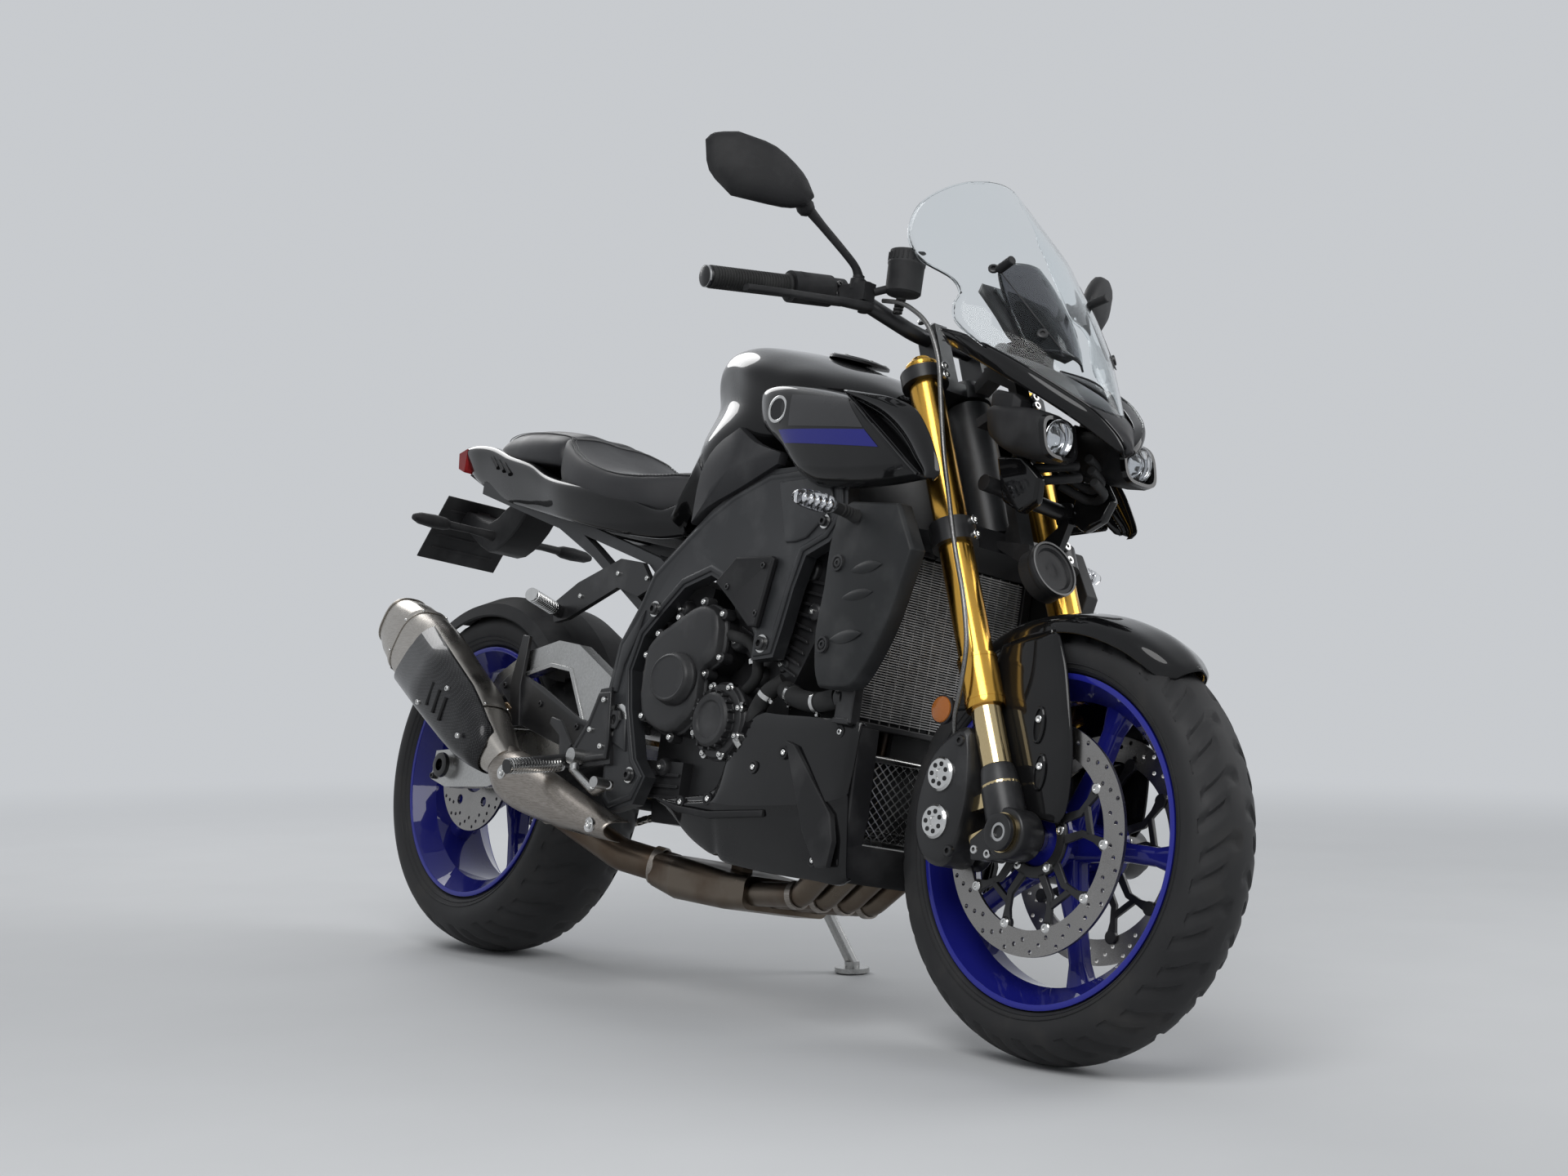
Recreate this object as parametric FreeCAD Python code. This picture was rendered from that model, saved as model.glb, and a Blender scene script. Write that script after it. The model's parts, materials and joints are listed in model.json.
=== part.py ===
"""A standard motorcycle, leaning on its side stand.

Modelled upright first: x points to the rider's left, y to the rear and z up, in millimetres, with the
ground at z = 0 and y = 0 half way between the axles.  Every piece is then leaned over onto the stand and
the whole is moved so that its bounding box stands on the origin.
"""
import FreeCAD, Part
import functools
import math
import os
from FreeCAD import Vector

# ---------------------------------------------------------------- driving dimensions
WHEELBASE = 1405.0
LEAN = 10.19                  # degrees, towards the stand
CASTER = 24.0                 # degrees, steering axis from the vertical
TRAIL = 102.0

FRONT_TYRE_RADIUS = 300.0
FRONT_TYRE_WIDTH = 120.0
REAR_TYRE_RADIUS = 320.0
REAR_TYRE_WIDTH = 190.0
BEAD_RADIUS = 219.0           # 17 inch rims
FLANGE_RADIUS = 229.0
FRONT_RIM_WIDTH = 104.0       # over the flanges
REAR_RIM_WIDTH = 168.0

FORK_SPACING = 210.0          # between the leg axes
FORK_OFFSET = 17.9            # leg axes ahead of the steering axis
FORK_TUBE_RADIUS = 25.0
SLIDER_RADIUS = 21.5
STEM_RADIUS = 25.0
AXLE_RADIUS = 12.5            # front axle
AXLE_BORE = 9.0
REAR_AXLE_RADIUS = 14.0
REAR_AXLE_BORE = 10.0
DISC_RADIUS = 160.0
DISC_OFFSET = 64.0            # inner face of the front discs from the middle
DISC_THICKNESS = 5.0
REAR_DISC_RADIUS = 110.0

BAR_RADIUS = 12.5
BAR_HALF_WIDTH = 400.0
GRIP_RADIUS = 17.0

FRAME_INNER = 150.0           # inner faces of the frame's side plates
FRAME_PLATE = 22.0
ENGINE_HALF_WIDTH = 132.0
CHAIN_OFFSET = 109.0          # chain line from the middle
SPROCKET_RADIUS = 105.0
DRIVE_SPROCKET_RADIUS = 38.0
CHAIN_HEIGHT = 12.0
CHAIN_WIDTH = 17.0

RUNNING_FIT = 0.08            # radial clearance of a turning fit
SEAT_FIT = 0.1                # radial clearance of a fixed fit
SKIN = 3.0                    # thickness of moulded panels

# ---------------------------------------------------------------- places worked out from them
FRONT = Vector(0, -WHEELBASE / 2, FRONT_TYRE_RADIUS)
REAR = Vector(0, WHEELBASE / 2, REAR_TYRE_RADIUS)
LEG_X = FORK_SPACING / 2
AXIS_UP = Vector(0, math.sin(math.radians(CASTER)), math.cos(math.radians(CASTER)))
AXIS_BACK = Vector(0, AXIS_UP.z, -AXIS_UP.y)
AXIS_FOOT = Vector(0, -WHEELBASE / 2 - TRAIL, 0)
FRAME_OUTER = FRAME_INNER + FRAME_PLATE
SWINGARM_PIVOT = Vector(0, 157, 417)
DRIVE_SPROCKET = Vector(0, 62, 405)
STAND_PIVOT = Vector(192, 150, 292)
STAND_FOOT_X = 340.0
STAND_FOOT_Y = 85.0


def steered(x, ahead, along):
    """A point given by its side, its distance ahead of the steering axis and its place along it."""
    return AXIS_FOOT + AXIS_UP * along - AXIS_BACK * ahead + Vector(x, 0, 0)


def side_view(point):
    return point.y, point.z


AXLE_ALONG = (FRONT - AXIS_FOOT).dot(AXIS_UP)
LEG_BOTTOM = AXLE_ALONG + 5
SLIDER_START = LEG_BOTTOM + 70
TUBE_START = 515.0
TUBE_END = 1055.0
LOWER_CLAMP = (757.0, 793.0)
UPPER_CLAMP = (1026.0, 1048.0)
HEAD_GAP = 5.5                # between the steering head and each clamp
BAR_ALONG = 1137.0
BAR_AHEAD = -4.0


# ---------------------------------------------------------------- making shapes
def cylinder(start, end, radius):
    run = end - start
    return Part.makeCylinder(radius, run.Length, start, run)


def across(centre, x_low, x_high, radius):
    """A cylinder lying across the motorcycle."""
    return cylinder(Vector(x_low, centre.y, centre.z), Vector(x_high, centre.y, centre.z), radius)


def ring(centre, x_low, x_high, outer, inner):
    return across(centre, x_low, x_high, outer).cut(across(centre, x_low, x_high, inner))


def prism(outline, x_low, x_high):
    """A side-view outline of (y, z) points, extruded across the motorcycle."""
    points = [Vector(x_low, y, z) for y, z in outline]
    face = Part.Face(Part.makePolygon(points + points[:1]))
    return face.extrude(Vector(x_high - x_low, 0, 0))


def steered_prism(outline, x_low, x_high):
    """The same, with the outline given as (ahead, along) the steering axis."""
    return prism([side_view(steered(0, ahead, along)) for ahead, along in outline], x_low, x_high)


def block(x_low, x_high, y_low, y_high, z_low, z_high):
    size = (x_high - x_low, y_high - y_low, z_high - z_low)
    return Part.makeBox(*size, Vector(x_low, y_low, z_low))


def oval(centre, side, up, roundness=0.6):
    """A rounded section: side and up are half its width and height, the rest the share of round corner."""
    wide = side.Length
    tall = up.Length
    reach = min(roundness, 0.95) * min(wide, tall)
    bulge = reach * (1 - math.sqrt(0.5))
    corner = ((wide, tall - reach), (wide - bulge, tall - bulge), (wide - reach, tall))
    turns = [corner, [(-x, y) for x, y in reversed(corner)], [(-x, -y) for x, y in corner],
             [(x, -y) for x, y in reversed(corner)]]
    arcs = [[centre + side * (x / wide) + up * (y / tall) for x, y in turn] for turn in turns]
    edges = []
    for arc, following in zip(arcs, arcs[1:] + arcs[:1]):
        edges.append(Part.Arc(*arc).toShape())
        edges.append(Part.LineSegment(arc[-1], following[0]).toShape())
    return Part.Wire(edges)


def loft(wires, ruled=True):
    return Part.makeLoft(wires, True, ruled)


def body_loft(sections, roundness=0.6):
    """A body along y, from (y, middle x, half width, bottom, top) sections."""
    wires = []
    for y, middle, half, bottom, top in sections:
        centre = Vector(middle, y, (bottom + top) / 2)
        wires.append(oval(centre, Vector(half, 0, 0), Vector(0, 0, (top - bottom) / 2), roundness))
    return loft(wires)


def turned(outline, centre):
    """An outline of (x, radius) points, turned about an axle."""
    points = [Vector(x, centre.y, centre.z + radius) for x, radius in outline]
    face = Part.Face(Part.makePolygon(points + points[:1]))
    return face.revolve(centre, Vector(1, 0, 0), 360)


def arch(outline, centre, first, last):
    """The same, swept only from one angle to another: 0 points to the rear and 90 up."""
    points = [Vector(x, centre.y + radius, centre.z) for x, radius in outline]
    face = Part.Face(Part.makePolygon(points + points[:1]))
    face.rotate(centre, Vector(1, 0, 0), first)
    return face.revolve(centre, Vector(1, 0, 0), last - first)


def path_along(points, reaches):
    """Straight runs joined by tangent arcs that start each reach before their corner."""
    edges = []
    start = points[0]
    for before, corner, after, reach in zip(points, points[1:], points[2:], reaches):
        arriving = (corner - before).normalize()
        leaving = (after - corner).normalize()
        half_turn = arriving.getAngle(leaving) / 2
        radius = reach / math.tan(half_turn)
        inward = (leaving - arriving).normalize()
        first = corner - arriving * reach
        last = corner + leaving * reach
        middle = corner + inward * (radius / math.cos(half_turn) - radius)
        edges.append(Part.LineSegment(start, first).toShape())
        edges.append(Part.Arc(first, middle, last).toShape())
        start = last
    edges.append(Part.LineSegment(start, points[-1]).toShape())
    return Part.Wire(edges)


def swept(points, reaches, radius):
    path = path_along(points, reaches)
    section = Part.Wire([Part.Circle(points[0], points[1] - points[0], radius).toShape()])
    sweep = Part.BRepOffsetAPI.MakePipeShell(path)
    sweep.add(section)
    sweep.build()
    sweep.makeSolid()
    return sweep.shape()


def bent_tube(points, bend, radius):
    """A tube whose bends all have the same radius."""
    reaches = []
    for before, corner, after in zip(points, points[1:], points[2:]):
        reaches.append(bend * math.tan((corner - before).getAngle(after - corner) / 2))
    return swept(points, reaches, radius)


def hose(points, radius):
    """A flexible hose, with bends as large as its runs allow."""
    reaches = []
    for before, corner, after in zip(points, points[1:], points[2:]):
        reaches.append(0.45 * min((corner - before).Length, (after - corner).Length))
    return swept(points, reaches, radius)


def mirrored(shape):
    return shape.mirror(Vector(0, 0, 0), Vector(1, 0, 0))


def both_sides(shape):
    return Part.makeCompound([shape, mirrored(shape)])


def joined(*shapes):
    whole = shapes[0]
    for shape in shapes[1:]:
        whole = whole.fuse(shape)
    return whole.removeSplitter()


def turned_copies(shape, centre, count, first=0.0):
    copies = []
    for number in range(count):
        copy = shape.copy()
        copy.rotate(centre, Vector(1, 0, 0), first + 360.0 * number / count)
        copies.append(copy)
    return copies


# ---------------------------------------------------------------- wheels
def rim_outline(width):
    half = width / 2
    seat = half - 7
    return [(-half, FLANGE_RADIUS), (-seat, FLANGE_RADIUS), (-seat, BEAD_RADIUS - SEAT_FIT),
            (-seat + 22, BEAD_RADIUS - 4), (-seat + 27, BEAD_RADIUS - 15), (seat - 27, BEAD_RADIUS - 15),
            (seat - 22, BEAD_RADIUS - 4), (seat, BEAD_RADIUS - SEAT_FIT), (seat, FLANGE_RADIUS),
            (half, FLANGE_RADIUS), (half, BEAD_RADIUS + 3), (seat - 14, BEAD_RADIUS - 12),
            (seat - 30, BEAD_RADIUS - 23), (-seat + 30, BEAD_RADIUS - 23), (-seat + 14, BEAD_RADIUS - 12),
            (-half, BEAD_RADIUS + 3)]


def spoke(centre, hub_radius, depth, lean_x):
    sections = ((hub_radius - 6, 24, depth), (110, 13, depth * 0.72), (165, 13, depth * 0.72),
                (BEAD_RADIUS - 20, 21, depth * 0.9))
    wires = []
    for radius, half, thick in sections:
        shift = lean_x * (1 - radius / BEAD_RADIUS)
        middle = centre + Vector(shift, 0, radius)
        wires.append(oval(middle, Vector(thick, 0, 0), Vector(0, half, 0), 0.75))
    return loft(wires)


def wheel(centre, width, hub_low, hub_high, bore, spoke_depth):
    middle = (hub_low + hub_high) / 2
    rim = turned(rim_outline(width), centre)
    hub = joined(across(centre, hub_low, hub_high, 34), across(centre, hub_low, hub_low + 7, 56),
                 across(centre, hub_high - 7, hub_high, 56))
    whole = joined(rim, hub, *turned_copies(spoke(centre, 34, spoke_depth, middle), centre, 5, 20))
    return whole.cut(across(centre, hub_low - 1, hub_high + 1, bore + RUNNING_FIT))


def tyre(centre, radius, width, rim_width):
    """A hollow carcass, with its beads 0.1 mm off the rim."""
    half = width / 2
    bead = rim_width / 2 - 7 - SEAT_FIT
    wall = 8.0
    depth = radius - BEAD_RADIUS
    outside = [(bead, FLANGE_RADIUS + 1), (half * 0.96, BEAD_RADIUS + depth * 0.28),
               (half, BEAD_RADIUS + depth * 0.44), (half * 0.93, BEAD_RADIUS + depth * 0.62),
               (half * 0.62, BEAD_RADIUS + depth * 0.87), (0, radius)]
    inside = [(bead - wall, FLANGE_RADIUS), (half - wall - 2, BEAD_RADIUS + depth * 0.44),
              (half * 0.6, BEAD_RADIUS + depth * 0.75), (0, radius - wall)]

    def place(point):
        return Vector(point[0], centre.y, centre.z + point[1])

    def spread(points):
        return [place(point) for point in points + [(-x, r) for x, r in points[-2::-1]]]
    outer = Part.BSplineCurve()
    outer.interpolate(spread(outside))
    inner = Part.BSplineCurve()
    inner.interpolate(spread(inside))
    edges = [outer.toShape(), inner.toShape()]
    for side in (1, -1):
        corners = [(side * bead, FLANGE_RADIUS + 1), (side * bead, BEAD_RADIUS),
                   (side * (bead - wall), BEAD_RADIUS), (side * (bead - wall), FLANGE_RADIUS)]
        for start, end in zip(corners, corners[1:]):
            edges.append(Part.LineSegment(place(start), place(end)).toShape())
    face = Part.Face(Part.Wire(Part.__sortEdges__(edges)))
    return face.revolve(centre, Vector(1, 0, 0), 360)


def drilled(disc, centre, x_low, x_high, inner, outer, count):
    holes = []
    for row, share in enumerate((0.22, 0.5, 0.78)):
        radius = inner + share * (outer - inner)
        hole = across(centre + Vector(0, 0, radius), x_low - 1, x_high + 1, 3.2)
        holes += turned_copies(hole, centre, count, row * 360.0 / count / 3)
    return disc.cut(Part.makeCompound(holes))


FRONT_HUB_HALF = 61.0


@functools.cache
def front_disc_side():
    """The left carrier with its ten bobbins, and the drilled band around it."""
    inner = DISC_RADIUS - 36
    carrier = ring(FRONT, FRONT_HUB_HALF, FRONT_HUB_HALF + 5, inner - SEAT_FIT, 36)
    windows = [across(FRONT + Vector(0, 0, 82), FRONT_HUB_HALF - 1, FRONT_HUB_HALF + 6, 21)]
    windows = turned_copies(windows[0], FRONT, 10)
    bobbin = across(FRONT + Vector(0, 0, inner), FRONT_HUB_HALF, DISC_OFFSET + DISC_THICKNESS + 1, 7)
    bobbins = turned_copies(bobbin, FRONT, 10, 18)
    carrier = joined(carrier.cut(Part.makeCompound(windows)), *bobbins)
    band = ring(FRONT, DISC_OFFSET, DISC_OFFSET + DISC_THICKNESS, DISC_RADIUS, inner)
    band = drilled(band, FRONT, DISC_OFFSET, DISC_OFFSET + DISC_THICKNESS, inner + 6, DISC_RADIUS, 20)
    return carrier, band.cut(carrier)


REAR_HUB = (-80.0, 104.0)


def rear_disc():
    disc = ring(REAR, REAR_HUB[0] - 5, REAR_HUB[0], REAR_DISC_RADIUS, 40)
    disc = drilled(disc, REAR, REAR_HUB[0] - 5, REAR_HUB[0], REAR_DISC_RADIUS - 30, REAR_DISC_RADIUS, 16)
    windows = turned_copies(across(REAR + Vector(0, 0, 68), REAR_HUB[0] - 6, REAR_HUB[0] + 1, 9), REAR, 5)
    return disc.cut(Part.makeCompound(windows))


def rear_sprocket():
    low = REAR_HUB[1]
    plate = ring(REAR, low, low + 7, SPROCKET_RADIUS, 40)
    windows = turned_copies(across(REAR + Vector(0, 0, 76), low - 1, low + 8, 15), REAR, 5, 36)
    return plate.cut(Part.makeCompound(windows))


# ---------------------------------------------------------------- front end
def leg_cylinder(first, last, radius):
    return cylinder(steered(LEG_X, FORK_OFFSET, first), steered(LEG_X, FORK_OFFSET, last), radius)


def fork_outer_tube():
    tube = leg_cylinder(TUBE_START, TUBE_END, FORK_TUBE_RADIUS)
    return joined(tube, leg_cylinder(TUBE_START, TUBE_START + 66, FORK_TUBE_RADIUS + 3))


@functools.cache
def fork_slider():
    return leg_cylinder(SLIDER_START, TUBE_START, SLIDER_RADIUS)


@functools.cache
def fork_foot():
    leg = leg_cylinder(LEG_BOTTOM - 12, SLIDER_START, SLIDER_RADIUS + 6)
    eye = across(FRONT, LEG_X - 27, LEG_X + 28, 27)
    lugs = [steered_prism([(FORK_OFFSET, along + 16), (FORK_OFFSET - 66, along + 16),
                           (FORK_OFFSET - 66, along), (FORK_OFFSET, along - 8)], LEG_X - 20, LEG_X + 10)
            for along in (LEG_BOTTOM + 4, LEG_BOTTOM + 52)]
    return joined(leg, eye, *lugs).cut(across(FRONT, 0, LEG_X + 40, AXLE_RADIUS + SEAT_FIT))


def front_axle():
    low = FRONT_HUB_HALF + 0.5
    high = LEG_X - 28
    axle = across(FRONT, -LEG_X - 30, LEG_X + 30, AXLE_RADIUS)
    collars = [across(FRONT, low, high, 18), across(FRONT, -high, -low, 18)]
    heads = [across(FRONT, LEG_X + 28, LEG_X + 35, 17), across(FRONT, -LEG_X - 35, -LEG_X - 28, 17)]
    whole = joined(axle, *collars, *heads)
    return whole.cut(across(FRONT, -LEG_X - 40, LEG_X + 40, AXLE_BORE))


@functools.cache
def front_caliper():
    """A radial caliper behind the left leg, astride the disc."""
    outline = [(-606, 424), (-588, 426), (-548, 378), (-530, 322), (-536, 268), (-596, 256), (-620, 300),
               (-618, 360)]
    body = prism(outline, DISC_OFFSET - 20, LEG_X + 18)
    slot = across(FRONT, DISC_OFFSET - 9, DISC_OFFSET + DISC_THICKNESS + 7, DISC_RADIUS + 6)
    return body.cut(slot).cut(Part.makeCompound([fork_foot(), fork_slider()]))


def clamp_plate(first, last, reach_ahead, reach_back, grip):
    plate = steered_prism([(reach_ahead, first), (reach_ahead, last), (-reach_back, last),
                           (-reach_back, first)], -LEG_X, LEG_X)
    eyes = [cylinder(steered(side * LEG_X, FORK_OFFSET, first), steered(side * LEG_X, FORK_OFFSET, last),
                     grip) for side in (-1, 1)]
    bores = [cylinder(steered(side * LEG_X, FORK_OFFSET, first - 1),
                      steered(side * LEG_X, FORK_OFFSET, last + 1), FORK_TUBE_RADIUS + SEAT_FIT)
             for side in (-1, 1)]
    return joined(plate, *eyes).cut(Part.makeCompound(bores))


@functools.cache
def lower_clamp():
    plate = clamp_plate(*LOWER_CLAMP, 34, 26, 34)
    stem = cylinder(steered(0, 0, LOWER_CLAMP[1]), steered(0, 0, UPPER_CLAMP[1] + 14), STEM_RADIUS)
    return joined(plate, stem)


@functools.cache
def upper_clamp():
    plate = clamp_plate(*UPPER_CLAMP, 26, 22, 35)
    boss = cylinder(steered(0, 0, UPPER_CLAMP[0]), steered(0, 0, UPPER_CLAMP[1]), 36)
    bore = cylinder(steered(0, 0, UPPER_CLAMP[0] - 1), steered(0, 0, UPPER_CLAMP[1] + 1),
                    STEM_RADIUS + SEAT_FIT)
    return joined(plate, boss, bar_risers()).cut(bore)


def bar_points():
    clamp = steered(0, BAR_AHEAD, BAR_ALONG)
    side = [Vector(80, clamp.y, clamp.z), Vector(165, -274, 1086), Vector(BAR_HALF_WIDTH, -246, 1049)]
    return [Vector(-p.x, p.y, p.z) for p in reversed(side)] + side


def along_grip(x):
    """A point of the left grip's axis, at the given distance from the middle."""
    inner, outer = bar_points()[-2:]
    share = (x - inner.x) / (outer.x - inner.x)
    return inner + (outer - inner) * share


def handlebar():
    return bent_tube(bar_points(), 45, BAR_RADIUS)


def bar_risers():
    outline = [(-26, UPPER_CLAMP[1]), (18, UPPER_CLAMP[1]), (16, BAR_ALONG + 18), (-24, BAR_ALONG + 18)]
    riser = steered_prism(outline, 30, 56)
    centre = steered(0, BAR_AHEAD, BAR_ALONG)
    riser = riser.cut(across(centre, 20, 70, BAR_RADIUS + SEAT_FIT))
    return joined(riser, mirrored(riser))


def on_grip(first, last, radius):
    return cylinder(along_grip(first), along_grip(last), radius)


def bar_room():
    return on_grip(120, BAR_HALF_WIDTH, BAR_RADIUS + SEAT_FIT)


def grip():
    weight = on_grip(BAR_HALF_WIDTH + 0.1, BAR_HALF_WIDTH + 12, 16)
    return joined(on_grip(276, BAR_HALF_WIDTH, GRIP_RADIUS).cut(bar_room()), weight)


def lever(inner, outer):
    wires = []
    for share, half, tall in ((0, 9, 8), (0.3, 8, 6), (0.7, 7, 5), (1, 7, 5)):
        centre = inner + (outer - inner) * share + Vector(0, -10 * math.sin(math.pi * share), 0)
        wires.append(oval(centre, Vector(0, half, 0), Vector(0, 0, tall), 0.8))
    return loft(wires)


def controls():
    """Switch housing, lever mount and lever of the left bar; the right one mirrors it."""
    housing = on_grip(205, 274, 24)
    mount = on_grip(182, 206, 21)
    arm = block(183, 205, -352, -292, 1058, 1086)
    hand_lever = lever(Vector(188, -350, 1050), Vector(384, -302, 1032))
    pin = Part.makeCylinder(8, 46, Vector(192, -340, 1042))
    return joined(housing, mount, arm, pin, hand_lever).cut(bar_room())


def brake_reservoir():
    """Fluid cup on a short stalk from the right lever mount."""
    centre = Vector(-150, -376, 1080)
    cup = Part.makeCylinder(27, 62, centre)
    foot = Vector(-184, -350, 1074)
    stalk = cylinder(foot, centre + Vector(0, 0, 12), 6)
    return joined(cup, stalk)


def mirror():
    """Left stem, ball and head."""
    base = Vector(194, -322, 1098)
    elbow = Vector(225, -318, 1128)
    ball = Vector(288, -296, 1180)
    foot = Part.makeCylinder(9, 14, Vector(194, -322, 1086))
    stem = joined(foot, cylinder(base, elbow, 7), cylinder(elbow, ball, 7), Part.makeSphere(9, elbow),
                  Part.makeSphere(14, ball))
    sections = ((288, -322, 1190, 12, 30), (330, -304, 1205, 22, 52), (400, -272, 1218, 22, 56),
                (450, -246, 1238, 12, 34))
    wires = []
    for x, y, z, half, tall in sections:
        wires.append(oval(Vector(x, y, z), Vector(0, half, 0), Vector(0, 0, tall), 0.7))
    return joined(stem, loft(wires))


@functools.cache
def headlight_stay():
    """Bracket from the clamps out to the lights and the nose."""
    outline = [(34, LOWER_CLAMP[0] + 4), (34, LOWER_CLAMP[1] - 3), (46, LOWER_CLAMP[1] + 8), (48, 850),
               (80, 905), (96, 940), (96, 1006), (58, 1044), (58, 1062), (110, 1056), (112, 930),
               (100, 892), (64, 842), (62, LOWER_CLAMP[0] + 4)]
    web = steered_prism(outline, -14, 14)
    shelf = steered_prism([(96, 916), (154, 916), (154, 930), (96, 930)], -100, 100)
    top = steered_prism([(26, 1030), (26, 1044), (62, 1060), (62, 1040)], -14, 14).cut(upper_clamp())
    lights = both_sides(headlight())
    return joined(web, shelf, top).cut(Part.makeCompound([lights, nose_cowl(), upper_clamp()]))


@functools.cache
def headlight():
    """Left lamp in its housing."""
    wires = []
    for y, x, z, half, tall in ((-690, 84, 850, 27, 24), (-640, 86, 858, 32, 34), (-580, 85, 872, 32, 34),
                                (-540, 82, 885, 28, 24)):
        wires.append(oval(Vector(x, y, z), Vector(half, 0, 0), Vector(0, 0, tall), 0.7))
    return loft(wires)


@functools.cache
def nose_cowl():
    sections = ((-722, 0, 26, 846, 872), (-700, 0, 44, 842, 900), (-640, 0, 47, 858, 940),
                (-560, 0, 50, 880, 985))
    return body_loft(sections, 0.7)


SCREEN_WALL = 4.0


def screen_wire(y_middle, z_middle, half, sweep, tilt):
    """One level of the screen: a flat band bent back by sweep at its two edges."""
    depth = math.hypot(sweep, tilt)

    def band(inset):
        points = []
        for share in (-1, -0.5, 0, 0.5, 1):
            along = depth * share * share + inset
            points.append(Vector(half * share, y_middle + along * sweep / depth,
                                 z_middle + along * tilt / depth))
        return points
    outer = Part.BSplineCurve()
    outer.interpolate(band(0))
    inner = Part.BSplineCurve()
    inner.interpolate(list(reversed(band(SCREEN_WALL))))
    ends = [Part.LineSegment(band(0)[-1], band(SCREEN_WALL)[-1]).toShape(),
            Part.LineSegment(band(SCREEN_WALL)[0], band(0)[0]).toShape()]
    return Part.Wire([outer.toShape(), ends[0], inner.toShape(), ends[1]])


def windscreen():
    levels = ((-700, 905, 62, 40, -4), (-634, 1010, 120, 92, -14), (-590, 1078, 168, 138, -24),
              (-528, 1158, 170, 120, -22), (-455, 1232, 138, 78, -18), (-405, 1286, 60, 14, -10))
    return loft([screen_wire(*level) for level in levels]).cut(nose_cowl())


def instrument_panel():
    outline = [(-455, 1088), (-500, 1036), (-540, 1010), (-548, 1024), (-506, 1052), (-463, 1100)]
    panel = prism(outline, -72, 72)
    arm_top = steered(0, 58, 1062)
    arm = prism([side_view(arm_top), side_view(steered(0, 88, 1062)), (-510, 1032), (-496, 1048)],
                -10, 10)
    return joined(panel, arm)


def horn():
    centre = steered(-28, 92, 690)
    dish = cylinder(centre, centre - AXIS_BACK * 26, 40)
    strap = steered_prism([(34, LOWER_CLAMP[0] + 6), (34, LOWER_CLAMP[0] + 20), (92, 742), (92, 700)],
                          -34, -22)
    return joined(dish, strap)


def steering_damper():
    left = steered(66, 88, 816)
    right = steered(-100, 88, 830)
    body = cylinder(left, right, 12)
    eye = cylinder(left - AXIS_UP * 12, left + AXIS_UP * 12, 15)
    lug = steered_prism([(34, LOWER_CLAMP[0] + 4), (34, LOWER_CLAMP[1] - 3), (74, 800), (80, 824), (96, 824),
                         (96, 796), (62, LOWER_CLAMP[0] + 4)], 60, 72)
    return joined(body, eye, lug)


FENDER_LOW = 306.0


def front_fender():
    """Arched mudguard with blades down the insides of the legs."""
    outline = [(-70, FENDER_LOW - 26), (-64, FENDER_LOW - 6), (-40, FENDER_LOW + 3), (0, FENDER_LOW + 8),
               (40, FENDER_LOW + 3), (64, FENDER_LOW - 6), (70, FENDER_LOW - 26)]
    inside = outline + [(x * (1 + SKIN / 70), radius + SKIN) for x, radius in reversed(outline)]
    guard = arch(inside, FRONT, 58, 124)
    blade_outline = [(-580, 560), (-700, 585), (-720, 520), (-736, 440), (-738, 330), (-668, 330),
                     (-640, 400), (-590, 480)]
    blade = prism(blade_outline, 75, 75 + SKIN)
    boss = cylinder(Vector(76, -668, 372), Vector(LEG_X, -668, 372), 8)
    upper = cylinder(Vector(76, -640, 425), Vector(LEG_X, -640, 425), 8)
    shoulder = prism([(-600, 562), (-690, 593), (-690, 560), (-605, 535)], 67, 78)
    side = joined(blade, boss, upper, shoulder).cut(leg_cylinder(SLIDER_START - 90, TUBE_END, SLIDER_RADIUS))
    side = side.cut(fork_foot())
    side = side.cut(leg_cylinder(TUBE_START - 1, TUBE_START + 70, FORK_TUBE_RADIUS + 4))
    side = side.cut(across(FRONT, 50, 67, 306))
    return joined(guard, side, mirrored(side))


def brake_hose():
    """From the right lever mount down the leg to its caliper."""
    route = [Vector(-166, -352, 1066), Vector(-160, -392, 1060), Vector(-152, -440, 1030),
             Vector(-146, -470, 975), Vector(-142, -482, 905), Vector(-141, -500, 830),
             Vector(-141, -525, 760), Vector(-143, -551, 690), Vector(-146, -585, 620),
             Vector(-147, -606, 550), Vector(-146, -602, 490), Vector(-130, -580, 448),
             Vector(-112, -574, 412)]
    return hose(route, 3.5)


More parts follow.
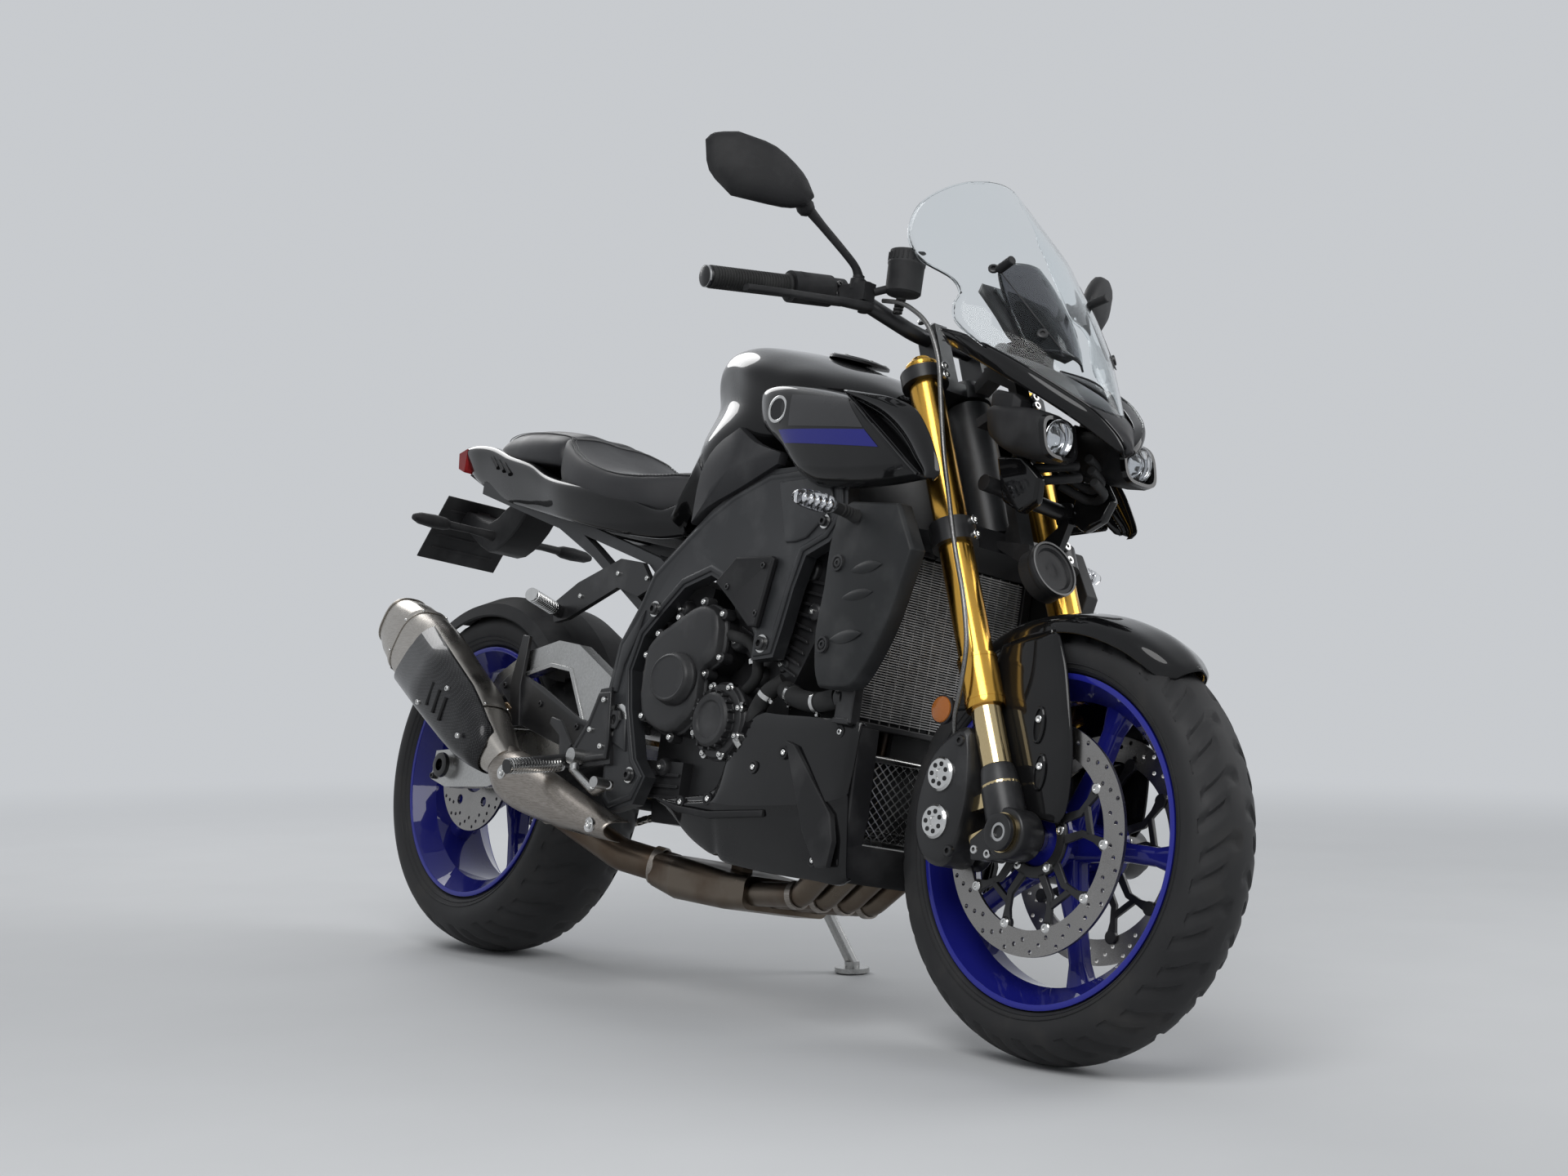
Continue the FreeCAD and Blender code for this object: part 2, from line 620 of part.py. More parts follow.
# ---------------------------------------------------------------- frame, engine and running gear
@functools.cache
def main_frame():
    spar = [(186, 541), (141, 609), (116, 662), (37, 721), (-14, 759), (-70, 789), (-155, 818),
            (-330, 822), (-345, 742), (-312, 700), (-262, 680), (-244, 631), (-229, 569), (-216, 525),
            (-165, 520), (-165, 560), (-110, 625), (-36, 654), (28, 635), (70, 600), (119, 556),
            (139, 500), (123, 435), (92, 357), (62, 330), (85, 285), (150, 268), (172, 285), (181, 366),
            (198, 460)]
    plate = prism(spar, FRAME_INNER, FRAME_OUTER)
    head_low = LOWER_CLAMP[1] + HEAD_GAP
    head_high = UPPER_CLAMP[0] - HEAD_GAP
    neck_inner = [steered(18, -12, head_low + 8), steered(18, -12, head_high - 14),
                  steered(18, -34, head_high - 14), steered(18, -34, head_low + 8)]
    neck_outer = [Vector(FRAME_INNER + 8, -290, 745), Vector(FRAME_INNER + 8, -282, 822),
                  Vector(FRAME_INNER + 8, -230, 818), Vector(FRAME_INNER + 8, -240, 700)]
    neck = loft([Part.makePolygon(wire + wire[:1]) for wire in (neck_inner, neck_outer)])
    neck = neck.cut(block(FRAME_INNER + 8, 400, -900, 900, 0, 1200))
    side = joined(plate, neck)
    for y, z in ((-190, 545), (95, 600), (100, 330)):
        boss = across(Vector(0, y, z), ENGINE_HALF_WIDTH, FRAME_INNER + 1, 16)
        side = joined(side, boss)
    head = cylinder(steered(0, 0, head_low), steered(0, 0, head_high), 34)
    beams = [across(Vector(0, 170, 548), -FRAME_INNER, FRAME_INNER, 14),
             across(Vector(0, 128, 290), -FRAME_INNER, FRAME_INNER, 11)]
    whole = joined(head, side, mirrored(side), *beams)
    bore = cylinder(steered(0, 0, head_low - 1), steered(0, 0, head_high + 1), STEM_RADIUS + RUNNING_FIT)
    lug, pin = stand_lug()
    return joined(whole.cut(bore), lug, pin)


@functools.cache
def engine_block():
    case = prism([(-172, 262), (110, 262), (118, 300), (118, 470), (96, 560), (-60, 590), (-190, 520),
                  (-205, 400)], -112, ENGINE_HALF_WIDTH - 14)
    barrels = prism([(-60, 560), (-50, 690), (-190, 742), (-288, 700), (-292, 610), (-215, 470)],
                    -ENGINE_HALF_WIDTH, ENGINE_HALF_WIDTH)
    rear = prism([(40, 480), (118, 470), (112, 640), (60, 660), (0, 640)],
                 -ENGINE_HALF_WIDTH, ENGINE_HALF_WIDTH)
    lower = prism([(20, 300), (118, 300), (118, 360), (20, 360)], -ENGINE_HALF_WIDTH, ENGINE_HALF_WIDTH)
    whole = joined(case, barrels, rear, lower)
    sprocket_room = across(DRIVE_SPROCKET, CHAIN_OFFSET - 16, ENGINE_HALF_WIDTH + 1, 64)
    chain_room = prism([(50, 470), (130, 470), (130, 340), (50, 340)], CHAIN_OFFSET - 16,
                       ENGINE_HALF_WIDTH + 1)
    return whole.cut(sprocket_room).cut(chain_room)


@functools.cache
def clutch_cover():
    body = prism([(98, 430), (108, 525), (85, 558), (37, 584), (-21, 608), (-70, 590), (-76, 526),
                  (-44, 500), (-41, 440), (20, 400)], -176, -112)
    boss = loft([oval(Vector(-176, 12, 487), Vector(0, 50, 0), Vector(0, 0, 41), 1),
                 oval(Vector(-194, 12, 487), Vector(0, 42, 0), Vector(0, 0, 34), 1)])
    return joined(body, boss).cut(Part.makeCompound([main_frame(), engine_block()]))


def right_engine_cover():
    """Clutch cover and ignition cover, bolted on as one."""
    return joined(clutch_cover(), ignition_cover())


@functools.cache
def ignition_cover():
    disc = across(Vector(0, -92, 426), -166, -112, 58)
    cap = across(Vector(0, -92, 426), -182, -166, 44)
    return joined(disc, cap).cut(engine_block())


@functools.cache
def generator_cover():
    disc = across(Vector(0, -70, 440), ENGINE_HALF_WIDTH - 14, 166, 82)
    cap = across(Vector(0, -70, 440), 166, 182, 62)
    return joined(disc, cap).cut(Part.makeCompound([main_frame(), engine_block()]))


def left_engine_cover():
    """Generator cover and sprocket cover."""
    cover = across(DRIVE_SPROCKET, CHAIN_OFFSET + 16, 146, 62)
    spacer = prism([(60, 462), (84, 462), (84, 478), (60, 478)], CHAIN_OFFSET - 16, 146)
    whole = joined(cover, spacer, generator_cover())
    return whole.cut(Part.makeCompound([main_frame(), engine_block()]))


def drive_chain():
    """A fixed loop around both sprockets, with the gearbox sprocket it runs on."""
    low = CHAIN_OFFSET - CHAIN_WIDTH / 2
    high = CHAIN_OFFSET + CHAIN_WIDTH / 2
    run = REAR - DRIVE_SPROCKET
    run.x = 0

    def outline(extra):
        big = SPROCKET_RADIUS + extra
        small = DRIVE_SPROCKET_RADIUS + extra
        heading = math.atan2(run.z, run.y)
        spread = math.asin((big - small) / run.Length)
        points = {}
        for side in (1, -1):
            angle = heading + side * (math.pi / 2 + spread)
            for name, centre, radius in (("rear", REAR, big), ("front", DRIVE_SPROCKET, small)):
                points[name, side] = Vector(low, centre.y + radius * math.cos(angle),
                                            centre.z + radius * math.sin(angle))
        back = Vector(low, REAR.y + big * math.cos(heading), REAR.z + big * math.sin(heading))
        fore = Vector(low, DRIVE_SPROCKET.y - small * math.cos(heading),
                      DRIVE_SPROCKET.z - small * math.sin(heading))
        edges = [Part.Arc(points["rear", -1], back, points["rear", 1]).toShape(),
                 Part.LineSegment(points["rear", 1], points["front", 1]).toShape(),
                 Part.Arc(points["front", 1], fore, points["front", -1]).toShape(),
                 Part.LineSegment(points["front", -1], points["rear", -1]).toShape()]
        return Part.Face(Part.Wire(edges)).extrude(Vector(high - low, 0, 0))
    loop = outline(CHAIN_HEIGHT).cut(outline(0.5))
    wheel_disc = across(DRIVE_SPROCKET, CHAIN_OFFSET - 4, CHAIN_OFFSET + 4, DRIVE_SPROCKET_RADIUS)
    shaft = across(DRIVE_SPROCKET, CHAIN_OFFSET - 16, CHAIN_OFFSET + 12, 16)
    return Part.makeCompound([loop, joined(wheel_disc, shaft)])


@functools.cache
def swingarm():
    right = [(132, 400), (135, 450), (172, 462), (338, 545), (400, 552), (500, 530), (580, 490),
             (684, 352), (748, 346), (752, 294), (700, 282), (560, 290), (373, 345), (200, 372),
             (150, 392)]
    window = [(300, 420), (352, 500), (410, 508), (500, 488), (570, 440), (520, 400), (400, 400)]
    arm_right = prism(right, -FRAME_INNER + 3, -122).cut(prism(window, -FRAME_INNER, -100))
    left = [(132, 400), (135, 450), (172, 462), (338, 506), (500, 484), (684, 352), (748, 346),
            (752, 294), (700, 282), (560, 290), (373, 345), (200, 372), (150, 392)]
    arm_left = prism(left, CHAIN_OFFSET + 15, FRAME_INNER - 3)
    bridge = block(-123, 125, 250, 348, 392, 452)
    bridge = bridge.cut(block(CHAIN_OFFSET - 14, 124, 240, 360, 380, 470))
    pivot = across(SWINGARM_PIVOT, -FRAME_INNER, FRAME_INNER, 22)
    chain_room = block(CHAIN_OFFSET - 14, CHAIN_OFFSET + 15, 120, 200, 350, 480)
    cross = block(-123, 125, 250, 348, 470, 486)
    whole = joined(arm_right, arm_left, bridge, cross, pivot.cut(chain_room),
                   across(SWINGARM_PIVOT, CHAIN_OFFSET - 14, CHAIN_OFFSET + 15, 14))
    return whole.cut(across(REAR, -200, 200, REAR_AXLE_RADIUS + SEAT_FIT))


def rear_axle():
    axle = across(REAR, -FRAME_INNER - 6, FRAME_INNER + 6, REAR_AXLE_RADIUS)
    pieces = [across(REAR, -122, REAR_HUB[0] - 0.5, 21), across(REAR, REAR_HUB[1] + 0.5, CHAIN_OFFSET + 15, 21),
              across(REAR, -FRAME_INNER - 6, -FRAME_INNER + 3, 20),
              across(REAR, FRAME_INNER - 3, FRAME_INNER + 6, 20)]
    return joined(axle, *pieces).cut(across(REAR, -200, 200, REAR_AXLE_BORE))


def rear_caliper():
    """Floating caliper in front of the disc, carried by the right arm."""
    low = REAR_HUB[0] - 5
    body = prism([(560, 345), (560, 405), (600, 430), (640, 415), (622, 345)], -118, low + 22)
    slot = across(REAR, low - 6, low + 11, REAR_DISC_RADIUS + 6)
    lug = across(Vector(0, 588, 360), -122, -112, 14)
    return joined(body.cut(slot), lug)


def rear_hugger():
    radius = REAR_TYRE_RADIUS + 9
    outline = [(-103, radius - 46), (-98, radius - 24), (-60, radius - 5), (0, radius), (60, radius - 5),
               (98, radius - 24), (103, radius - 46)]
    shell = arch(outline + [(x * 1.03, r + SKIN) for x, r in reversed(outline)], REAR, 58, 146)
    tab = prism([(436, 486), (470, 494), (470, 520), (436, 516)], -122, -100)
    left_tab = prism([(436, 460), (470, 460), (470, 520), (436, 516)], 100, 108)
    left_foot = prism([(436, 460), (470, 460), (470, 478), (436, 478)], 104, CHAIN_OFFSET + 15)
    clear = across(REAR, -103, 100, radius - 30)
    return joined(shell, tab, left_tab, left_foot).cut(clear).cut(swingarm())


def shock_absorber():
    """Upright damper and spring behind the engine, from the frame's cross beam to the arm's bridge."""
    top = Vector(0, 205, 600)
    foot = Vector(0, 225, 392)
    spring = cylinder(Vector(0, 208, 570), Vector(0, 222, 430), 34)
    rod = cylinder(top, foot, 12)
    lug = cylinder(Vector(0, 172, 556), Vector(0, 205, 592), 10)
    clevis = cylinder(Vector(0, 222, 425), Vector(0, 262, 425), 12)
    return joined(spring, rod, lug, clevis).cut(Part.makeCompound([main_frame(), swingarm()]))


@functools.cache
def subframe():
    rail = [(122, 650), (200, 700), (500, 785), (800, 862), (800, 838), (520, 762), (400, 706),
            (215, 596), (160, 566), (136, 578), (124, 610)]
    window = [(200, 668), (230, 690), (440, 748), (400, 726), (225, 620)]
    side = prism(rail, 84, 104).cut(prism(window, 80, 110))
    bolts = [across(Vector(0, y, z), 103, FRAME_INNER, 8) for y, z in ((150, 582), (133, 614))]
    side = joined(side, *bolts)
    beams = [block(-84, 84, y, y + 24, z, z + 16) for y, z in ((230, 694), (500, 768), (740, 832))]
    return joined(side, mirrored(side), *beams)


# ---------------------------------------------------------------- cooling and exhaust
@functools.cache
def radiator():
    core = prism([(-396, 432), (-404, 700), (-372, 704), (-364, 435)], -166, 166)
    stays = [prism([(-374, 686), (-280, 686), (-280, 670), (-373, 670)], x, x + 14) for x in (-107, 93)]
    return joined(core, *stays).cut(engine_block())


def oil_cooler():
    core = prism([(-384, 262), (-388, 392), (-354, 394), (-350, 262)], -112, 112)
    hanger = prism([(-380, 392), (-384, 434), (-376, 434), (-372, 392)], -60, 60)
    return joined(core, hanger).cut(radiator())


@functools.cache
def radiator_cover():
    """Left side cover with the indicator's place on it."""
    outline = [(-350, 739), (-374, 756), (-481, 749), (-523, 680), (-495, 587), (-467, 529),
               (-437, 487), (-413, 477), (-353, 477), (-340, 503), (-331, 563), (-337, 624), (-338, 691)]
    cover = prism(outline, 186, 206)
    feet = [across(Vector(0, y, z), 166, 187, 8) for y, z in ((-388, 686), (-381, 500))]
    return joined(cover, *feet).cut(radiator())


def front_indicator():
    stalk = cylinder(Vector(206, -400, 728), Vector(240, -398, 732), 7)
    wires = []
    for x, half, tall in ((232, 10, 9), (262, 17, 15), (302, 15, 13), (318, 8, 8)):
        wires.append(oval(Vector(x, -396, 735), Vector(0, half, 0), Vector(0, 0, tall), 0.8))
    return joined(stalk, loft(wires)).cut(radiator_cover())


HEADER_X = (-78, -26, 26, 78)


@functools.cache
def exhaust_pipes():
    """Four headers, the collector box under the engine and the pipe to the silencer."""
    pipes = []
    for x in HEADER_X:
        points = [Vector(x, -284, 640), Vector(x, -326, 622), Vector(x, -336, 470), Vector(x, -300, 230),
                  Vector(x * 0.92, -240, 180), Vector(x * 0.8, -110, 171)]
        pipes.append(bent_tube(points, 34, 19))
    box = body_loft(((-120, 0, 88, 146, 198), (-60, 0, 92, 142, 200), (60, -14, 84, 146, 214),
                     (120, -40, 56, 160, 216)), 0.6)
    pipe = bent_tube([Vector(-52, 105, 190), Vector(-105, 190, 205), Vector(-176, 300, 268),
                      Vector(-200, 424, 332)], 60, 27)
    stay = block(-30, -10, -40, -10, 190, 262)
    return joined(box, *pipes, pipe, stay).cut(engine_block())


def exhaust_heat_shield():
    outline = [(77, 253), (163, 282), (266, 317), (360, 342), (392, 340), (404, 300), (399, 262), (245, 236), (90, 222)]
    shield = prism(outline, -246, -240)
    foot = across(Vector(0, 300, 270), -241, -190, 7)
    return joined(shield, foot).cut(exhaust_pipes())


def muffler():
    sections = ((-206, 420, 330, 27, 27), (-208, 470, 358, 42, 44), (-210, 540, 404, 50, 62),
                (-212, 700, 500, 52, 70), (-212, 800, 556, 46, 58), (-211, 838, 577, 38, 46))
    upright = Vector(0, -0.51, 0.86)
    wires = []
    for x, y, z, half, tall in sections:
        wires.append(oval(Vector(x, y, z), Vector(half, 0, 0), upright * tall, 0.65))
    return loft(wires).cut(exhaust_pipes())


def belly_pan():
    outline = [(-412, 434), (-418, 290), (-400, 200), (-150, 207), (-75, 220), (-3, 272), (41, 301),
               (-104, 316), (-120, 380), (-137, 437)]
    side = prism(outline, 146, 164)
    front = prism([(-406, 204), (-398, 256), (-392, 256), (-398, 204)], -146, 146)
    stays = [across(Vector(0, y, z), 108, 147, 8) for y, z in ((-150, 300), (-100, 270))]
    side = joined(side, *stays)
    whole = joined(front, side, mirrored(side))
    room = [across(Vector(0, -92, 426), -190, -100, 59), across(Vector(0, -70, 440), 100, 190, 83)]
    others = [engine_block(), radiator(), *room]
    return whole.cut(Part.makeCompound(others))


# ---------------------------------------------------------------- bodywork
@functools.cache
def fuel_tank():
    sections = ((-302, 0, 84, 850, 962), (-240, 0, 128, 828, 990), (-120, 0, 150, 812, 1030),
                (0, 0, 152, 790, 1056), (80, 0, 126, 780, 1052), (140, 0, 84, 776, 980),
                (176, 0, 66, 776, 880))
    tank = body_loft(sections, 0.62)
    feet = [block(-60, 60, -210, -180, 742, 830)]
    return joined(tank, *feet).cut(Part.makeCompound([main_frame(), engine_block()]))


def tank_panels():
    """Side panels, running forward into the intake scoop."""
    outline = [(-97, 935), (-186, 946), (-285, 930), (-363, 911), (-473, 893), (-511, 872), (-560, 806),
               (-569, 783), (-495, 775), (-316, 777), (-259, 784), (-203, 844), (-163, 866), (-104, 902)]
    skin = prism(outline, 202, 214)
    fixings = [across(Vector(0, y, z), 110, 203, 9) for y, z in ((-190, 900), (-260, 850))]
    return both_sides(joined(skin, *fixings)).cut(fuel_tank())


def frame_covers():
    """Knee panels between tank and frame."""
    outline = [(-66, 890), (-9, 862), (23, 817), (26, 737), (-11, 762), (-89, 788), (-173, 820),
               (-180, 842), (-113, 862)]
    cover = prism(outline, 176, 190)
    foot = across(Vector(0, -60, 850), 110, 177, 9)
    return both_sides(joined(cover, foot)).cut(fuel_tank()).cut(main_frame())


@functools.cache
def rider_seat():
    sections = ((186, 0, 62, 786, 862), (250, 0, 112, 792, 858), (330, 0, 136, 806, 868),
                (420, 0, 140, 820, 908), (490, 0, 128, 832, 930), (528, 0, 112, 850, 936))
    return body_loft(sections, 0.5)


@functools.cache
def passenger_seat():
    sections = ((532, 0, 106, 872, 936), (600, 0, 112, 880, 954), (720, 0, 100, 896, 972),
                (806, 0, 78, 908, 958))
    return body_loft(sections, 0.5)


@functools.cache
def tail_cowl():
    """Side covers under the seats, closed at the back around the light."""
    side = prism([(170, 742), (258, 738), (460, 767), (632, 800), (756, 822), (892, 886), (909, 925),
                  (898, 934), (826, 930), (812, 905), (700, 890), (606, 872), (560, 846), (476, 828),
                  (397, 817), (319, 802), (262, 756)], 106, 122)
    deck = prism([(812, 905), (826, 930), (880, 934), (880, 880), (812, 868)], -106, 106)
    rails = prism([(500, 786), (500, 800), (806, 878), (806, 864)], -106, 106)
    seat_bed = prism([(240, 744), (240, 768), (500, 806), (500, 786)], -106, 106)
    feet = [block(-60, 60, 300, 340, 760, 850), block(-60, 60, 640, 680, 836, 910)]
    whole = joined(deck, rails, seat_bed, side, mirrored(side), *feet)
    others = [subframe(), rider_seat(), passenger_seat(), main_frame(), fuel_tank()]
    return whole.cut(Part.makeCompound(others))


def tail_light():
    return prism([(880, 884), (902, 892), (908, 922), (880, 930)], -104, 104).cut(tail_cowl())


def plate_holder():
    """Arm under the tail with the blank plate and the two rear indicators."""
    arm = prism([(740, 828), (786, 770), (862, 742), (962, 792), (992, 800), (968, 828), (872, 800), (800, 836)],
                -36, 36)
    plate = prism([(948, 846), (952, 848), (1040, 730), (1036, 727)], -90, 90)
    stalk = cylinder(Vector(30, 850, 772), Vector(134, 868, 776), 7)
    wires = []
    for x, half, tall in ((126, 10, 8), (150, 16, 13), (190, 14, 12), (206, 7, 7)):
        wires.append(oval(Vector(x, 868, 776), Vector(0, half, 0), Vector(0, 0, tall), 0.8))
    lamp = joined(stalk, loft(wires))
    whole = joined(arm, plate, lamp, mirrored(lamp))
    return whole.cut(Part.makeCompound([subframe(), tail_cowl()]))


# ---------------------------------------------------------------- rests and pedals
def footrest_hanger():
    outline = [(176, 470), (160, 384), (150, 345), (268, 332), (276, 352), (228, 415), (205, 466)]
    plate = prism(outline, FRAME_OUTER, FRAME_OUTER + 9)
    peg = cylinder(Vector(FRAME_OUTER + 8, 262, 346), Vector(306, 258, 318), 12)
    return joined(plate, peg)


def pillion_hanger():
    outline = [(196, 650), (236, 692), (300, 700), (420, 660), (492, 622), (478, 590), (440, 596),
               (300, 650), (236, 634)]
    plate = prism(outline, 104, 114)
    peg = cylinder(Vector(114, 462, 608), Vector(206, 420, 622), 11)
    return joined(plate, peg).cut(subframe())


def brake_pedal():
    """Right foot lever, carried by the hanger."""
    arm = bent_tube([Vector(-194, 234, 330), Vector(-196, 160, 296), Vector(-236, 70, 308)], 30, 7)
    tip = cylinder(Vector(-226, 78, 308), Vector(-262, 72, 309), 9)
    eye = across(Vector(0, 232, 352), -204, -FRAME_OUTER - 9, 13)
    return joined(arm, tip, eye, cylinder(Vector(-194, 232, 345), Vector(-194, 230, 328), 8))


def gear_lever():
    arm = bent_tube([Vector(194, 228, 342), Vector(200, 160, 334), Vector(228, 78, 336)], 30, 6)
    tip = cylinder(Vector(220, 82, 336), Vector(262, 78, 337), 8)
    eye = across(Vector(0, 228, 342), FRAME_OUTER + 9, 202, 12)
    return joined(arm, tip, eye)


# ---------------------------------------------------------------- side stand
STAND_EYE_RADIUS = 17.0
STAND_EYE = 14.0
FLOOR_SLOPE = math.tan(math.radians(LEAN))


def stand_foot():
    """Where the foot meets the floor, which the lean has tilted."""
    return Vector(STAND_FOOT_X, STAND_FOOT_Y, STAND_FOOT_X * FLOOR_SLOPE)


def stand_axis():
    """Pivot axis square to the leg both down and folded back along the motorcycle."""
    down = stand_foot() - STAND_PIVOT
    folded = Vector(24, 297, 14)
    return down.cross(folded).normalize()


def stand_lug():
    axis = stand_axis()
    lug = cylinder(STAND_PIVOT - axis * 26, STAND_PIVOT - axis * 0.3, STAND_EYE_RADIUS)
    pin = cylinder(STAND_PIVOT - axis * 8, STAND_PIVOT + axis * (STAND_EYE + 3), 6)
    return lug, pin


def side_stand():
    axis = stand_axis()
    eye = cylinder(STAND_PIVOT, STAND_PIVOT + axis * STAND_EYE, STAND_EYE_RADIUS)
    top = STAND_PIVOT + axis * (STAND_EYE / 2)
    foot = stand_foot()
    across_leg = (foot - top).cross(axis).normalize()
    sole_normal = Vector(-math.sin(math.radians(LEAN)), 0, math.cos(math.radians(LEAN)))
    ankle = foot + sole_normal * 16
    wires = []
    for share, wide, thick in ((0.02, 15, 7), (0.3, 12, 8), (0.75, 11, 8), (1, 12, 8)):
        wires.append(oval(top + (ankle - top) * share, across_leg * wide, axis * thick, 0.7))
    leg = loft(wires)
    sole = Part.makeCylinder(30, 8, foot, sole_normal)
    post = Part.makeCylinder(13, 18, foot, sole_normal)
    bore = cylinder(STAND_PIVOT - axis * 5, STAND_PIVOT + axis * 40, 6 + RUNNING_FIT)
    return joined(eye, leg, sole, post).cut(bore)


# ---------------------------------------------------------------- the whole motorcycle
def all_pieces():
    carrier, band = front_disc_side()
    pieces = {
        "front_wheel": wheel(FRONT, FRONT_RIM_WIDTH, -FRONT_HUB_HALF, FRONT_HUB_HALF, AXLE_RADIUS, 20),
        "front_tyre": tyre(FRONT, FRONT_TYRE_RADIUS, FRONT_TYRE_WIDTH, FRONT_RIM_WIDTH),
        "front_disc_carriers": both_sides(carrier),
        "front_brake_discs": both_sides(band),
        "rear_wheel": wheel(REAR, REAR_RIM_WIDTH, *REAR_HUB, REAR_AXLE_RADIUS, 24),
        "rear_tyre": tyre(REAR, REAR_TYRE_RADIUS, REAR_TYRE_WIDTH, REAR_RIM_WIDTH),
        "rear_brake_disc": rear_disc(),
        "rear_sprocket": rear_sprocket(),
        "fork_outer_tubes": both_sides(fork_outer_tube()),
        "fork_sliders": both_sides(joined(fork_slider(), fork_foot())),
        "front_axle": front_axle(),
        "front_calipers": both_sides(front_caliper()),
        "front_fender": front_fender(),
        "lower_clamp": lower_clamp(),
        "upper_clamp": upper_clamp(),
        "handlebar": handlebar(),
        "grips": both_sides(grip()),
        "left_hand_controls": controls(),
        "right_hand_controls": joined(mirrored(controls()), brake_reservoir()),
        "mirrors": both_sides(mirror()),
        "headlight_stay": joined(headlight_stay(), horn()),
        "headlights": both_sides(headlight()),
        "nose_cowl": nose_cowl(),
        "windscreen": windscreen(),
        "instrument_panel": instrument_panel(),
        "steering_damper": steering_damper(),
        "brake_hose": brake_hose(),
        "main_frame": main_frame(),
        "engine_block": engine_block(),
        "right_engine_cover": right_engine_cover(),
        "left_engine_cover": left_engine_cover(),
        "drive_chain": drive_chain(),
        "swingarm": swingarm(),
        "rear_axle": rear_axle(),
        "rear_caliper": rear_caliper(),
        "rear_hugger": rear_hugger(),
        "shock_absorber": shock_absorber(),
        "subframe": subframe(),
        "radiator": radiator(),
        "oil_cooler": oil_cooler(),
        "radiator_covers": both_sides(radiator_cover()),
        "front_indicators": both_sides(front_indicator()),
        "exhaust_pipes": exhaust_pipes(),
        "exhaust_heat_shield": exhaust_heat_shield(),
        "muffler": muffler(),
        "belly_pan": belly_pan(),
        "fuel_tank": fuel_tank(),
        "tank_panels": tank_panels(),
        "frame_covers": frame_covers(),
        "rider_seat": rider_seat(),
        "passenger_seat": passenger_seat(),
        "tail_cowl": tail_cowl(),
        "tail_light": tail_light(),
        "plate_holder": plate_holder(),
        "footrest_hangers": both_sides(footrest_hanger()),
        "pillion_hangers": both_sides(pillion_hanger()),
        "brake_pedal": brake_pedal(),
        "gear_lever": gear_lever(),
        "side_stand": side_stand(),
    }
    return pieces


def main():
    os.makedirs("parts", exist_ok=True)
    pieces = all_pieces()
    whole = FreeCAD.BoundBox()
    for shape in pieces.values():
        shape.rotate(Vector(0, 0, 0), Vector(0, 1, 0), LEAN)
        box = shape.optimalBoundingBox(False)
        whole.add(box)
    shift = Vector(-whole.Center.x, -whole.Center.y, -whole.ZMin)
    for name, shape in pieces.items():
        shape.translate(shift)
        shape.exportStep("parts/" + name + ".step")
    print("shift", [round(value, 3) for value in shift])


main()
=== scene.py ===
import bmesh
import bpy
import json
import math
from mathutils import Matrix, Vector
from mathutils.bvhtree import BVHTree


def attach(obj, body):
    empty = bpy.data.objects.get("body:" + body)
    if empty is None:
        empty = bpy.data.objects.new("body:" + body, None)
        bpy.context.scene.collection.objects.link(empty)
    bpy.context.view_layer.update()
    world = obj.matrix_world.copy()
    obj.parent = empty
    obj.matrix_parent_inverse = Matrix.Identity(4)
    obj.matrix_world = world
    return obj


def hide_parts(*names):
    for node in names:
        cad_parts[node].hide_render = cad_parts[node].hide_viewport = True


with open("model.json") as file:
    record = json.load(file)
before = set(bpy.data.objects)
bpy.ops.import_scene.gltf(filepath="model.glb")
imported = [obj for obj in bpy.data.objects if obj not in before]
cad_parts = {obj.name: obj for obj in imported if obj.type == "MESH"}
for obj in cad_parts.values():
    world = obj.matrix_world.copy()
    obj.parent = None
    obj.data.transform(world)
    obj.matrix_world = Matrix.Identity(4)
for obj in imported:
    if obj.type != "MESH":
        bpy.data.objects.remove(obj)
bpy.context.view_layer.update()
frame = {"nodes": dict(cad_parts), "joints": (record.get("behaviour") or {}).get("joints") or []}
NODES = frame["nodes"]
JOINTS = {joint["name"]: joint for joint in frame["joints"]}

# ---------------------------------------------------------------- the upright frame, in millimetres
# x to the rider's left, y to the rear from half way between the axles, z up from the ground.
FRONT_Y, FRONT_Z = -702.5, 300.0
REAR_Y, REAR_Z = 702.5, 320.0
axle = Vector(JOINTS["front_wheel_spin"]["axis"])
LEAN = math.atan2(-axle.z, axle.x)
TURN = Matrix.Rotation(LEAN, 4, "Y")
front_centre = Vector(JOINTS["front_wheel_spin"]["pos_m"])
SHIFT = front_centre - TURN @ Vector((0, FRONT_Y / 1000, FRONT_Z / 1000))
UPRIGHT = Matrix.Translation(SHIFT) @ TURN @ Matrix.Scale(0.001, 4)
CASTER = math.radians(24.0)
UP = Vector((0, math.sin(CASTER), math.cos(CASTER)))
BACK = Vector((0, UP.z, -UP.y))
TRAIL = 102.0
FOOT = Vector((0, FRONT_Y - TRAIL, 0))
LEG_X = 105.0
OFFSET = 17.9


def steered(x, ahead, along):
    """A point by its side, its distance ahead of the steering axis and its place along it."""
    return FOOT + UP * along - BACK * ahead + Vector((x, 0, 0))


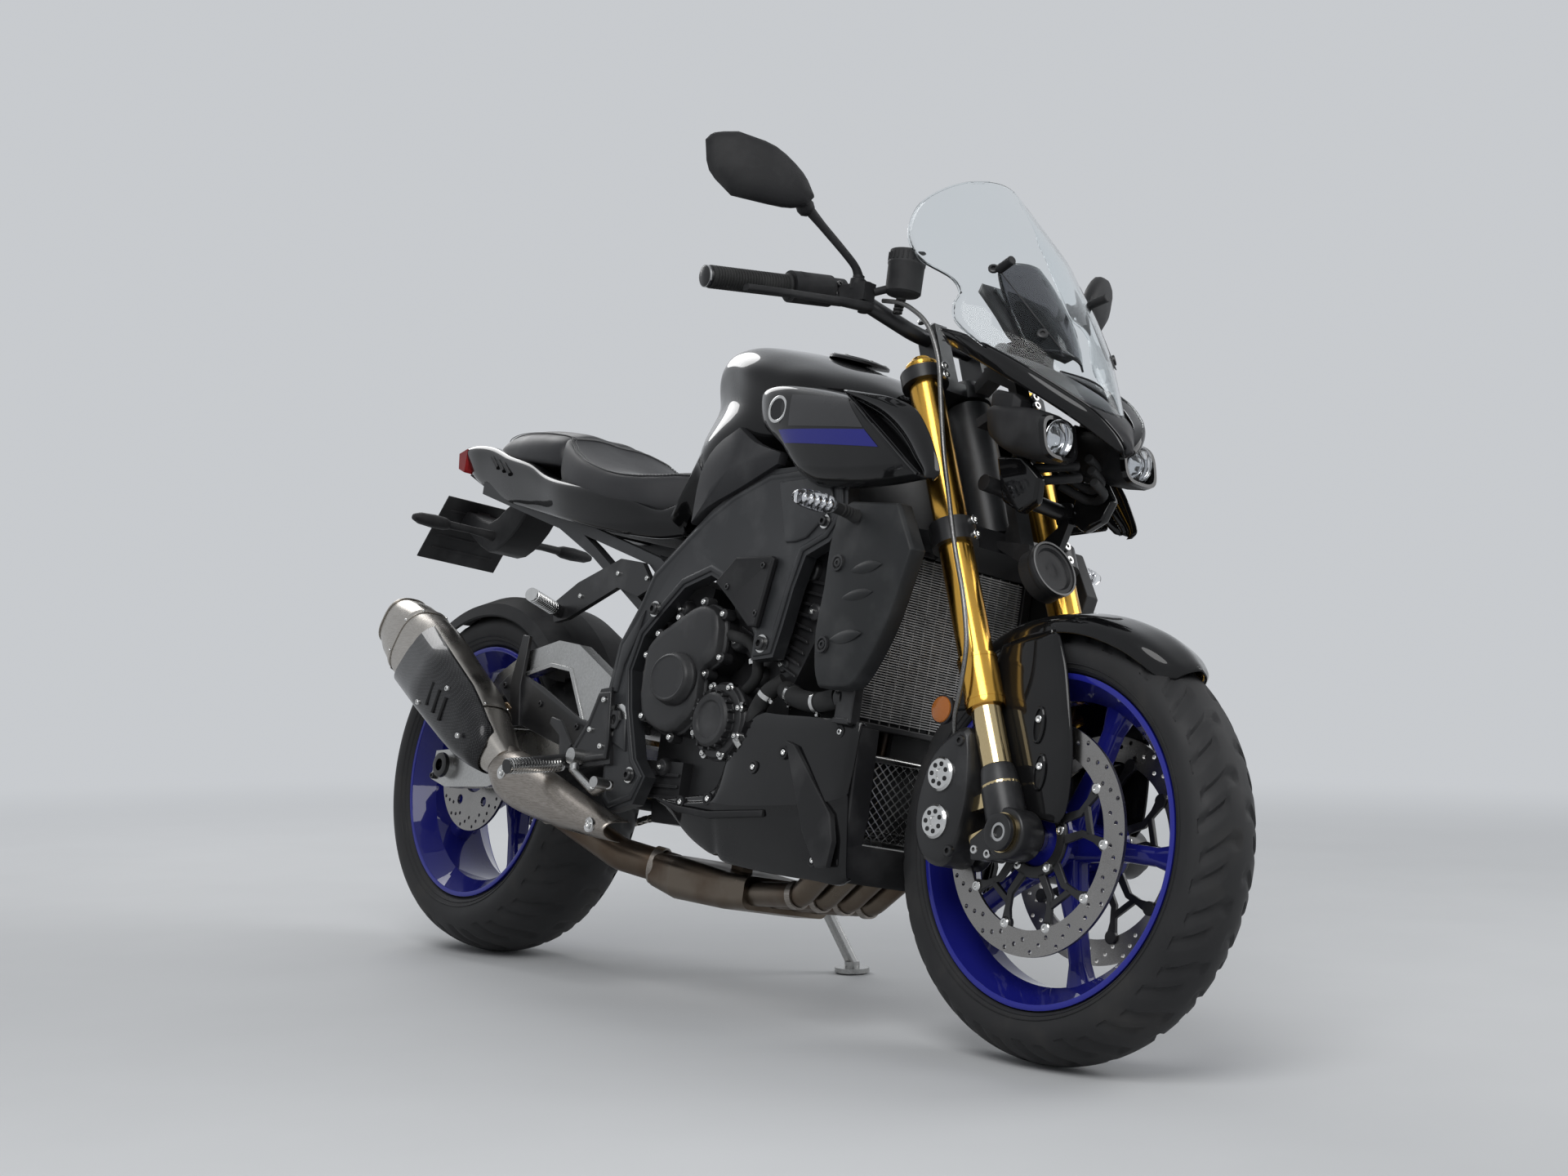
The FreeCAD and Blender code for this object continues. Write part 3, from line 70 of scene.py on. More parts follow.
# ---------------------------------------------------------------- making meshes
class Shape:
    """Vertices in the upright frame, and faces."""

    def __init__(self):
        self.verts = []
        self.faces = []

    def add(self, verts, faces):
        start = len(self.verts)
        self.verts += [Vector(v) for v in verts]
        self.faces += [tuple(i + start for i in face) for face in faces]
        return self

    def join(self, other):
        return self.add(other.verts, other.faces)

    def mirror(self):
        flipped = [Vector((-v.x, v.y, v.z)) for v in self.verts]
        return Shape().add(flipped, [tuple(reversed(face)) for face in self.faces])

    def both(self):
        return Shape().join(self).join(self.mirror())

    def moved(self, matrix):
        return Shape().add([matrix @ v for v in self.verts], self.faces)


def spline(points, steps, closed=False):
    """A smooth line through the points, with the given number of steps from each to the next."""
    points = [Vector(p) for p in points]
    count = len(points)
    made = []
    spans = count if closed else count - 1
    for i in range(spans):
        if closed:
            a, b, c, d = (points[(i + k) % count] for k in (-1, 0, 1, 2))
        else:
            b, c = points[i], points[i + 1]
            a = points[i - 1] if i else b * 2 - c
            d = points[i + 2] if i + 2 < count else c * 2 - b
        for step in range(steps):
            t = step / steps
            made.append(0.5 * (2 * b + (c - a) * t + (2 * a - 5 * b + 4 * c - d) * t * t
                               + (3 * b - a - 3 * c + d) * t ** 3))
    if not closed:
        made.append(points[-1].copy())
    return made


def grid_faces(rows, columns, wrap=False):
    faces = []
    for r in range(rows - 1):
        for c in range(columns if wrap else columns - 1):
            d = (c + 1) % columns
            faces.append((r * columns + c, r * columns + d, (r + 1) * columns + d, (r + 1) * columns + c))
    return faces


def skin(rows, along=6, across=6, wrap=False, caps=False):
    """A smooth surface through a coarse grid of points."""
    rows = [spline(row, across, wrap) for row in rows]
    columns = [spline([row[i] for row in rows], along) for i in range(len(rows[0]))]
    dense = [[column[j] for column in columns] for j in range(len(columns[0]))]
    width = len(columns)
    shape = Shape().add([p for row in dense for p in row], grid_faces(len(dense), width, wrap))
    if caps:
        shape.faces.append(tuple(reversed(range(width))))
        shape.faces.append(tuple((len(dense) - 1) * width + i for i in range(width)))
    return shape


def loft(rings, caps=True):
    """Flat quads between rings of the same number of points."""
    width = len(rings[0])
    shape = Shape().add([p for ring in rings for p in ring], grid_faces(len(rings), width, True))
    if caps:
        shape.faces.append(tuple(reversed(range(width))))
        shape.faces.append(tuple((len(rings) - 1) * width + i for i in range(width)))
    return shape


def prism(outline, x_low, x_high):
    """A side-view outline of (y, z) points, run across the motorcycle."""
    return loft([[Vector((x, y, z)) for y, z in outline] for x in (x_low, x_high)])


def square_axes(direction):
    direction = Vector(direction).normalized()
    other = Vector((1, 0, 0)) if abs(direction.x) < 0.9 else Vector((0, 0, 1))
    side = direction.cross(other).normalized()
    return side, direction.cross(side)


def rod(start, end, radius, sides=20, end_radius=None):
    start, end = Vector(start), Vector(end)
    side, up = square_axes(end - start)
    rings = []
    for centre, size in ((start, radius), (end, radius if end_radius is None else end_radius)):
        rings.append([centre + size * (side * math.cos(a) + up * math.sin(a))
                      for a in (2 * math.pi * i / sides for i in range(sides))])
    return loft(rings)


def lathe(profile, centre, direction, sides=48, closed=False):
    """(along, radius) points turned about a line."""
    centre = Vector(centre)
    heading = Vector(direction).normalized()
    side, up = square_axes(direction)
    rings = []
    for i in range(sides):
        a = 2 * math.pi * i / sides
        out = side * math.cos(a) + up * math.sin(a)
        rings.append([centre + heading * along + out * radius for along, radius in profile])
    width = len(profile)
    faces = []
    for i in range(sides):
        j = (i + 1) % sides
        for c in range(width if closed else width - 1):
            d = (c + 1) % width
            faces.append((i * width + c, i * width + d, j * width + d, j * width + c))
    return Shape().add([p for ring in rings for p in ring], faces)


def tube(points, radius, sides=12, steps=6, radii=None, smooth=True):
    """A round tube along a smooth line through the points."""
    line = spline(points, steps) if smooth else [Vector(p) for p in points]
    count = len(line)
    rings = []
    side = None
    for i, centre in enumerate(line):
        heading = (line[min(i + 1, count - 1)] - line[max(i - 1, 0)]).normalized()
        if side is None:
            side = square_axes(heading)[0]
        side = (side - heading * side.dot(heading)).normalized()
        up = heading.cross(side)
        size = radius
        if radii:
            place = i / (count - 1) * (len(radii) - 1)
            low = min(int(place), len(radii) - 2)
            size = radii[low] + (radii[low + 1] - radii[low]) * (place - low)
        rings.append([centre + size * (side * math.cos(a) + up * math.sin(a))
                      for a in (2 * math.pi * k / sides for k in range(sides))])
    return loft(rings)


def pillow(outline, edge_x, bulge, thick=0, rings=(1.0, 0.975, 0.93, 0.85, 0.7, 0.5, 0.25), lip=3.0):
    """A gently domed panel inside a (y, z) outline, facing +x."""
    middle_y = sum(p[0] for p in outline) / len(outline)
    middle_z = sum(p[1] for p in outline) / len(outline)
    loops = []
    if thick:
        loops.append([Vector((edge_x - thick, y, z)) for y, z in outline])
    for share in rings:
        x = edge_x + bulge * (1 - share ** 2) + (lip if share < 0.99 else 0)
        loops.append([Vector((x, middle_y + (y - middle_y) * share, middle_z + (z - middle_z) * share))
                      for y, z in outline])
    width = len(outline)
    shape = Shape().add([p for loop in loops for p in loop], grid_faces(len(loops), width, True))
    last = len(shape.verts) - width
    shape.verts.append(Vector((edge_x + bulge + lip, middle_y, middle_z)))
    shape.faces += [(last + i, last + (i + 1) % width, len(shape.verts) - 1) for i in range(width)]
    if thick:
        shape.faces.append(tuple(reversed(range(width))))
    return shape


def smooth_outline(points, steps=4, keep=()):
    """A closed outline rounded through its points; the ones whose numbers are kept stay sharp."""
    count = len(points)
    made = []
    for i in range(count):
        a, b, c, d = (Vector(points[(i + k) % count]) for k in (-1, 0, 1, 2))
        if i in keep:
            a = b * 2 - c
        if (i + 1) % count in keep:
            d = c * 2 - b
        for step in range(steps):
            t = step / steps
            p = 0.5 * (2 * b + (c - a) * t + (2 * a - 5 * b + 4 * c - d) * t * t
                       + (3 * b - a - 3 * c + d) * t ** 3)
            made.append((p.x, p.y))
    return made


def bolt(place, direction, radius=6.0, height=4.0):
    """A socket-head bolt: a round head with a six-sided recess."""
    place, direction = Vector(place), Vector(direction).normalized()
    side, up = square_axes(direction)
    sides = 12
    rings = []
    for size, rise in ((radius, 0), (radius, height * 0.8), (radius * 0.86, height), (radius * 0.55, height)):
        rings.append([place + direction * rise + size * (side * math.cos(a) + up * math.sin(a))
                      for a in (2 * math.pi * k / sides for k in range(sides))])
    hexed = []
    for k in range(sides):
        a = 2 * math.pi * k / sides
        size = radius * 0.52 * (1.0 if k % 2 == 0 else 0.866)
        hexed.append((size, a))
    for rise in (height, height * 0.35):
        rings.append([place + direction * rise + s * (side * math.cos(a) + up * math.sin(a))
                      for s, a in hexed])
    return loft(rings)


def piece(name, shape, material, body="chassis", stands_for=(), bevel=0.0, levels=0,
          thick=0.0, smooth=True, segments=2):
    """Makes a shape an object that rides on a CAD body."""
    mesh = bpy.data.meshes.new(name)
    mesh.from_pydata([UPRIGHT @ v for v in shape.verts], [], shape.faces)
    build = bmesh.new()
    build.from_mesh(mesh)
    bmesh.ops.remove_doubles(build, verts=build.verts, dist=1e-6)
    bmesh.ops.recalc_face_normals(build, faces=build.faces)
    build.to_mesh(mesh)
    build.free()
    mesh.materials.append(material)
    made = bpy.data.objects.new(name, mesh)
    bpy.context.scene.collection.objects.link(made)
    finish_mesh(made, bevel, levels, thick, smooth, segments)
    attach(made, body)
    if stands_for:
        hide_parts(*stands_for)
    return made


def finish_mesh(made, bevel=0.0, levels=0, thick=0.0, smooth=True, segments=2):
    if thick:
        solid = made.modifiers.new("Thickness", "SOLIDIFY")
        solid.thickness = thick / 1000
        solid.offset = -1
    if bevel:
        edge = made.modifiers.new("Edges", "BEVEL")
        edge.width = bevel / 1000
        edge.segments = segments
        edge.limit_method = "ANGLE"
        edge.angle_limit = math.radians(32)
        edge.harden_normals = False
    if levels:
        soft = made.modifiers.new("Smooth", "SUBSURF")
        soft.levels = soft.render_levels = levels
    if smooth:
        made.data.polygons.foreach_set("use_smooth", [True] * len(made.data.polygons))
        made.data.set_sharp_from_angle(angle=math.radians(38))


def along_line(line, spacing):
    """Evenly spaced (point, heading) pairs on a line of points."""
    placed = []
    reach = 0.0
    for a, b in zip(line, line[1:]):
        run = (b - a).length
        while reach <= run:
            placed.append((a + (b - a) * (reach / run), (b - a).normalized()))
            reach += spacing
        reach -= run
    return placed


# ---------------------------------------------------------------- materials
class Paint:
    """Builds one procedural material, in object coordinates."""

    def __init__(self, name, colour, rough, metal=0.0, **sockets):
        self.material = bpy.data.materials.new(name)
        self.material.use_nodes = True
        self.tree = self.material.node_tree
        self.shader = self.tree.nodes["Principled BSDF"]
        self.set("Base Color", (*colour, 1))
        self.set("Roughness", rough)
        self.set("Metallic", metal)
        for socket, value in sockets.items():
            self.set(socket.replace("_", " "), value)
        self.colour = colour
        self.rough = rough
        self.place = self.node("ShaderNodeTexCoord").outputs["Object"]
        self.last_normal = None

    def set(self, socket, value):
        self.shader.inputs[socket].default_value = value

    def node(self, kind, **values):
        made = self.tree.nodes.new(kind)
        for name, value in values.items():
            if hasattr(made, name):
                setattr(made, name, value)
            else:
                made.inputs[name.replace("_", " ")].default_value = value
        return made

    def link(self, source, target):
        self.tree.links.new(source, target)

    def stretched(self, scale, turn=(0, 0, 0)):
        mapping = self.node("ShaderNodeMapping")
        mapping.inputs["Scale"].default_value = scale
        mapping.inputs["Rotation"].default_value = turn
        self.link(self.place, mapping.inputs["Vector"])
        return mapping.outputs["Vector"]

    def noise(self, scale, detail=3.0, where=None, rough=0.5):
        made = self.node("ShaderNodeTexNoise", Scale=scale, Detail=detail, Roughness=rough)
        self.link(where or self.place, made.inputs["Vector"])
        return made.outputs["Fac"]

    def cells(self, scale, feature="F1", where=None):
        made = self.node("ShaderNodeTexVoronoi", feature=feature, Scale=scale)
        self.link(where or self.place, made.inputs["Vector"])
        return made.outputs["Distance"]

    def between(self, factor, low, high, from_low=0.3, from_high=0.7):
        made = self.node("ShaderNodeMapRange")
        for socket, value in (("From Min", from_low), ("From Max", from_high), ("To Min", low),
                              ("To Max", high)):
            made.inputs[socket].default_value = value
        self.link(factor, made.inputs["Value"])
        return made.outputs["Result"]

    def tint(self, factor, *stops):
        """Colours the surface by a factor, through (place, colour) stops."""
        ramp = self.node("ShaderNodeValToRGB")
        elements = ramp.color_ramp.elements
        while len(elements) < len(stops):
            elements.new(0.5)
        for element, (place, colour) in zip(elements, stops):
            element.position = place
            element.color = (*colour, 1)
        self.link(factor, ramp.inputs["Fac"])
        self.link(ramp.outputs["Color"], self.shader.inputs["Base Color"])
        return ramp.outputs["Color"]

    def roughen(self, factor, low, high):
        self.link(self.between(factor, low, high), self.shader.inputs["Roughness"])

    def bump(self, height, strength, distance=0.001):
        made = self.node("ShaderNodeBump", Strength=strength, Distance=distance)
        self.link(height, made.inputs["Height"])
        if self.last_normal:
            self.link(self.last_normal, made.inputs["Normal"])
        self.last_normal = made.outputs["Normal"]
        self.link(self.last_normal, self.shader.inputs["Normal"])


def mixed(colour, share, other):
    return tuple(a + (b - a) * share for a, b in zip(colour, other))


def gloss(name, colour, rough=0.22, fleck=0.0):
    p = Paint(name, colour, rough, Coat_Weight=1.0, Coat_Roughness=0.02, Coat_IOR=1.36, Specular_IOR_Level=0.04)
    haze = p.noise(7, 4)
    p.tint(haze, (0.3, colour), (0.7, mixed(colour, 0.006, (1, 1, 1))))
    p.roughen(haze, rough * 0.8, rough * 1.3)
    p.bump(p.noise(260, 2), 0.025, 0.0004)
    if fleck:
        p.bump(p.cells(2600), fleck, 0.0002)
    return p.material


def moulded(name, colour, rough=0.55, grain=0.25, scale=1400):
    p = Paint(name, colour, rough, Specular_IOR_Level=0.32)
    wear = p.noise(9, 5)
    p.tint(wear, (0.3, mixed(colour, 0.25, (0, 0, 0))), (0.5, colour), (0.72, mixed(colour, 0.035, (1, 1, 1))))
    p.roughen(wear, rough * 0.85, rough * 1.15)
    p.bump(p.cells(scale), grain, 0.0004)
    p.bump(p.noise(60, 3), 0.05, 0.001)
    return p.material


def coated(name, colour, rough=0.38, grain=0.12):
    """A sprayed or powder coat on metal."""
    p = Paint(name, colour, rough, Specular_IOR_Level=0.38, Coat_Weight=0.12, Coat_Roughness=0.3)
    wear = p.noise(14, 5)
    p.tint(wear, (0.3, mixed(colour, 0.2, (0, 0, 0))), (0.55, colour), (0.75, mixed(colour, 0.03, (1, 1, 1))))
    p.roughen(wear, rough * 0.85, rough * 1.2)
    p.bump(p.noise(900, 2), grain, 0.0004)
    return p.material


def metal(name, colour, rough=0.25, brush=(1, 1, 60), grain=0.08, shade=0.25, scale=40, turn=(0, 0, 0)):
    """Machined or brushed metal, with the brush marks stretched along one way."""
    p = Paint(name, colour, rough, 1.0)
    lines = p.noise(scale, 4, p.stretched(brush, turn))
    p.tint(lines, (0.25, mixed(colour, shade, (0, 0, 0))), (0.75, mixed(colour, shade * 0.4, (1, 1, 1))))
    p.roughen(p.noise(18, 4), rough * 0.7, rough * 1.4)
    p.bump(lines, grain, 0.0003)
    return p.material


def tyre_rubber():
    p = Paint("tyre_rubber", (0.02, 0.02, 0.021), 0.62, Specular_IOR_Level=0.35)
    dust = p.noise(12, 6)
    p.tint(dust, (0.3, (0.013, 0.013, 0.014)), (0.55, (0.022, 0.022, 0.023)), (0.8, (0.045, 0.043, 0.041)))
    p.roughen(dust, 0.5, 0.8)
    p.bump(p.noise(420, 3), 0.12, 0.0005)
    return p.material


def leather():
    p = Paint("seat_vinyl", (0.021, 0.021, 0.023), 0.5, Specular_IOR_Level=0.42)
    grain = p.cells(620, "DISTANCE_TO_EDGE")
    soft = p.noise(10, 4)
    p.tint(soft, (0.3, (0.017, 0.017, 0.019)), (0.7, (0.030, 0.030, 0.032)))
    p.roughen(soft, 0.42, 0.6)
    p.bump(grain, 0.35, 0.0005)
    p.bump(p.noise(90, 3), 0.12, 0.001)
    return p.material


def glassy(name, colour, rough=0.0, ior=1.45, weight=1.0, ripple=0.01):
    p = Paint(name, colour, rough, IOR=ior, Transmission_Weight=weight)
    cloud = p.noise(5, 3)
    p.tint(cloud, (0.3, colour), (0.7, mixed(colour, 0.06, (0.6, 0.65, 0.7))))
    p.bump(p.noise(30, 2), ripple, 0.0005)
    return p.material


def carbon():
    """Twill weave: two crossing sets of bands, each shifted from row to row."""
    p = Paint("carbon_weave", (0.01, 0.01, 0.011), 0.4, Specular_IOR_Level=0.2, Coat_Weight=0.6, Coat_Roughness=0.06,
              Coat_IOR=1.36)
    weave = p.node("ShaderNodeTexWave", wave_type="BANDS", bands_direction="DIAGONAL", Scale=120.0, Distortion=0.0)
    cross = p.node("ShaderNodeTexChecker", Scale=420.0)
    turned = p.stretched((1, 1, 1), (0.9, 0.3, 0.2))
    p.link(turned, weave.inputs["Vector"])
    p.link(turned, cross.inputs["Vector"])
    mix = p.node("ShaderNodeMath", operation="MULTIPLY")
    p.link(weave.outputs["Fac"], mix.inputs[0])
    p.link(cross.outputs["Fac"], mix.inputs[1])
    p.tint(mix.outputs[0], (0.0, (0.003, 0.003, 0.0035)), (1.0, (0.045, 0.045, 0.048)))
    p.bump(mix.outputs[0], 0.2, 0.0003)
    return p.material


def heat_tinted(name, base, hot_z, cool_z):
    """Steel pipe, bronze and blue where it has been hot."""
    p = Paint(name, base, 0.3, 1.0)
    split = p.node("ShaderNodeSeparateXYZ")
    p.link(p.place, split.inputs["Vector"])
    height = p.between(split.outputs["Z"], 0, 1, cool_z, hot_z)
    patch = p.noise(9, 5)
    mix = p.node("ShaderNodeMath", operation="ADD")
    p.link(height, mix.inputs[0])
    p.link(p.between(patch, -0.3, 0.3), mix.inputs[1])
    p.tint(mix.outputs[0], (0.0, (0.15, 0.125, 0.10)), (0.3, (0.11, 0.08, 0.058)), (0.5, (0.062, 0.046, 0.036)),
           (0.7, (0.042, 0.037, 0.036)), (1.0, (0.024, 0.023, 0.023)))
    p.roughen(patch, 0.26, 0.5)
    p.bump(p.noise(140, 4), 0.08, 0.0005)
    return p.material


GLOSS = gloss("gloss_black", (0.0035, 0.0035, 0.004), 0.3)
GLOSS_PANEL = gloss("gloss_panel", (0.004, 0.004, 0.0045), 0.3)
STRIPE = gloss("blue_stripe", (0.010, 0.012, 0.19), 0.25, 0.05)
BAND = gloss("grey_band", (0.035, 0.035, 0.037), 0.3)
WHEEL = gloss("wheel_blue", (0.009, 0.011, 0.17), 0.3, 0.06)
# A lighter copy of the wheel blue for the rim lips: painted highlight along the flanges.
RIM_LIP_HIGHLIGHT = gloss("rim_lip_painted_highlight", (0.016, 0.020, 0.28), 0.28, 0.05)
SATIN = moulded("satin_plastic", (0.018, 0.018, 0.020), 0.4, 0.10, 1800)
MATTE = moulded("matte_plastic", (0.011, 0.011, 0.012), 0.6, 0.3)
COVER = moulded("radiator_cover_plastic", (0.016, 0.017, 0.018), 0.52, 0.18, 1600)
FRAME = coated("frame_coat", (0.022, 0.023, 0.025), 0.42, 0.10)
ENGINE = coated("engine_coat", (0.017, 0.017, 0.018), 0.45, 0.3)
BLACK_METAL = coated("black_metal", (0.014, 0.014, 0.015), 0.34, 0.06)
GOLD = metal("gold_anodised", (0.72, 0.40, 0.055), 0.2, (40, 40, 1), 0.03, 0.12, 30)
SLIDER = metal("slider_gold", (0.66, 0.52, 0.28), 0.13, (30, 30, 1), 0.02, 0.1, 30)
STEEL = metal("steel", (0.50, 0.50, 0.50), 0.28, (1, 30, 30), 0.06, 0.2, 30)
DISC = metal("ground_disc", (0.29, 0.28, 0.27), 0.32, (1, 26, 26), 0.14, 0.25, 45)
ALLOY = metal("satin_alloy", (0.47, 0.47, 0.46), 0.28, (2, 2, 2), 0.12, 0.15, 120)
BRIGHT = metal("bright_screws", (0.68, 0.68, 0.67), 0.2, (1, 1, 1), 0.04, 0.15, 60)
TITANIUM = metal("brushed_titanium", (0.47, 0.44, 0.40), 0.27, (60, 2, 60), 0.10, 0.22, 18)
SHIELD = metal("titanium_shield", (0.30, 0.265, 0.23), 0.33, (50, 2, 50), 0.08, 0.3, 16)
CHAIN = metal("chain_steel", (0.28, 0.26, 0.22), 0.4, (1, 1, 1), 0.1, 0.4, 90)
FIN = metal("radiator_fins", (0.52, 0.51, 0.50), 0.5, (1, 1, 1), 0.1, 0.3, 90)
BRONZE = metal("bronze_bracket", (0.34, 0.235, 0.13), 0.4, (1, 1, 1), 0.06, 0.2, 60)
CARBON = carbon()
HEADER = heat_tinted("header_steel", (0.2, 0.15, 0.1), 0.62, 0.12)
TYRE = tyre_rubber()
RUBBER = moulded("rubber", (0.014, 0.014, 0.014), 0.7, 0.35, 900)
GRIP = moulded("grip_rubber", (0.016, 0.016, 0.016), 0.66, 0.6, 500)
LEATHER = leather()
THREAD = moulded("grey_thread", (0.20, 0.20, 0.20), 0.7, 0.5, 3000)
CLEAR = glassy("clear_acrylic", (0.93, 0.96, 0.97), 0.0, 1.18)
SMOKE = glassy("smoked_acrylic", (0.10, 0.10, 0.11), 0.05, 1.3)
LENS = glassy("lamp_glass", (0.96, 0.97, 0.98), 0.0, 1.3)
AMBER = glassy("amber_reflector", (0.75, 0.22, 0.02), 0.15, 1.45, 0.5, 0.3)
RED = glassy("red_lens", (0.45, 0.01, 0.01), 0.1, 1.4, 0.5, 0.1)
REFLECTOR = metal("lamp_reflector", (0.75, 0.75, 0.76), 0.08, (1, 1, 1), 0.02, 0.05, 40)
HOSE = metal("braided_hose", (0.13, 0.127, 0.12), 0.4, (1, 1, 1), 0.3, 0.5, 700)
GLASS_MIRROR = metal("mirror_glass", (0.7, 0.7, 0.72), 0.03, (1, 1, 1), 0.0, 0.03, 10)
# Near-black material for slots, holes, outlets and cores: painted shade standing in for the shadow inside openings.
RECESS_SHADE = moulded("painted_recess_shade", (0.006, 0.006, 0.0065), 0.5, 0.1)
SCREEN = gloss("display_glass", (0.01, 0.011, 0.012), 0.1)

NODE_LOOKS = {
    "main_frame": (FRAME, 3.0), "engine_block": (ENGINE, 3.0), "right_engine_cover": (ENGINE, 3.0),
    "left_engine_cover": (ENGINE, 3.0), "front_wheel": (WHEEL, 1.5), "rear_wheel": (WHEEL, 1.5),
    "front_tyre": (TYRE, 0), "rear_tyre": (TYRE, 0), "front_disc_carriers": (BLACK_METAL, 0.6),
    "front_brake_discs": (DISC, 0), "rear_brake_disc": (DISC, 0), "rear_sprocket": (STEEL, 0.5),
    "fork_outer_tubes": (GOLD, 1.2), "fork_sliders": (SLIDER, 0), "front_axle": (STEEL, 1.0),
    "front_calipers": (BLACK_METAL, 2.5), "front_fender": (GLOSS, 0.8), "lower_clamp": (BLACK_METAL, 2.5),
    "upper_clamp": (BLACK_METAL, 2.5), "handlebar": (BLACK_METAL, 0), "grips": (GRIP, 1.0),
    "left_hand_controls": (MATTE, 1.5), "right_hand_controls": (MATTE, 1.5), "mirrors": (MATTE, 1.0),
    "headlight_stay": (MATTE, 1.5), "headlights": (MATTE, 2.0), "nose_cowl": (GLOSS, 1.0),
    "windscreen": (CLEAR, 0), "instrument_panel": (MATTE, 1.5), "steering_damper": (BLACK_METAL, 1.0),
    "brake_hose": (HOSE, 0), "drive_chain": (CHAIN, 0), "swingarm": (ALLOY, 3.0), "rear_axle": (STEEL, 1.0),
    "rear_caliper": (BLACK_METAL, 2.0), "rear_hugger": (MATTE, 0.5), "shock_absorber": (GOLD, 1.0),
    # The oil cooler core takes the recess material: its own black, and painted shade behind the grille.
    "subframe": (FRAME, 2.0), "radiator": (FIN, 0.5), "oil_cooler": (RECESS_SHADE, 0.5),
    "radiator_covers": (COVER, 3.0), "front_indicators": (LENS, 0), "exhaust_pipes": (HEADER, 0),
    "exhaust_heat_shield": (SHIELD, 1.0), "muffler": (TITANIUM, 1.0), "belly_pan": (GLOSS, 2.0),
    "fuel_tank": (GLOSS, 0), "tank_panels": (GLOSS_PANEL, 2.0), "frame_covers": (SATIN, 2.5),
    "rider_seat": (LEATHER, 0), "passenger_seat": (LEATHER, 0), "tail_cowl": (GLOSS, 1.5),
    "tail_light": (RED, 0), "plate_holder": (MATTE, 1.5), "footrest_hangers": (BLACK_METAL, 1.5),
    "pillion_hangers": (BLACK_METAL, 1.5), "brake_pedal": (ALLOY, 0.5), "gear_lever": (ALLOY, 0.5),
    "side_stand": (ALLOY, 0.8),
}


def dress_nodes():
    for name, (look, bevel) in NODE_LOOKS.items():
        node = NODES[name]
        node.data.materials.clear()
        node.data.materials.append(look)
        finish_mesh(node, bevel, segments=3)


# ---------------------------------------------------------------- tank and panels
def make_tank():
    """Half sections from the top of the ridge down the side, front to rear."""
    halves = (
        (-302, ((0, 958), (36, 957), (66, 948), (82, 922), (86, 890), (76, 865), (40, 852))),
        (-240, ((0, 990), (44, 987), (96, 972), (126, 945), (130, 905), (118, 862), (60, 832))),
        (-180, ((0, 1010), (48, 1007), (112, 992), (156, 964), (150, 915), (138, 866), (70, 822))),
        (-120, ((0, 1031), (50, 1027), (120, 1010), (168, 976), (160, 925), (150, 870), (75, 812))),
        (-60, ((0, 1047), (50, 1043), (124, 1026), (172, 990), (164, 940), (166, 872), (80, 800))),
        (0, ((0, 1058), (48, 1055), (116, 1040), (156, 1006), (150, 945), (170, 862), (85, 790))),
        (50, ((0, 1060), (44, 1057), (104, 1042), (138, 1008), (130, 942), (160, 850), (88, 784))),
        (83, ((0, 1054), (38, 1051), (88, 1032), (119, 992), (113, 942), (138, 862), (90, 780))),
        (107, ((0, 1032), (34, 1027), (68, 1000), (88, 955), (96, 912), (126, 852), (92, 778))),
        (131, ((0, 990), (30, 983), (58, 948), (74, 912), (88, 872), (124, 820), (94, 776))),
        (152, ((0, 940), (28, 932), (50, 900), (66, 870), (86, 836), (122, 790), (92, 770))),
        (178, ((0, 884), (26, 879), (46, 862), (62, 840), (82, 812), (112, 770), (80, 750))),
    )
    rows = []
    for y, half in halves:
        left = [Vector((x, y, z)) for x, z in half]
        rows.append([Vector((-p.x, p.y, p.z)) for p in reversed(left)] + left[1:])
    shell = skin(rows, 6, 6)
    for end in (0, len(shell.verts) // (12 * 6 + 1) - 1):
        width = 12 * 6 + 1
        ring = [end * width + i for i in range(width)]
        shell.faces.append(tuple(ring if end else reversed(ring)))
    piece("tank_shell", shell, GLOSS, stands_for=("fuel_tank",))

    cap = lathe([(0, 0), (0, 50), (4, 50), (6, 47), (6, 36), (8, 34), (8, 0)], (0, -120, 1032), (0, -0.2, 1), 40)
    piece("filler_cap", cap, BLACK_METAL)
    screws = Shape()
    for i in range(6):
        a = math.pi / 3 * i + 0.3
        screws.join(bolt((41 * math.cos(a), -120 + 41 * math.sin(a) * 0.98, 1038.5 + 8.2 * math.sin(a) * 1.0),
                         (0, -0.2, 1), 4, 2))
    piece("filler_cap_screws", screws, BRIGHT)


PANEL_STATIONS = (  # (y, z) at the top and bottom edges, how far out the panel stands, how much it curls in
    ((-97, 932), (-106, 904), 160, 6), ((-116, 941), (-128, 884), 186, 12), ((-148, 946), (-166, 864), 204, 20),
    ((-190, 946), (-206, 838), 212, 28), ((-240, 940), (-262, 790), 216, 34), ((-290, 930), (-345, 777), 217, 36),
    ((-322, 922), (-440, 776), 216, 34), ((-352, 914), (-528, 782), 213, 30))
PANEL_PROFILE = ((0.0, -1.25), (0.05, -0.45), (0.14, -0.1), (0.32, 0.02), (0.6, 0.0), (0.82, -0.16),
                 (0.94, -0.5), (1.0, -1.0))


def panel_rows(lift=0.0):
    rows = []
    for top, bottom, out, curl in PANEL_STATIONS:
        row = []
        for share, tuck in PANEL_PROFILE:
            y = top[0] + (bottom[0] - top[0]) * share
            z = top[1] + (bottom[1] - top[1]) * share
            row.append(Vector((out + curl * tuck + lift, y, z)))
        rows.append(row)
    return rows


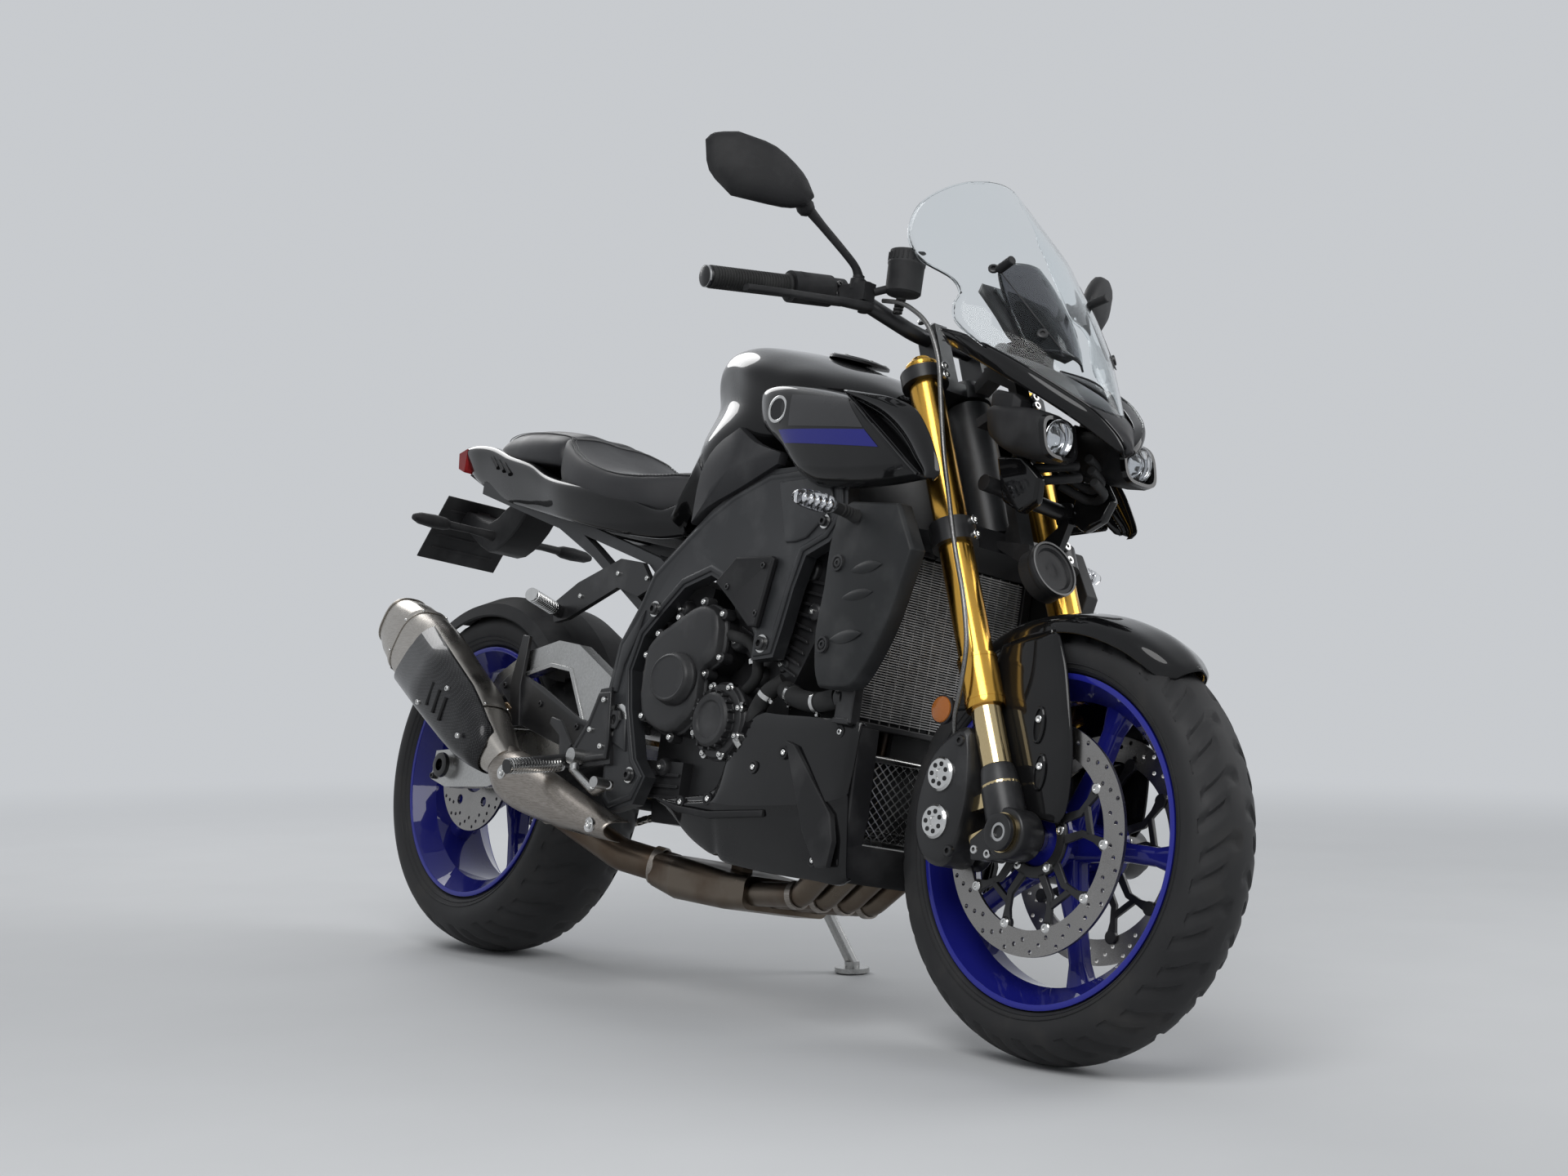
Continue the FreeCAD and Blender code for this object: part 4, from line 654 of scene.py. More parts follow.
def draped(surface, points, lift):
    """Side-view points laid on the outside of a surface."""
    tree = BVHTree.FromPolygons(surface.verts, surface.faces)
    laid = []
    for y, z in points:
        hit = tree.ray_cast(Vector((400, y, z)), Vector((-1, 0, 0)))[0]
        laid.append(hit + Vector((lift, 0, 0)) if hit else Vector((214 + lift, y, z)))
    return laid


def make_tank_panels():
    body = skin(panel_rows(), 5, 4)
    piece("tank_side_panels", body.both(), GLOSS_PANEL, stands_for=("tank_panels",), thick=3)

    outer = [(-346, 920), (-400, 910), (-452, 899), (-500, 880), (-532, 848), (-556, 812), (-569, 785), (-560, 774)]
    inner = [(-352, 912), (-392, 896), (-432, 878), (-466, 856), (-494, 832), (-516, 808), (-534, 790), (-540, 780)]
    rows = []
    for (y0, z0), (y1, z1) in zip(outer, inner):
        rows.append([Vector((202, y0 + 6, z0 - 2)), Vector((207, y0, z0)),
                     Vector((214, y0 + (y1 - y0) * 0.35, z0 + (z1 - z0) * 0.35)),
                     Vector((213, y0 + (y1 - y0) * 0.75, z0 + (z1 - z0) * 0.75)), Vector((206, y1, z1))])
    piece("scoop_rims", skin(rows, 6, 4).both(), GLOSS_PANEL, thick=3)

    edge = [(-352, 914), (-381, 892), (-410, 870), (-440, 848), (-468, 827), (-496, 806), (-518, 790), (-530, 782)]
    rows = []
    for (y0, z0), (y1, z1) in zip(inner, edge):
        span = math.hypot(y1 - y0, z1 - z0)
        deep = min(span * 0.8, 62)
        rows.append([Vector((206, y0, z0)), Vector((206 - deep * 0.75, y0 + (y1 - y0) * 0.2 + 4, z0 + (z1 - z0) * 0.2)),
                     Vector((206 - deep, y0 + (y1 - y0) * 0.5 + 4, z0 + (z1 - z0) * 0.5)),
                     Vector((206 - deep * 0.7, y0 + (y1 - y0) * 0.85, z0 + (z1 - z0) * 0.85)), Vector((209, y1, z1))])
    piece("scoop_recesses", skin(rows, 5, 5).both(), GLOSS_PANEL, thick=2)
    rim = tube([Vector((212.5, y, z)) for y, z in edge], 2.0, 8, 4).both()
    piece("scoop_edges", rim, GLOSS)

    for name, corners, look in (("panel_stripes", ((-204, 868), (-407, 854), (-441, 826), (-222, 846)), STRIPE),
                                ("panel_bands", ((-228, 921), (-352, 907), (-404, 857), (-232, 871)), BAND)):
        a, b, c, d = corners
        points = []
        for i in range(25):
            top = Vector(a).lerp(Vector(b), i / 24)
            low = Vector(d).lerp(Vector(c), i / 24)
            points += [top.lerp(low, t / 10) for t in range(11)]
        band = Shape().add(draped(body, points, 0.9 if look is STRIPE else 0.7), grid_faces(25, 11))
        piece(name, band.both(), look)

    ring = lathe([(0, 17), (1.6, 17), (2.4, 18.5), (2.4, 20), (1.6, 21.5), (0, 21.5)], (0, 0, 0), (1, 0, 0.02), 48)
    centre = draped(body, [(-198, 900)], 0)[0]
    badge = ring.moved(Matrix.Translation(centre)).both()
    piece("panel_rings", badge, BRIGHT)
    dot = lathe([(0, 0), (1.0, 0), (1.0, 16.8), (0, 16.8)], (0, 0, 0), (1, 0, 0.02), 40)
    piece("panel_ring_centres", dot.moved(Matrix.Translation(centre)).both(), GLOSS)

    knee = smooth_outline([(-66, 890), (-9, 862), (22, 817), (28, 737), (-11, 762), (-89, 790), (-176, 824),
                           (-180, 842), (-113, 862)], 3, keep=(0, 3, 6, 7))
    shape = pillow(knee, 176, 9, 10, lip=4)
    piece("knee_panels", shape.both(), SATIN, stands_for=("frame_covers",))


# ---------------------------------------------------------------- seats and tail
def seat_rows(sections, drop):
    """Rows of a padded seat: (y, half width, bottom, edge height, middle height)."""
    rows = []
    for y, half, bottom, edge, middle in sections:
        crown = middle - edge
        row = [Vector((half - 9, y, bottom)), Vector((half, y, bottom + (edge - bottom) * 0.35)),
               Vector((half - 2, y, edge - 10)), Vector((half - 13, y, edge + crown * 0.15)),
               Vector((half * 0.66, y, edge + crown * 0.62)), Vector((half * 0.36, y, middle - drop * 0.4)),
               Vector((0, y, middle - drop))]
        rows.append([Vector((-p.x, p.y, p.z)) for p in row] + list(reversed(row))[1:])
    return rows


def closed_skin(rows, along, across):
    shell = skin(rows, along, across)
    width = (len(rows[0]) - 1) * across + 1
    length = (len(rows) - 1) * along + 1
    shell.faces.append(tuple(range(width)))
    shell.faces.append(tuple(reversed([(length - 1) * width + i for i in range(width)])))
    for r in range(length - 1):
        shell.faces.append((r * width, (r + 1) * width, (r + 2) * width - 1, (r + 1) * width - 1))
    return shell


RIDER = ((176, 58, 776, 838, 852), (190, 70, 778, 846, 862), (225, 92, 780, 846, 864), (270, 118, 784, 842, 862),
         (330, 138, 794, 846, 862), (390, 144, 806, 862, 872), (440, 142, 816, 880, 892), (490, 132, 828, 904, 918),
         (520, 120, 838, 922, 938), (532, 108, 850, 924, 942))
PASSENGER = ((534, 96, 872, 908, 930), (548, 112, 874, 922, 948), (600, 118, 880, 930, 958),
             (670, 114, 888, 936, 966), (740, 100, 898, 940, 968), (790, 84, 906, 938, 962), (808, 68, 912, 930, 948))


def surface_point(rows, s, t):
    """A point of the smooth surface through rows, at shares along and across."""
    line = []
    for row in rows:
        dense = spline(row, 8)
        line.append(dense[min(int(t * (len(dense) - 1) + 0.5), len(dense) - 1)])
    dense = spline(line, 8)
    return dense[min(int(s * (len(dense) - 1) + 0.5), len(dense) - 1)]


def stitches(line, rise, size=(0.9, 4.2), gap=6.4):
    shape = Shape()
    for place, heading in along_line(line, gap):
        middle = place + rise
        shape.join(rod(middle - heading * size[1] / 2, middle + heading * size[1] / 2, size[0], 6))
    return shape


def make_seats():
    rider_rows = seat_rows(RIDER, 3)
    cushion = piece("rider_cushion", closed_skin(rider_rows, 6, 4), LEATHER, stands_for=("rider_seat",),
                    levels=1)
    pad_rows = seat_rows(PASSENGER, 3)
    pillion = piece("passenger_cushion", closed_skin(pad_rows, 6, 4), LEATHER, stands_for=("passenger_seat",),
                    levels=1)

    seams, threads = Shape(), Shape()
    for rows, runs in ((rider_rows, ([(s / 30, 0.29 - 0.05 * math.sin(math.pi * s / 30)) for s in range(1, 30)],
                                     [(0.86, t / 30) for t in range(8, 23)])),
                       (pad_rows, ([(s / 30, 0.3) for s in range(2, 29)],))):
        for run in runs:
            sides = (run, [(s, 1 - t) for s, t in run]) if run[0][1] < 0.29 or run[-1][1] < 0.5 else (run,)
            for marks in sides:
                line = spline([surface_point(rows, s, t) for s, t in marks], 2)
                lifted = [p + Vector((0, 0, 0.2)) for p in line]
                seams.join(tube(lifted, 1.5, 8, 1, smooth=False))
                for shift in (-4.5, 4.5):
                    shifted = [p + Vector((shift if p.x < 0 else -shift, 0, 0.9)) for p in line]
                    threads.join(stitches(shifted, Vector((0, 0, 0.3))))
    piece("seat_seams", seams, LEATHER)
    piece("seat_stitching", threads, THREAD)


def make_tail():
    stations = (((178, 800), (170, 744), 96), ((230, 786), (230, 738), 108), ((300, 806), (300, 744), 128),
                ((380, 822), (380, 755), 142), ((470, 836), (470, 772), 146), ((560, 858), (560, 790), 134),
                ((630, 884), (640, 806), 126), ((720, 905), (720, 822), 118), ((790, 926), (800, 850), 112),
                ((850, 934), (856, 874), 108), ((898, 934), (892, 896), 100))
    rows = []
    for top, low, out in stations:
        rows.append([Vector((out - 26, top[0], top[1] + 3)), Vector((out - 6, top[0], top[1])),
                     Vector((out, top[0] + (low[0] - top[0]) * 0.22, top[1] + (low[1] - top[1]) * 0.22)),
                     Vector((out - 5, top[0] + (low[0] - top[0]) * 0.6, top[1] + (low[1] - top[1]) * 0.6)),
                     Vector((out - 16, low[0], low[1])), Vector((out - 34, low[0], low[1] + 4))])
    sides = skin(rows, 5, 4).both()
    piece("tail_side_panels", sides, GLOSS_PANEL, stands_for=("tail_cowl",), thick=2.5)
    deck_rows = []
    for y, half, z, rise in ((796, 88, 912, 2), (820, 96, 926, 5), (860, 98, 934, 5), (892, 96, 934, 3),
                            (902, 92, 926, 1)):
        deck_rows.append([Vector((x * half, y, z + rise * (1 - x * x))) for x in (-1, -0.6, -0.2, 0.2, 0.6, 1)])
    piece("tail_deck", skin(deck_rows, 5, 4), SATIN, thick=3)
    under = Shape()
    belly = []
    for y, half, z in ((200, 84, 748), (300, 100, 750), (420, 112, 768), (560, 108, 792), (700, 96, 822),
                       (800, 92, 852),
                       (880, 88, 884)):
        belly.append([Vector((x * half, y, z - 6 * (1 - x * x))) for x in (-1, -0.5, 0, 0.5, 1)])
    under.join(skin(belly, 4, 4))
    piece("tail_undertray", under, MATTE, thick=3)
    # Dark rods in the tail sides: painted shade standing in for the inside of the vent slots.
    slots = Shape()
    for i in range(3):
        y = 700 + i * 26
        line = [Vector((121 - i * 2.2, y - 14, 866 + i * 8)), Vector((118 - i * 2.2, y + 16, 888 + i * 8))]
        slots.join(rod(line[0], line[1], 4.2, 10))
    piece("tail_slot_shades", slots.both(), RECESS_SHADE)
    ribs = Shape()
    for i in range(9):
        x = -88 + i * 22
        ribs.join(prism([(899, 893), (905, 894), (909, 922), (903, 922)], x, x + 16))
    piece("tail_light_segments", ribs, RED, bevel=1.2)


# ---------------------------------------------------------------- nose, screen and lights
SCREEN_LEVELS = (  # middle y, middle z, half width, how far the edges sweep back, how far they drop
    (-704, 890, 40, 26, -4), (-690, 918, 58, 40, -6), (-664, 962, 96, 70, -10), (-636, 1008, 134, 98, -16),
    (-614, 1042, 150, 112, -20), (-596, 1068, 150, 104, -20), (-580, 1090, 142, 88, -20),
    (-562, 1114, 144, 92, -20), (-540, 1142, 162, 116, -22), (-516, 1172, 168, 118, -22),
    (-484, 1204, 160, 100, -20), (-450, 1237, 138, 74, -16), (-424, 1264, 104, 44, -12), (-410, 1280, 66, 20, -6),
    (-404, 1288, 26, 4, -2))


def screen_rows(inset=0.0, first=0, last=None, narrow=1.0):
    rows = []
    for y, z, half, sweep, drop in SCREEN_LEVELS[first:last]:
        row = []
        for share in (-1, -0.8, -0.5, -0.22, 0, 0.22, 0.5, 0.8, 1):
            share *= narrow
            row.append(Vector((half * share, y + inset + sweep * share * share, z + drop * share * share)))
        rows.append(row)
    return rows


def make_screen():
    piece("touring_screen", skin(screen_rows(), 4, 4), CLEAR, "steering", ("windscreen",), thick=3.6)
    hem = Shape()
    for side in (1, -1):
        edge = [Vector((row[-1].x * side, row[-1].y + 1.5, row[-1].z)) for row in screen_rows()]
        hem.join(tube(edge, 1.6, 8, 5))
    piece("screen_rims", hem, CLEAR, "steering")
    rows = []
    for y, z, half in ((-588, 1000, 60), (-566, 1040, 70), (-540, 1082, 74), (-512, 1122, 66), (-492, 1148, 48)):
        rows.append([Vector((half * s, y + 26 * s * s, z - 5 * s * s)) for s in (-1, -0.5, 0, 0.5, 1)])
    piece("inner_screen", skin(rows, 5, 5), SMOKE, "steering", thick=3)
    arms, screws = Shape(), Shape()
    surface = skin(screen_rows(), 4, 4)
    outside = BVHTree.FromPolygons(surface.verts, surface.faces)
    for side in (1, -1):
        top = Vector((side * 98, -520, 1112))
        low = Vector((side * 58, -618, 1000))
        rings = []
        for p, half in ((top, 7), (top + (low - top) * 0.4, 9), (low, 13)):
            rings.append([p + Vector((side * 1.5, 0, 0)) + Vector((0, half * 0.8, half * 0.7)),
                          p + Vector((side * 1.5, 0, 0)) - Vector((0, half * 0.8, half * 0.7)),
                          p - Vector((side * 2.5, 0, 0)) - Vector((0, half * 0.8, half * 0.7)),
                          p - Vector((side * 2.5, 0, 0)) + Vector((0, half * 0.8, half * 0.7))])
        arms.join(loft(rings))
        arms.join(rod(top, top + Vector((side * 4, -30, 10)), 7, 16))
        for x, z in ((100, 1112), (74, 1012)):
            place, out = outside.ray_cast(Vector((side * x, -900, z)), Vector((0, 1, 0)))[:2]
            out = out if out.y < 0 else -out
            screws.join(bolt(place + out * 1.5, out, 8, 4))
    piece("screen_arms", arms, MATTE, "steering", bevel=1.5)
    piece("screen_screws", screws, BLACK_METAL, "steering")


def make_nose():
    """The visor under the screen: two cheeks that meet in a beak."""
    upper = [(-128, -445, 1022), (-130, -500, 1006), (-122, -560, 980), (-104, -618, 950), (-78, -664, 922),
             (-52, -698, 898), (-26, -718, 872), (-6, -724, 852)]
    lower = [(-116, -452, 1002), (-120, -510, 976), (-114, -572, 945), (-98, -628, 916), (-72, -672, 888),
             (-44, -700, 866), (-20, -716, 850), (-4, -722, 843)]
    rows = []
    for top, low in zip(upper, lower):
        top, low = Vector(top), Vector(low)
        out = Vector((-6, -3, 0))
        rows.append([top + Vector((14, 5, -3)), top + Vector((4, 1, 1)), top + out * 0.5,
                     top + (low - top) * 0.35 + out,
                     top + (low - top) * 0.75 + out * 0.6, low, low + Vector((10, 5, 2))])
    cheek = skin(rows, 6, 4)
    piece("nose_cheeks", cheek.both(), GLOSS, "steering", ("nose_cowl",), thick=3)
    rows = []
    for left, tuck in zip(upper, (12, 12, 12, 12, 11, 9, 6, 3)):
        half = abs(left[0]) - tuck
        rows.append([Vector((half * s, left[1] + 6 - 16 * (1 - s * s), left[2] - 10 + 6 * (1 - s * s)))
                     for s in (-1, -0.6, -0.2, 0.2, 0.6, 1)])
    piece("nose_deck", skin(rows, 5, 4), SATIN, "steering", thick=3)
    trim = Shape()
    for side in (1, -1):
        trim.join(tube([Vector((x * -side, y - 1, z + 2)) for x, y, z in upper], 1.5, 8, 6))
    piece("nose_trim", trim, GLOSS, "steering")
    for side, name in ((1, "left"), (-1, "right")):
        fin = [Vector((side * 76, -640, 800)), Vector((side * 86, -610, 830)), Vector((side * 86, -560, 832)),
               Vector((side * 70, -566, 770)), Vector((side * 66, -600, 752)), Vector((side * 68, -632, 768))]
        rows = []
        for x_shift in (-9, 9):
            rows.append([p + Vector((x_shift, 0, 0)) for p in fin])
        piece("nose_fin_" + name, loft(rows), GLOSS, "steering", bevel=5, segments=3)


def rounded_ring(centre, half, tall, lean=0.0, corners=0.45, count=8):
    """A rounded many-sided ring facing forward."""
    ring = []
    for i in range(count * 4):
        a = 2 * math.pi * i / (count * 4)
        c, s = math.cos(a), math.sin(a)
        power = 1 - corners
        x = half * math.copysign(abs(c) ** power, c)
        z = tall * math.copysign(abs(s) ** power, s)
        ring.append(Vector(centre) + Vector((x, lean * z, z)))
    return ring


def make_headlights():
    shells, glass, bowls, eyes, bezels = Shape(), Shape(), Shape(), Shape(), Shape()
    for side in (1, -1):
        rings = []
        for y, x, z, half, tall in ((-668, 84, 853, 33, 30), (-656, 84, 856, 37, 36), (-630, 83, 860, 35, 38),
                                    (-590, 82, 868, 35, 37), (-566, 82, 876, 33, 33), (-546, 82, 882, 26, 24)):
            rings.append(rounded_ring((side * x, y, z), half, tall, 0.25, 0.5))
        back = loft(rings)
        back.faces.pop(-2)
        shells.join(back)
        centre = Vector((side * 84, -668, 853))
        bezels.join(loft([rounded_ring(centre + Vector((0, 3, 0)), 36, 33, 0.25, 0.4),
                          rounded_ring(centre + Vector((0, -5, 0)), 34, 31, 0.25, 0.4),
                          rounded_ring(centre + Vector((0, -5, 0)), 29, 26, 0.25, 0.4),
                          rounded_ring(centre + Vector((0, 8, 0)), 27, 24, 0.25, 0.4)], False))
        bowl = [(0, 27), (8, 25), (18, 20), (26, 13), (30, 5), (31, 0)]
        bowls.join(lathe(bowl, centre + Vector((0, -2, 0)), (0, 1, 0.12), 32))
        eyes.join(lathe([(4, 0), (5, 7), (8, 13), (13, 17), (18, 18)], centre + Vector((0, -6, 0)), (0, 1, 0.12), 32))
        dome = [(-9, 0), (-8, 10), (-5, 20), (0, 28)]
        glass.join(lathe(dome, centre + Vector((0, -2, 0)), (0, 1, 0.12), 36))
    piece("headlight_shells", shells, MATTE, "steering", ("headlights",), bevel=1.5)
    piece("headlight_bezels", bezels, GLOSS, "steering")
    piece("headlight_bowls", bowls, REFLECTOR, "steering", thick=1)
    piece("headlight_projectors", eyes, LENS, "steering", thick=1.5)
    piece("headlight_glasses", glass, LENS, "steering", thick=1.5)
    boxes = Shape()
    for side in (1, -1):
        boxes.join(loft([rounded_ring((side * 92, y, z), half, tall, 0, 0.7) for y, z, half, tall in
                         ((-604, 902, 10, 8), (-594, 904, 17, 16), (-560, 910, 18, 18), (-548, 911, 14, 14))]))
        for i in range(3):
            z = 800 + i * 18
            boxes.join(tube([Vector((side * 40, -560 + i * 5, z + 20)), Vector((side * 72, -596 + i * 6, z)),
                             Vector((side * 50, -640 + i * 8, z + 4)), Vector((side * 14, -652 + i * 8,
                                                     z + 14))], 7, 10, 5))
    piece("lamp_brackets", boxes, MATTE, "steering", bevel=1)


def make_horn():
    centre = steered(-28, 92, 690)
    ahead = BACK * -1
    dish = lathe([(26, 0), (26, 12), (27, 14), (27, 30), (31, 33), (31, 38), (27, 41), (20, 41), (10, 36), (0, 30)],
                 centre - ahead * 0, ahead, 40)
    piece("horn_face", dish, MATTE, "steering")
    rim = lathe([(28, 38), (33, 39), (33, 42), (28, 42.5)], centre, ahead, 48, True)
    piece("horn_rim", rim, BLACK_METAL, "steering")


def make_mirrors():
    """Angular heads: a bulged shell in front and the glass behind."""
    outline = [(438, 1251), (428, 1264), (402, 1271), (354, 1259), (313, 1225), (294, 1192), (304, 1176),
               (330, 1170), (396, 1174), (428, 1206)]
    outline = smooth_outline(outline, 3, keep=(0, 2, 5, 6, 8))

    def plane_y(x):
        return -322 + 0.6 * (x - 288)
    middle = Vector((sum(p[0] for p in outline) / len(outline), 0, sum(p[1] for p in outline) / len(outline)))
    loops = []
    for share, depth in ((0.955, 4), (1.0, 0), (0.99, -7), (0.93, -14), (0.8, -20), (0.6, -24), (0.35, -26)):
        loops.append([Vector((middle.x + (x - middle.x) * share, plane_y(middle.x + (x - middle.x) * share) + depth + 8,
                              middle.z + (z - middle.z) * share)) for x, z in outline])
    shell = loft(loops)
    piece("mirror_shells", shell.both(), MATTE, "steering", ("mirrors",))
    glass = loft([[Vector((middle.x + (x - middle.x) * share, plane_y(middle.x + (x - middle.x) * share) + depth + 8,
                           middle.z + (z - middle.z) * share)) for x, z in outline] for share, depth in
                  ((0.93, 3.0), (0.93, 5.2), (0.91, 5.6))])
    piece("mirror_glasses", glass.both(), GLASS_MIRROR, "steering")
    stems = Shape()
    stems.join(lathe([(0, 0), (0, 12), (16, 12), (18, 9), (22, 9), (22, 0)], (194, -322, 1078), (0, 0, 1), 24))
    stems.join(tube([Vector((194, -322, 1098)), Vector((204, -322, 1112)), Vector((226, -317, 1130)),
                     Vector((262, -304, 1160)),
                     Vector((284, -297, 1178))], 6.5, 16, 5, [7.5, 6, 6, 6.5, 8]))
    stems.join(lathe([(-14, 0), (-13, 6), (-8, 12), (0, 14), (8, 12), (13, 6), (14, 0)], (291, -294, 1182),
                     (0.7, 0.1, 0.7), 24))
    stems.join(rod((291, -296, 1182), (312, -300, 1192), 9, 16, 12))
    piece("mirror_stems", stems.both(), MATTE, "steering")


def make_dash():
    rows = []
    for y, z, half in ((-548, 1014, 56), (-538, 1030, 68), (-516, 1058, 72), (-488, 1088, 74), (-462, 1108, 66)):
        rows.append([Vector((half * s, y + 8 * s * s, z)) for s in (-1, -0.5, 0, 0.5, 1)])
    piece("display_shell", skin(rows, 4, 4), MATTE, "steering", thick=14)
    face = [Vector((x, y, z)) for x, y, z in ((-58, -528, 1044), (58, -528, 1044), (58, -474, 1102), (-58, -474, 1102))]
    piece("display_face", loft([face, [p + Vector((0, 4, -4)) for p in face]]), SCREEN, "steering",
          ("instrument_panel",), bevel=1.5)


# ---------------------------------------------------------------- fork, wheel and brakes
def make_fork():
    bands, caps, bolts, feet_nuts = Shape(), Shape(), Shape(), Shape()
    for side in (1, -1):
        x = side * LEG_X

        def leg(along, x=x):
            return steered(x, OFFSET, along)
        caps.join(lathe([(0, 0), (0, 25.2), (6, 25.2), (9, 22), (12, 15), (18, 14), (18, 0)], leg(1055), UP, 40))
        for low, high, size in ((515, 519, 29), (576, 581, 28.6)):
            bands.join(lathe([(0, 24), (0, size), (high - low, size), (high - low, 24)], leg(low), UP, 40))
        bands.join(lathe([(0, 22), (0, 27.5), (4, 28.5), (10, 28.5), (12, 22)], leg(505), UP, 40))
        for low, high in ((752, 798), (1022, 1052)):
            for step in (0.25, 0.75):
                place = leg(low + (high - low) * step)
                bolts.join(bolt(place + Vector((side * -8, 0, 0)) - BACK * 34, -BACK, 7, 5))
        foot = Vector((x + side * 28, FRONT_Y, FRONT_Z))
        feet_nuts.join(lathe([(0, 0), (0, 24), (4, 26), (9, 25), (10, 20), (8, 13), (4, 12), (4, 0)], foot,
                             (side, 0, 0), 24))
        for i in range(2):
            place = Vector((x + side * 12, FRONT_Y + 34 + i * 26, FRONT_Z - 30 + i * 4))
            bolts.join(bolt(place, (side, 0, 0), 6.5, 6))
            feet_nuts.join(rod(place - Vector((side * 26, 0, 0)), place, 10, 20))
    piece("axle_clamps", feet_nuts, BLACK_METAL, "steering", bevel=0.4)
    piece("fork_caps", caps, GOLD, "steering", bevel=0.8)
    piece("fork_bands", bands, GOLD, "steering")
    piece("fork_bolts", bolts, BRIGHT, "steering")
    feet = Shape()
    for side in (1, -1):
        x = side * LEG_X
        rings = []
        for along, radius in ((-12, 26), (20, 29), (58, 28), (72, 26), (84, 24.5), (92, 22.5)):
            centre = steered(x, OFFSET, 321.5 + 5 + along)
            across_leg = Vector((1, 0, 0))
            rings.append([centre + radius * (across_leg * math.cos(a) - BACK * math.sin(a))
                          for a in (2 * math.pi * k / 28 for k in range(28))])
        feet.join(loft(rings))
        feet.join(lathe([(0, 0), (0, 33), (4, 35), (40, 35), (44, 33), (44, 0)], (x - side * 20, FRONT_Y, FRONT_Z),
                        (side, 0, 0), 36))
        feet.join(loft([[Vector((x + dx, y, z)) for y, z in ((FRONT_Y + 4, FRONT_Z - 36), (FRONT_Y + 66, FRONT_Z - 40),
                                                              (FRONT_Y + 72, FRONT_Z - 14), (FRONT_Y + 20,
                                                                                      FRONT_Z + 26))]
                        for dx in (-16, 14)]))
    piece("fork_feet", feet, BLACK_METAL, "steering", bevel=2)


def make_calipers():
    outline = smooth_outline([(-612, 432), (-586, 436), (-548, 404), (-528, 350), (-526, 300), (-540, 262), (-572, 246),
                              (-600, 254), (-618, 300), (-624, 360)], 3)
    body, caps, holes, pins = Shape(), Shape(), Shape(), Shape()
    for side in (1, -1):
        for low, high in ((44, 60), (74, 132)):
            loops = []
            for x, share in ((low, 0.94), (low + 5, 1.0), (high - 9, 1.0), (high - 2, 0.93), (high, 0.84)):
                loops.append([Vector((side * x, -574 + (y + 574) * share,
                                      341 + (z - 341) * share)) for y, z in outline])
            body.join(loft(loops))
        body.join(loft([[Vector((side * x, y, z)) for y, z in ((-560, 404), (-528, 344), (-526, 300), (-546, 300),
                                (-562, 350))]
                        for x in (58, 76)]))
        for y, z in ((-572, 372), (-572, 306)):
            centre = Vector((side * 130, y, z))
            caps.join(lathe([(0, 0), (0, 24), (5, 24), (8, 21), (8, 7), (6, 6), (6, 0)], centre, (side, 0, 0), 40))
            # Dark plugs in each cap: painted shade standing in for its holes.
            for i in range(7):
                a = 2 * math.pi * i / 7
                holes.join(rod(centre + Vector((side * 7.4, 14 * math.cos(a), 14 * math.sin(a))),
                               centre + Vector((side * 8.8, 14 * math.cos(a), 14 * math.sin(a))), 3.4, 12))
        for y, z in ((-600, 420), (-604, 268)):
            pins.join(bolt(Vector((side * 128, y, z)), (side, 0, 0), 8, 7))
        pins.join(rod(Vector((side * 118, -534, 330)), Vector((side * 128, -534, 330)), 5, 14))
    piece("caliper_bodies", body, BLACK_METAL, "steering", ("front_calipers",), bevel=2)
    piece("caliper_caps", caps, BRIGHT, "steering")
    piece("caliper_hole_shades", holes, RECESS_SHADE, "steering")
    piece("caliper_bolts", pins, BLACK_METAL, "steering")
    amber, cups = Shape(), Shape()
    for side in (1, -1):
        centre = Vector((side * 131, -556, 462))
        cups.join(lathe([(-6, 0), (-6, 20), (1, 21), (2, 19), (1, 0)], centre, (side, 0, 0), 36))
        amber.join(lathe([(1, 19), (4, 18), (6, 12), (7, 0)], centre, (side, 0, 0), 36))
        cups.join(rod(centre - Vector((side * 4, 0, 0)), Vector((side * 110, -592, 470)), 4, 12))
    piece("reflector_cups", cups, MATTE, "steering")
    piece("reflector_lenses", amber, AMBER, "steering")


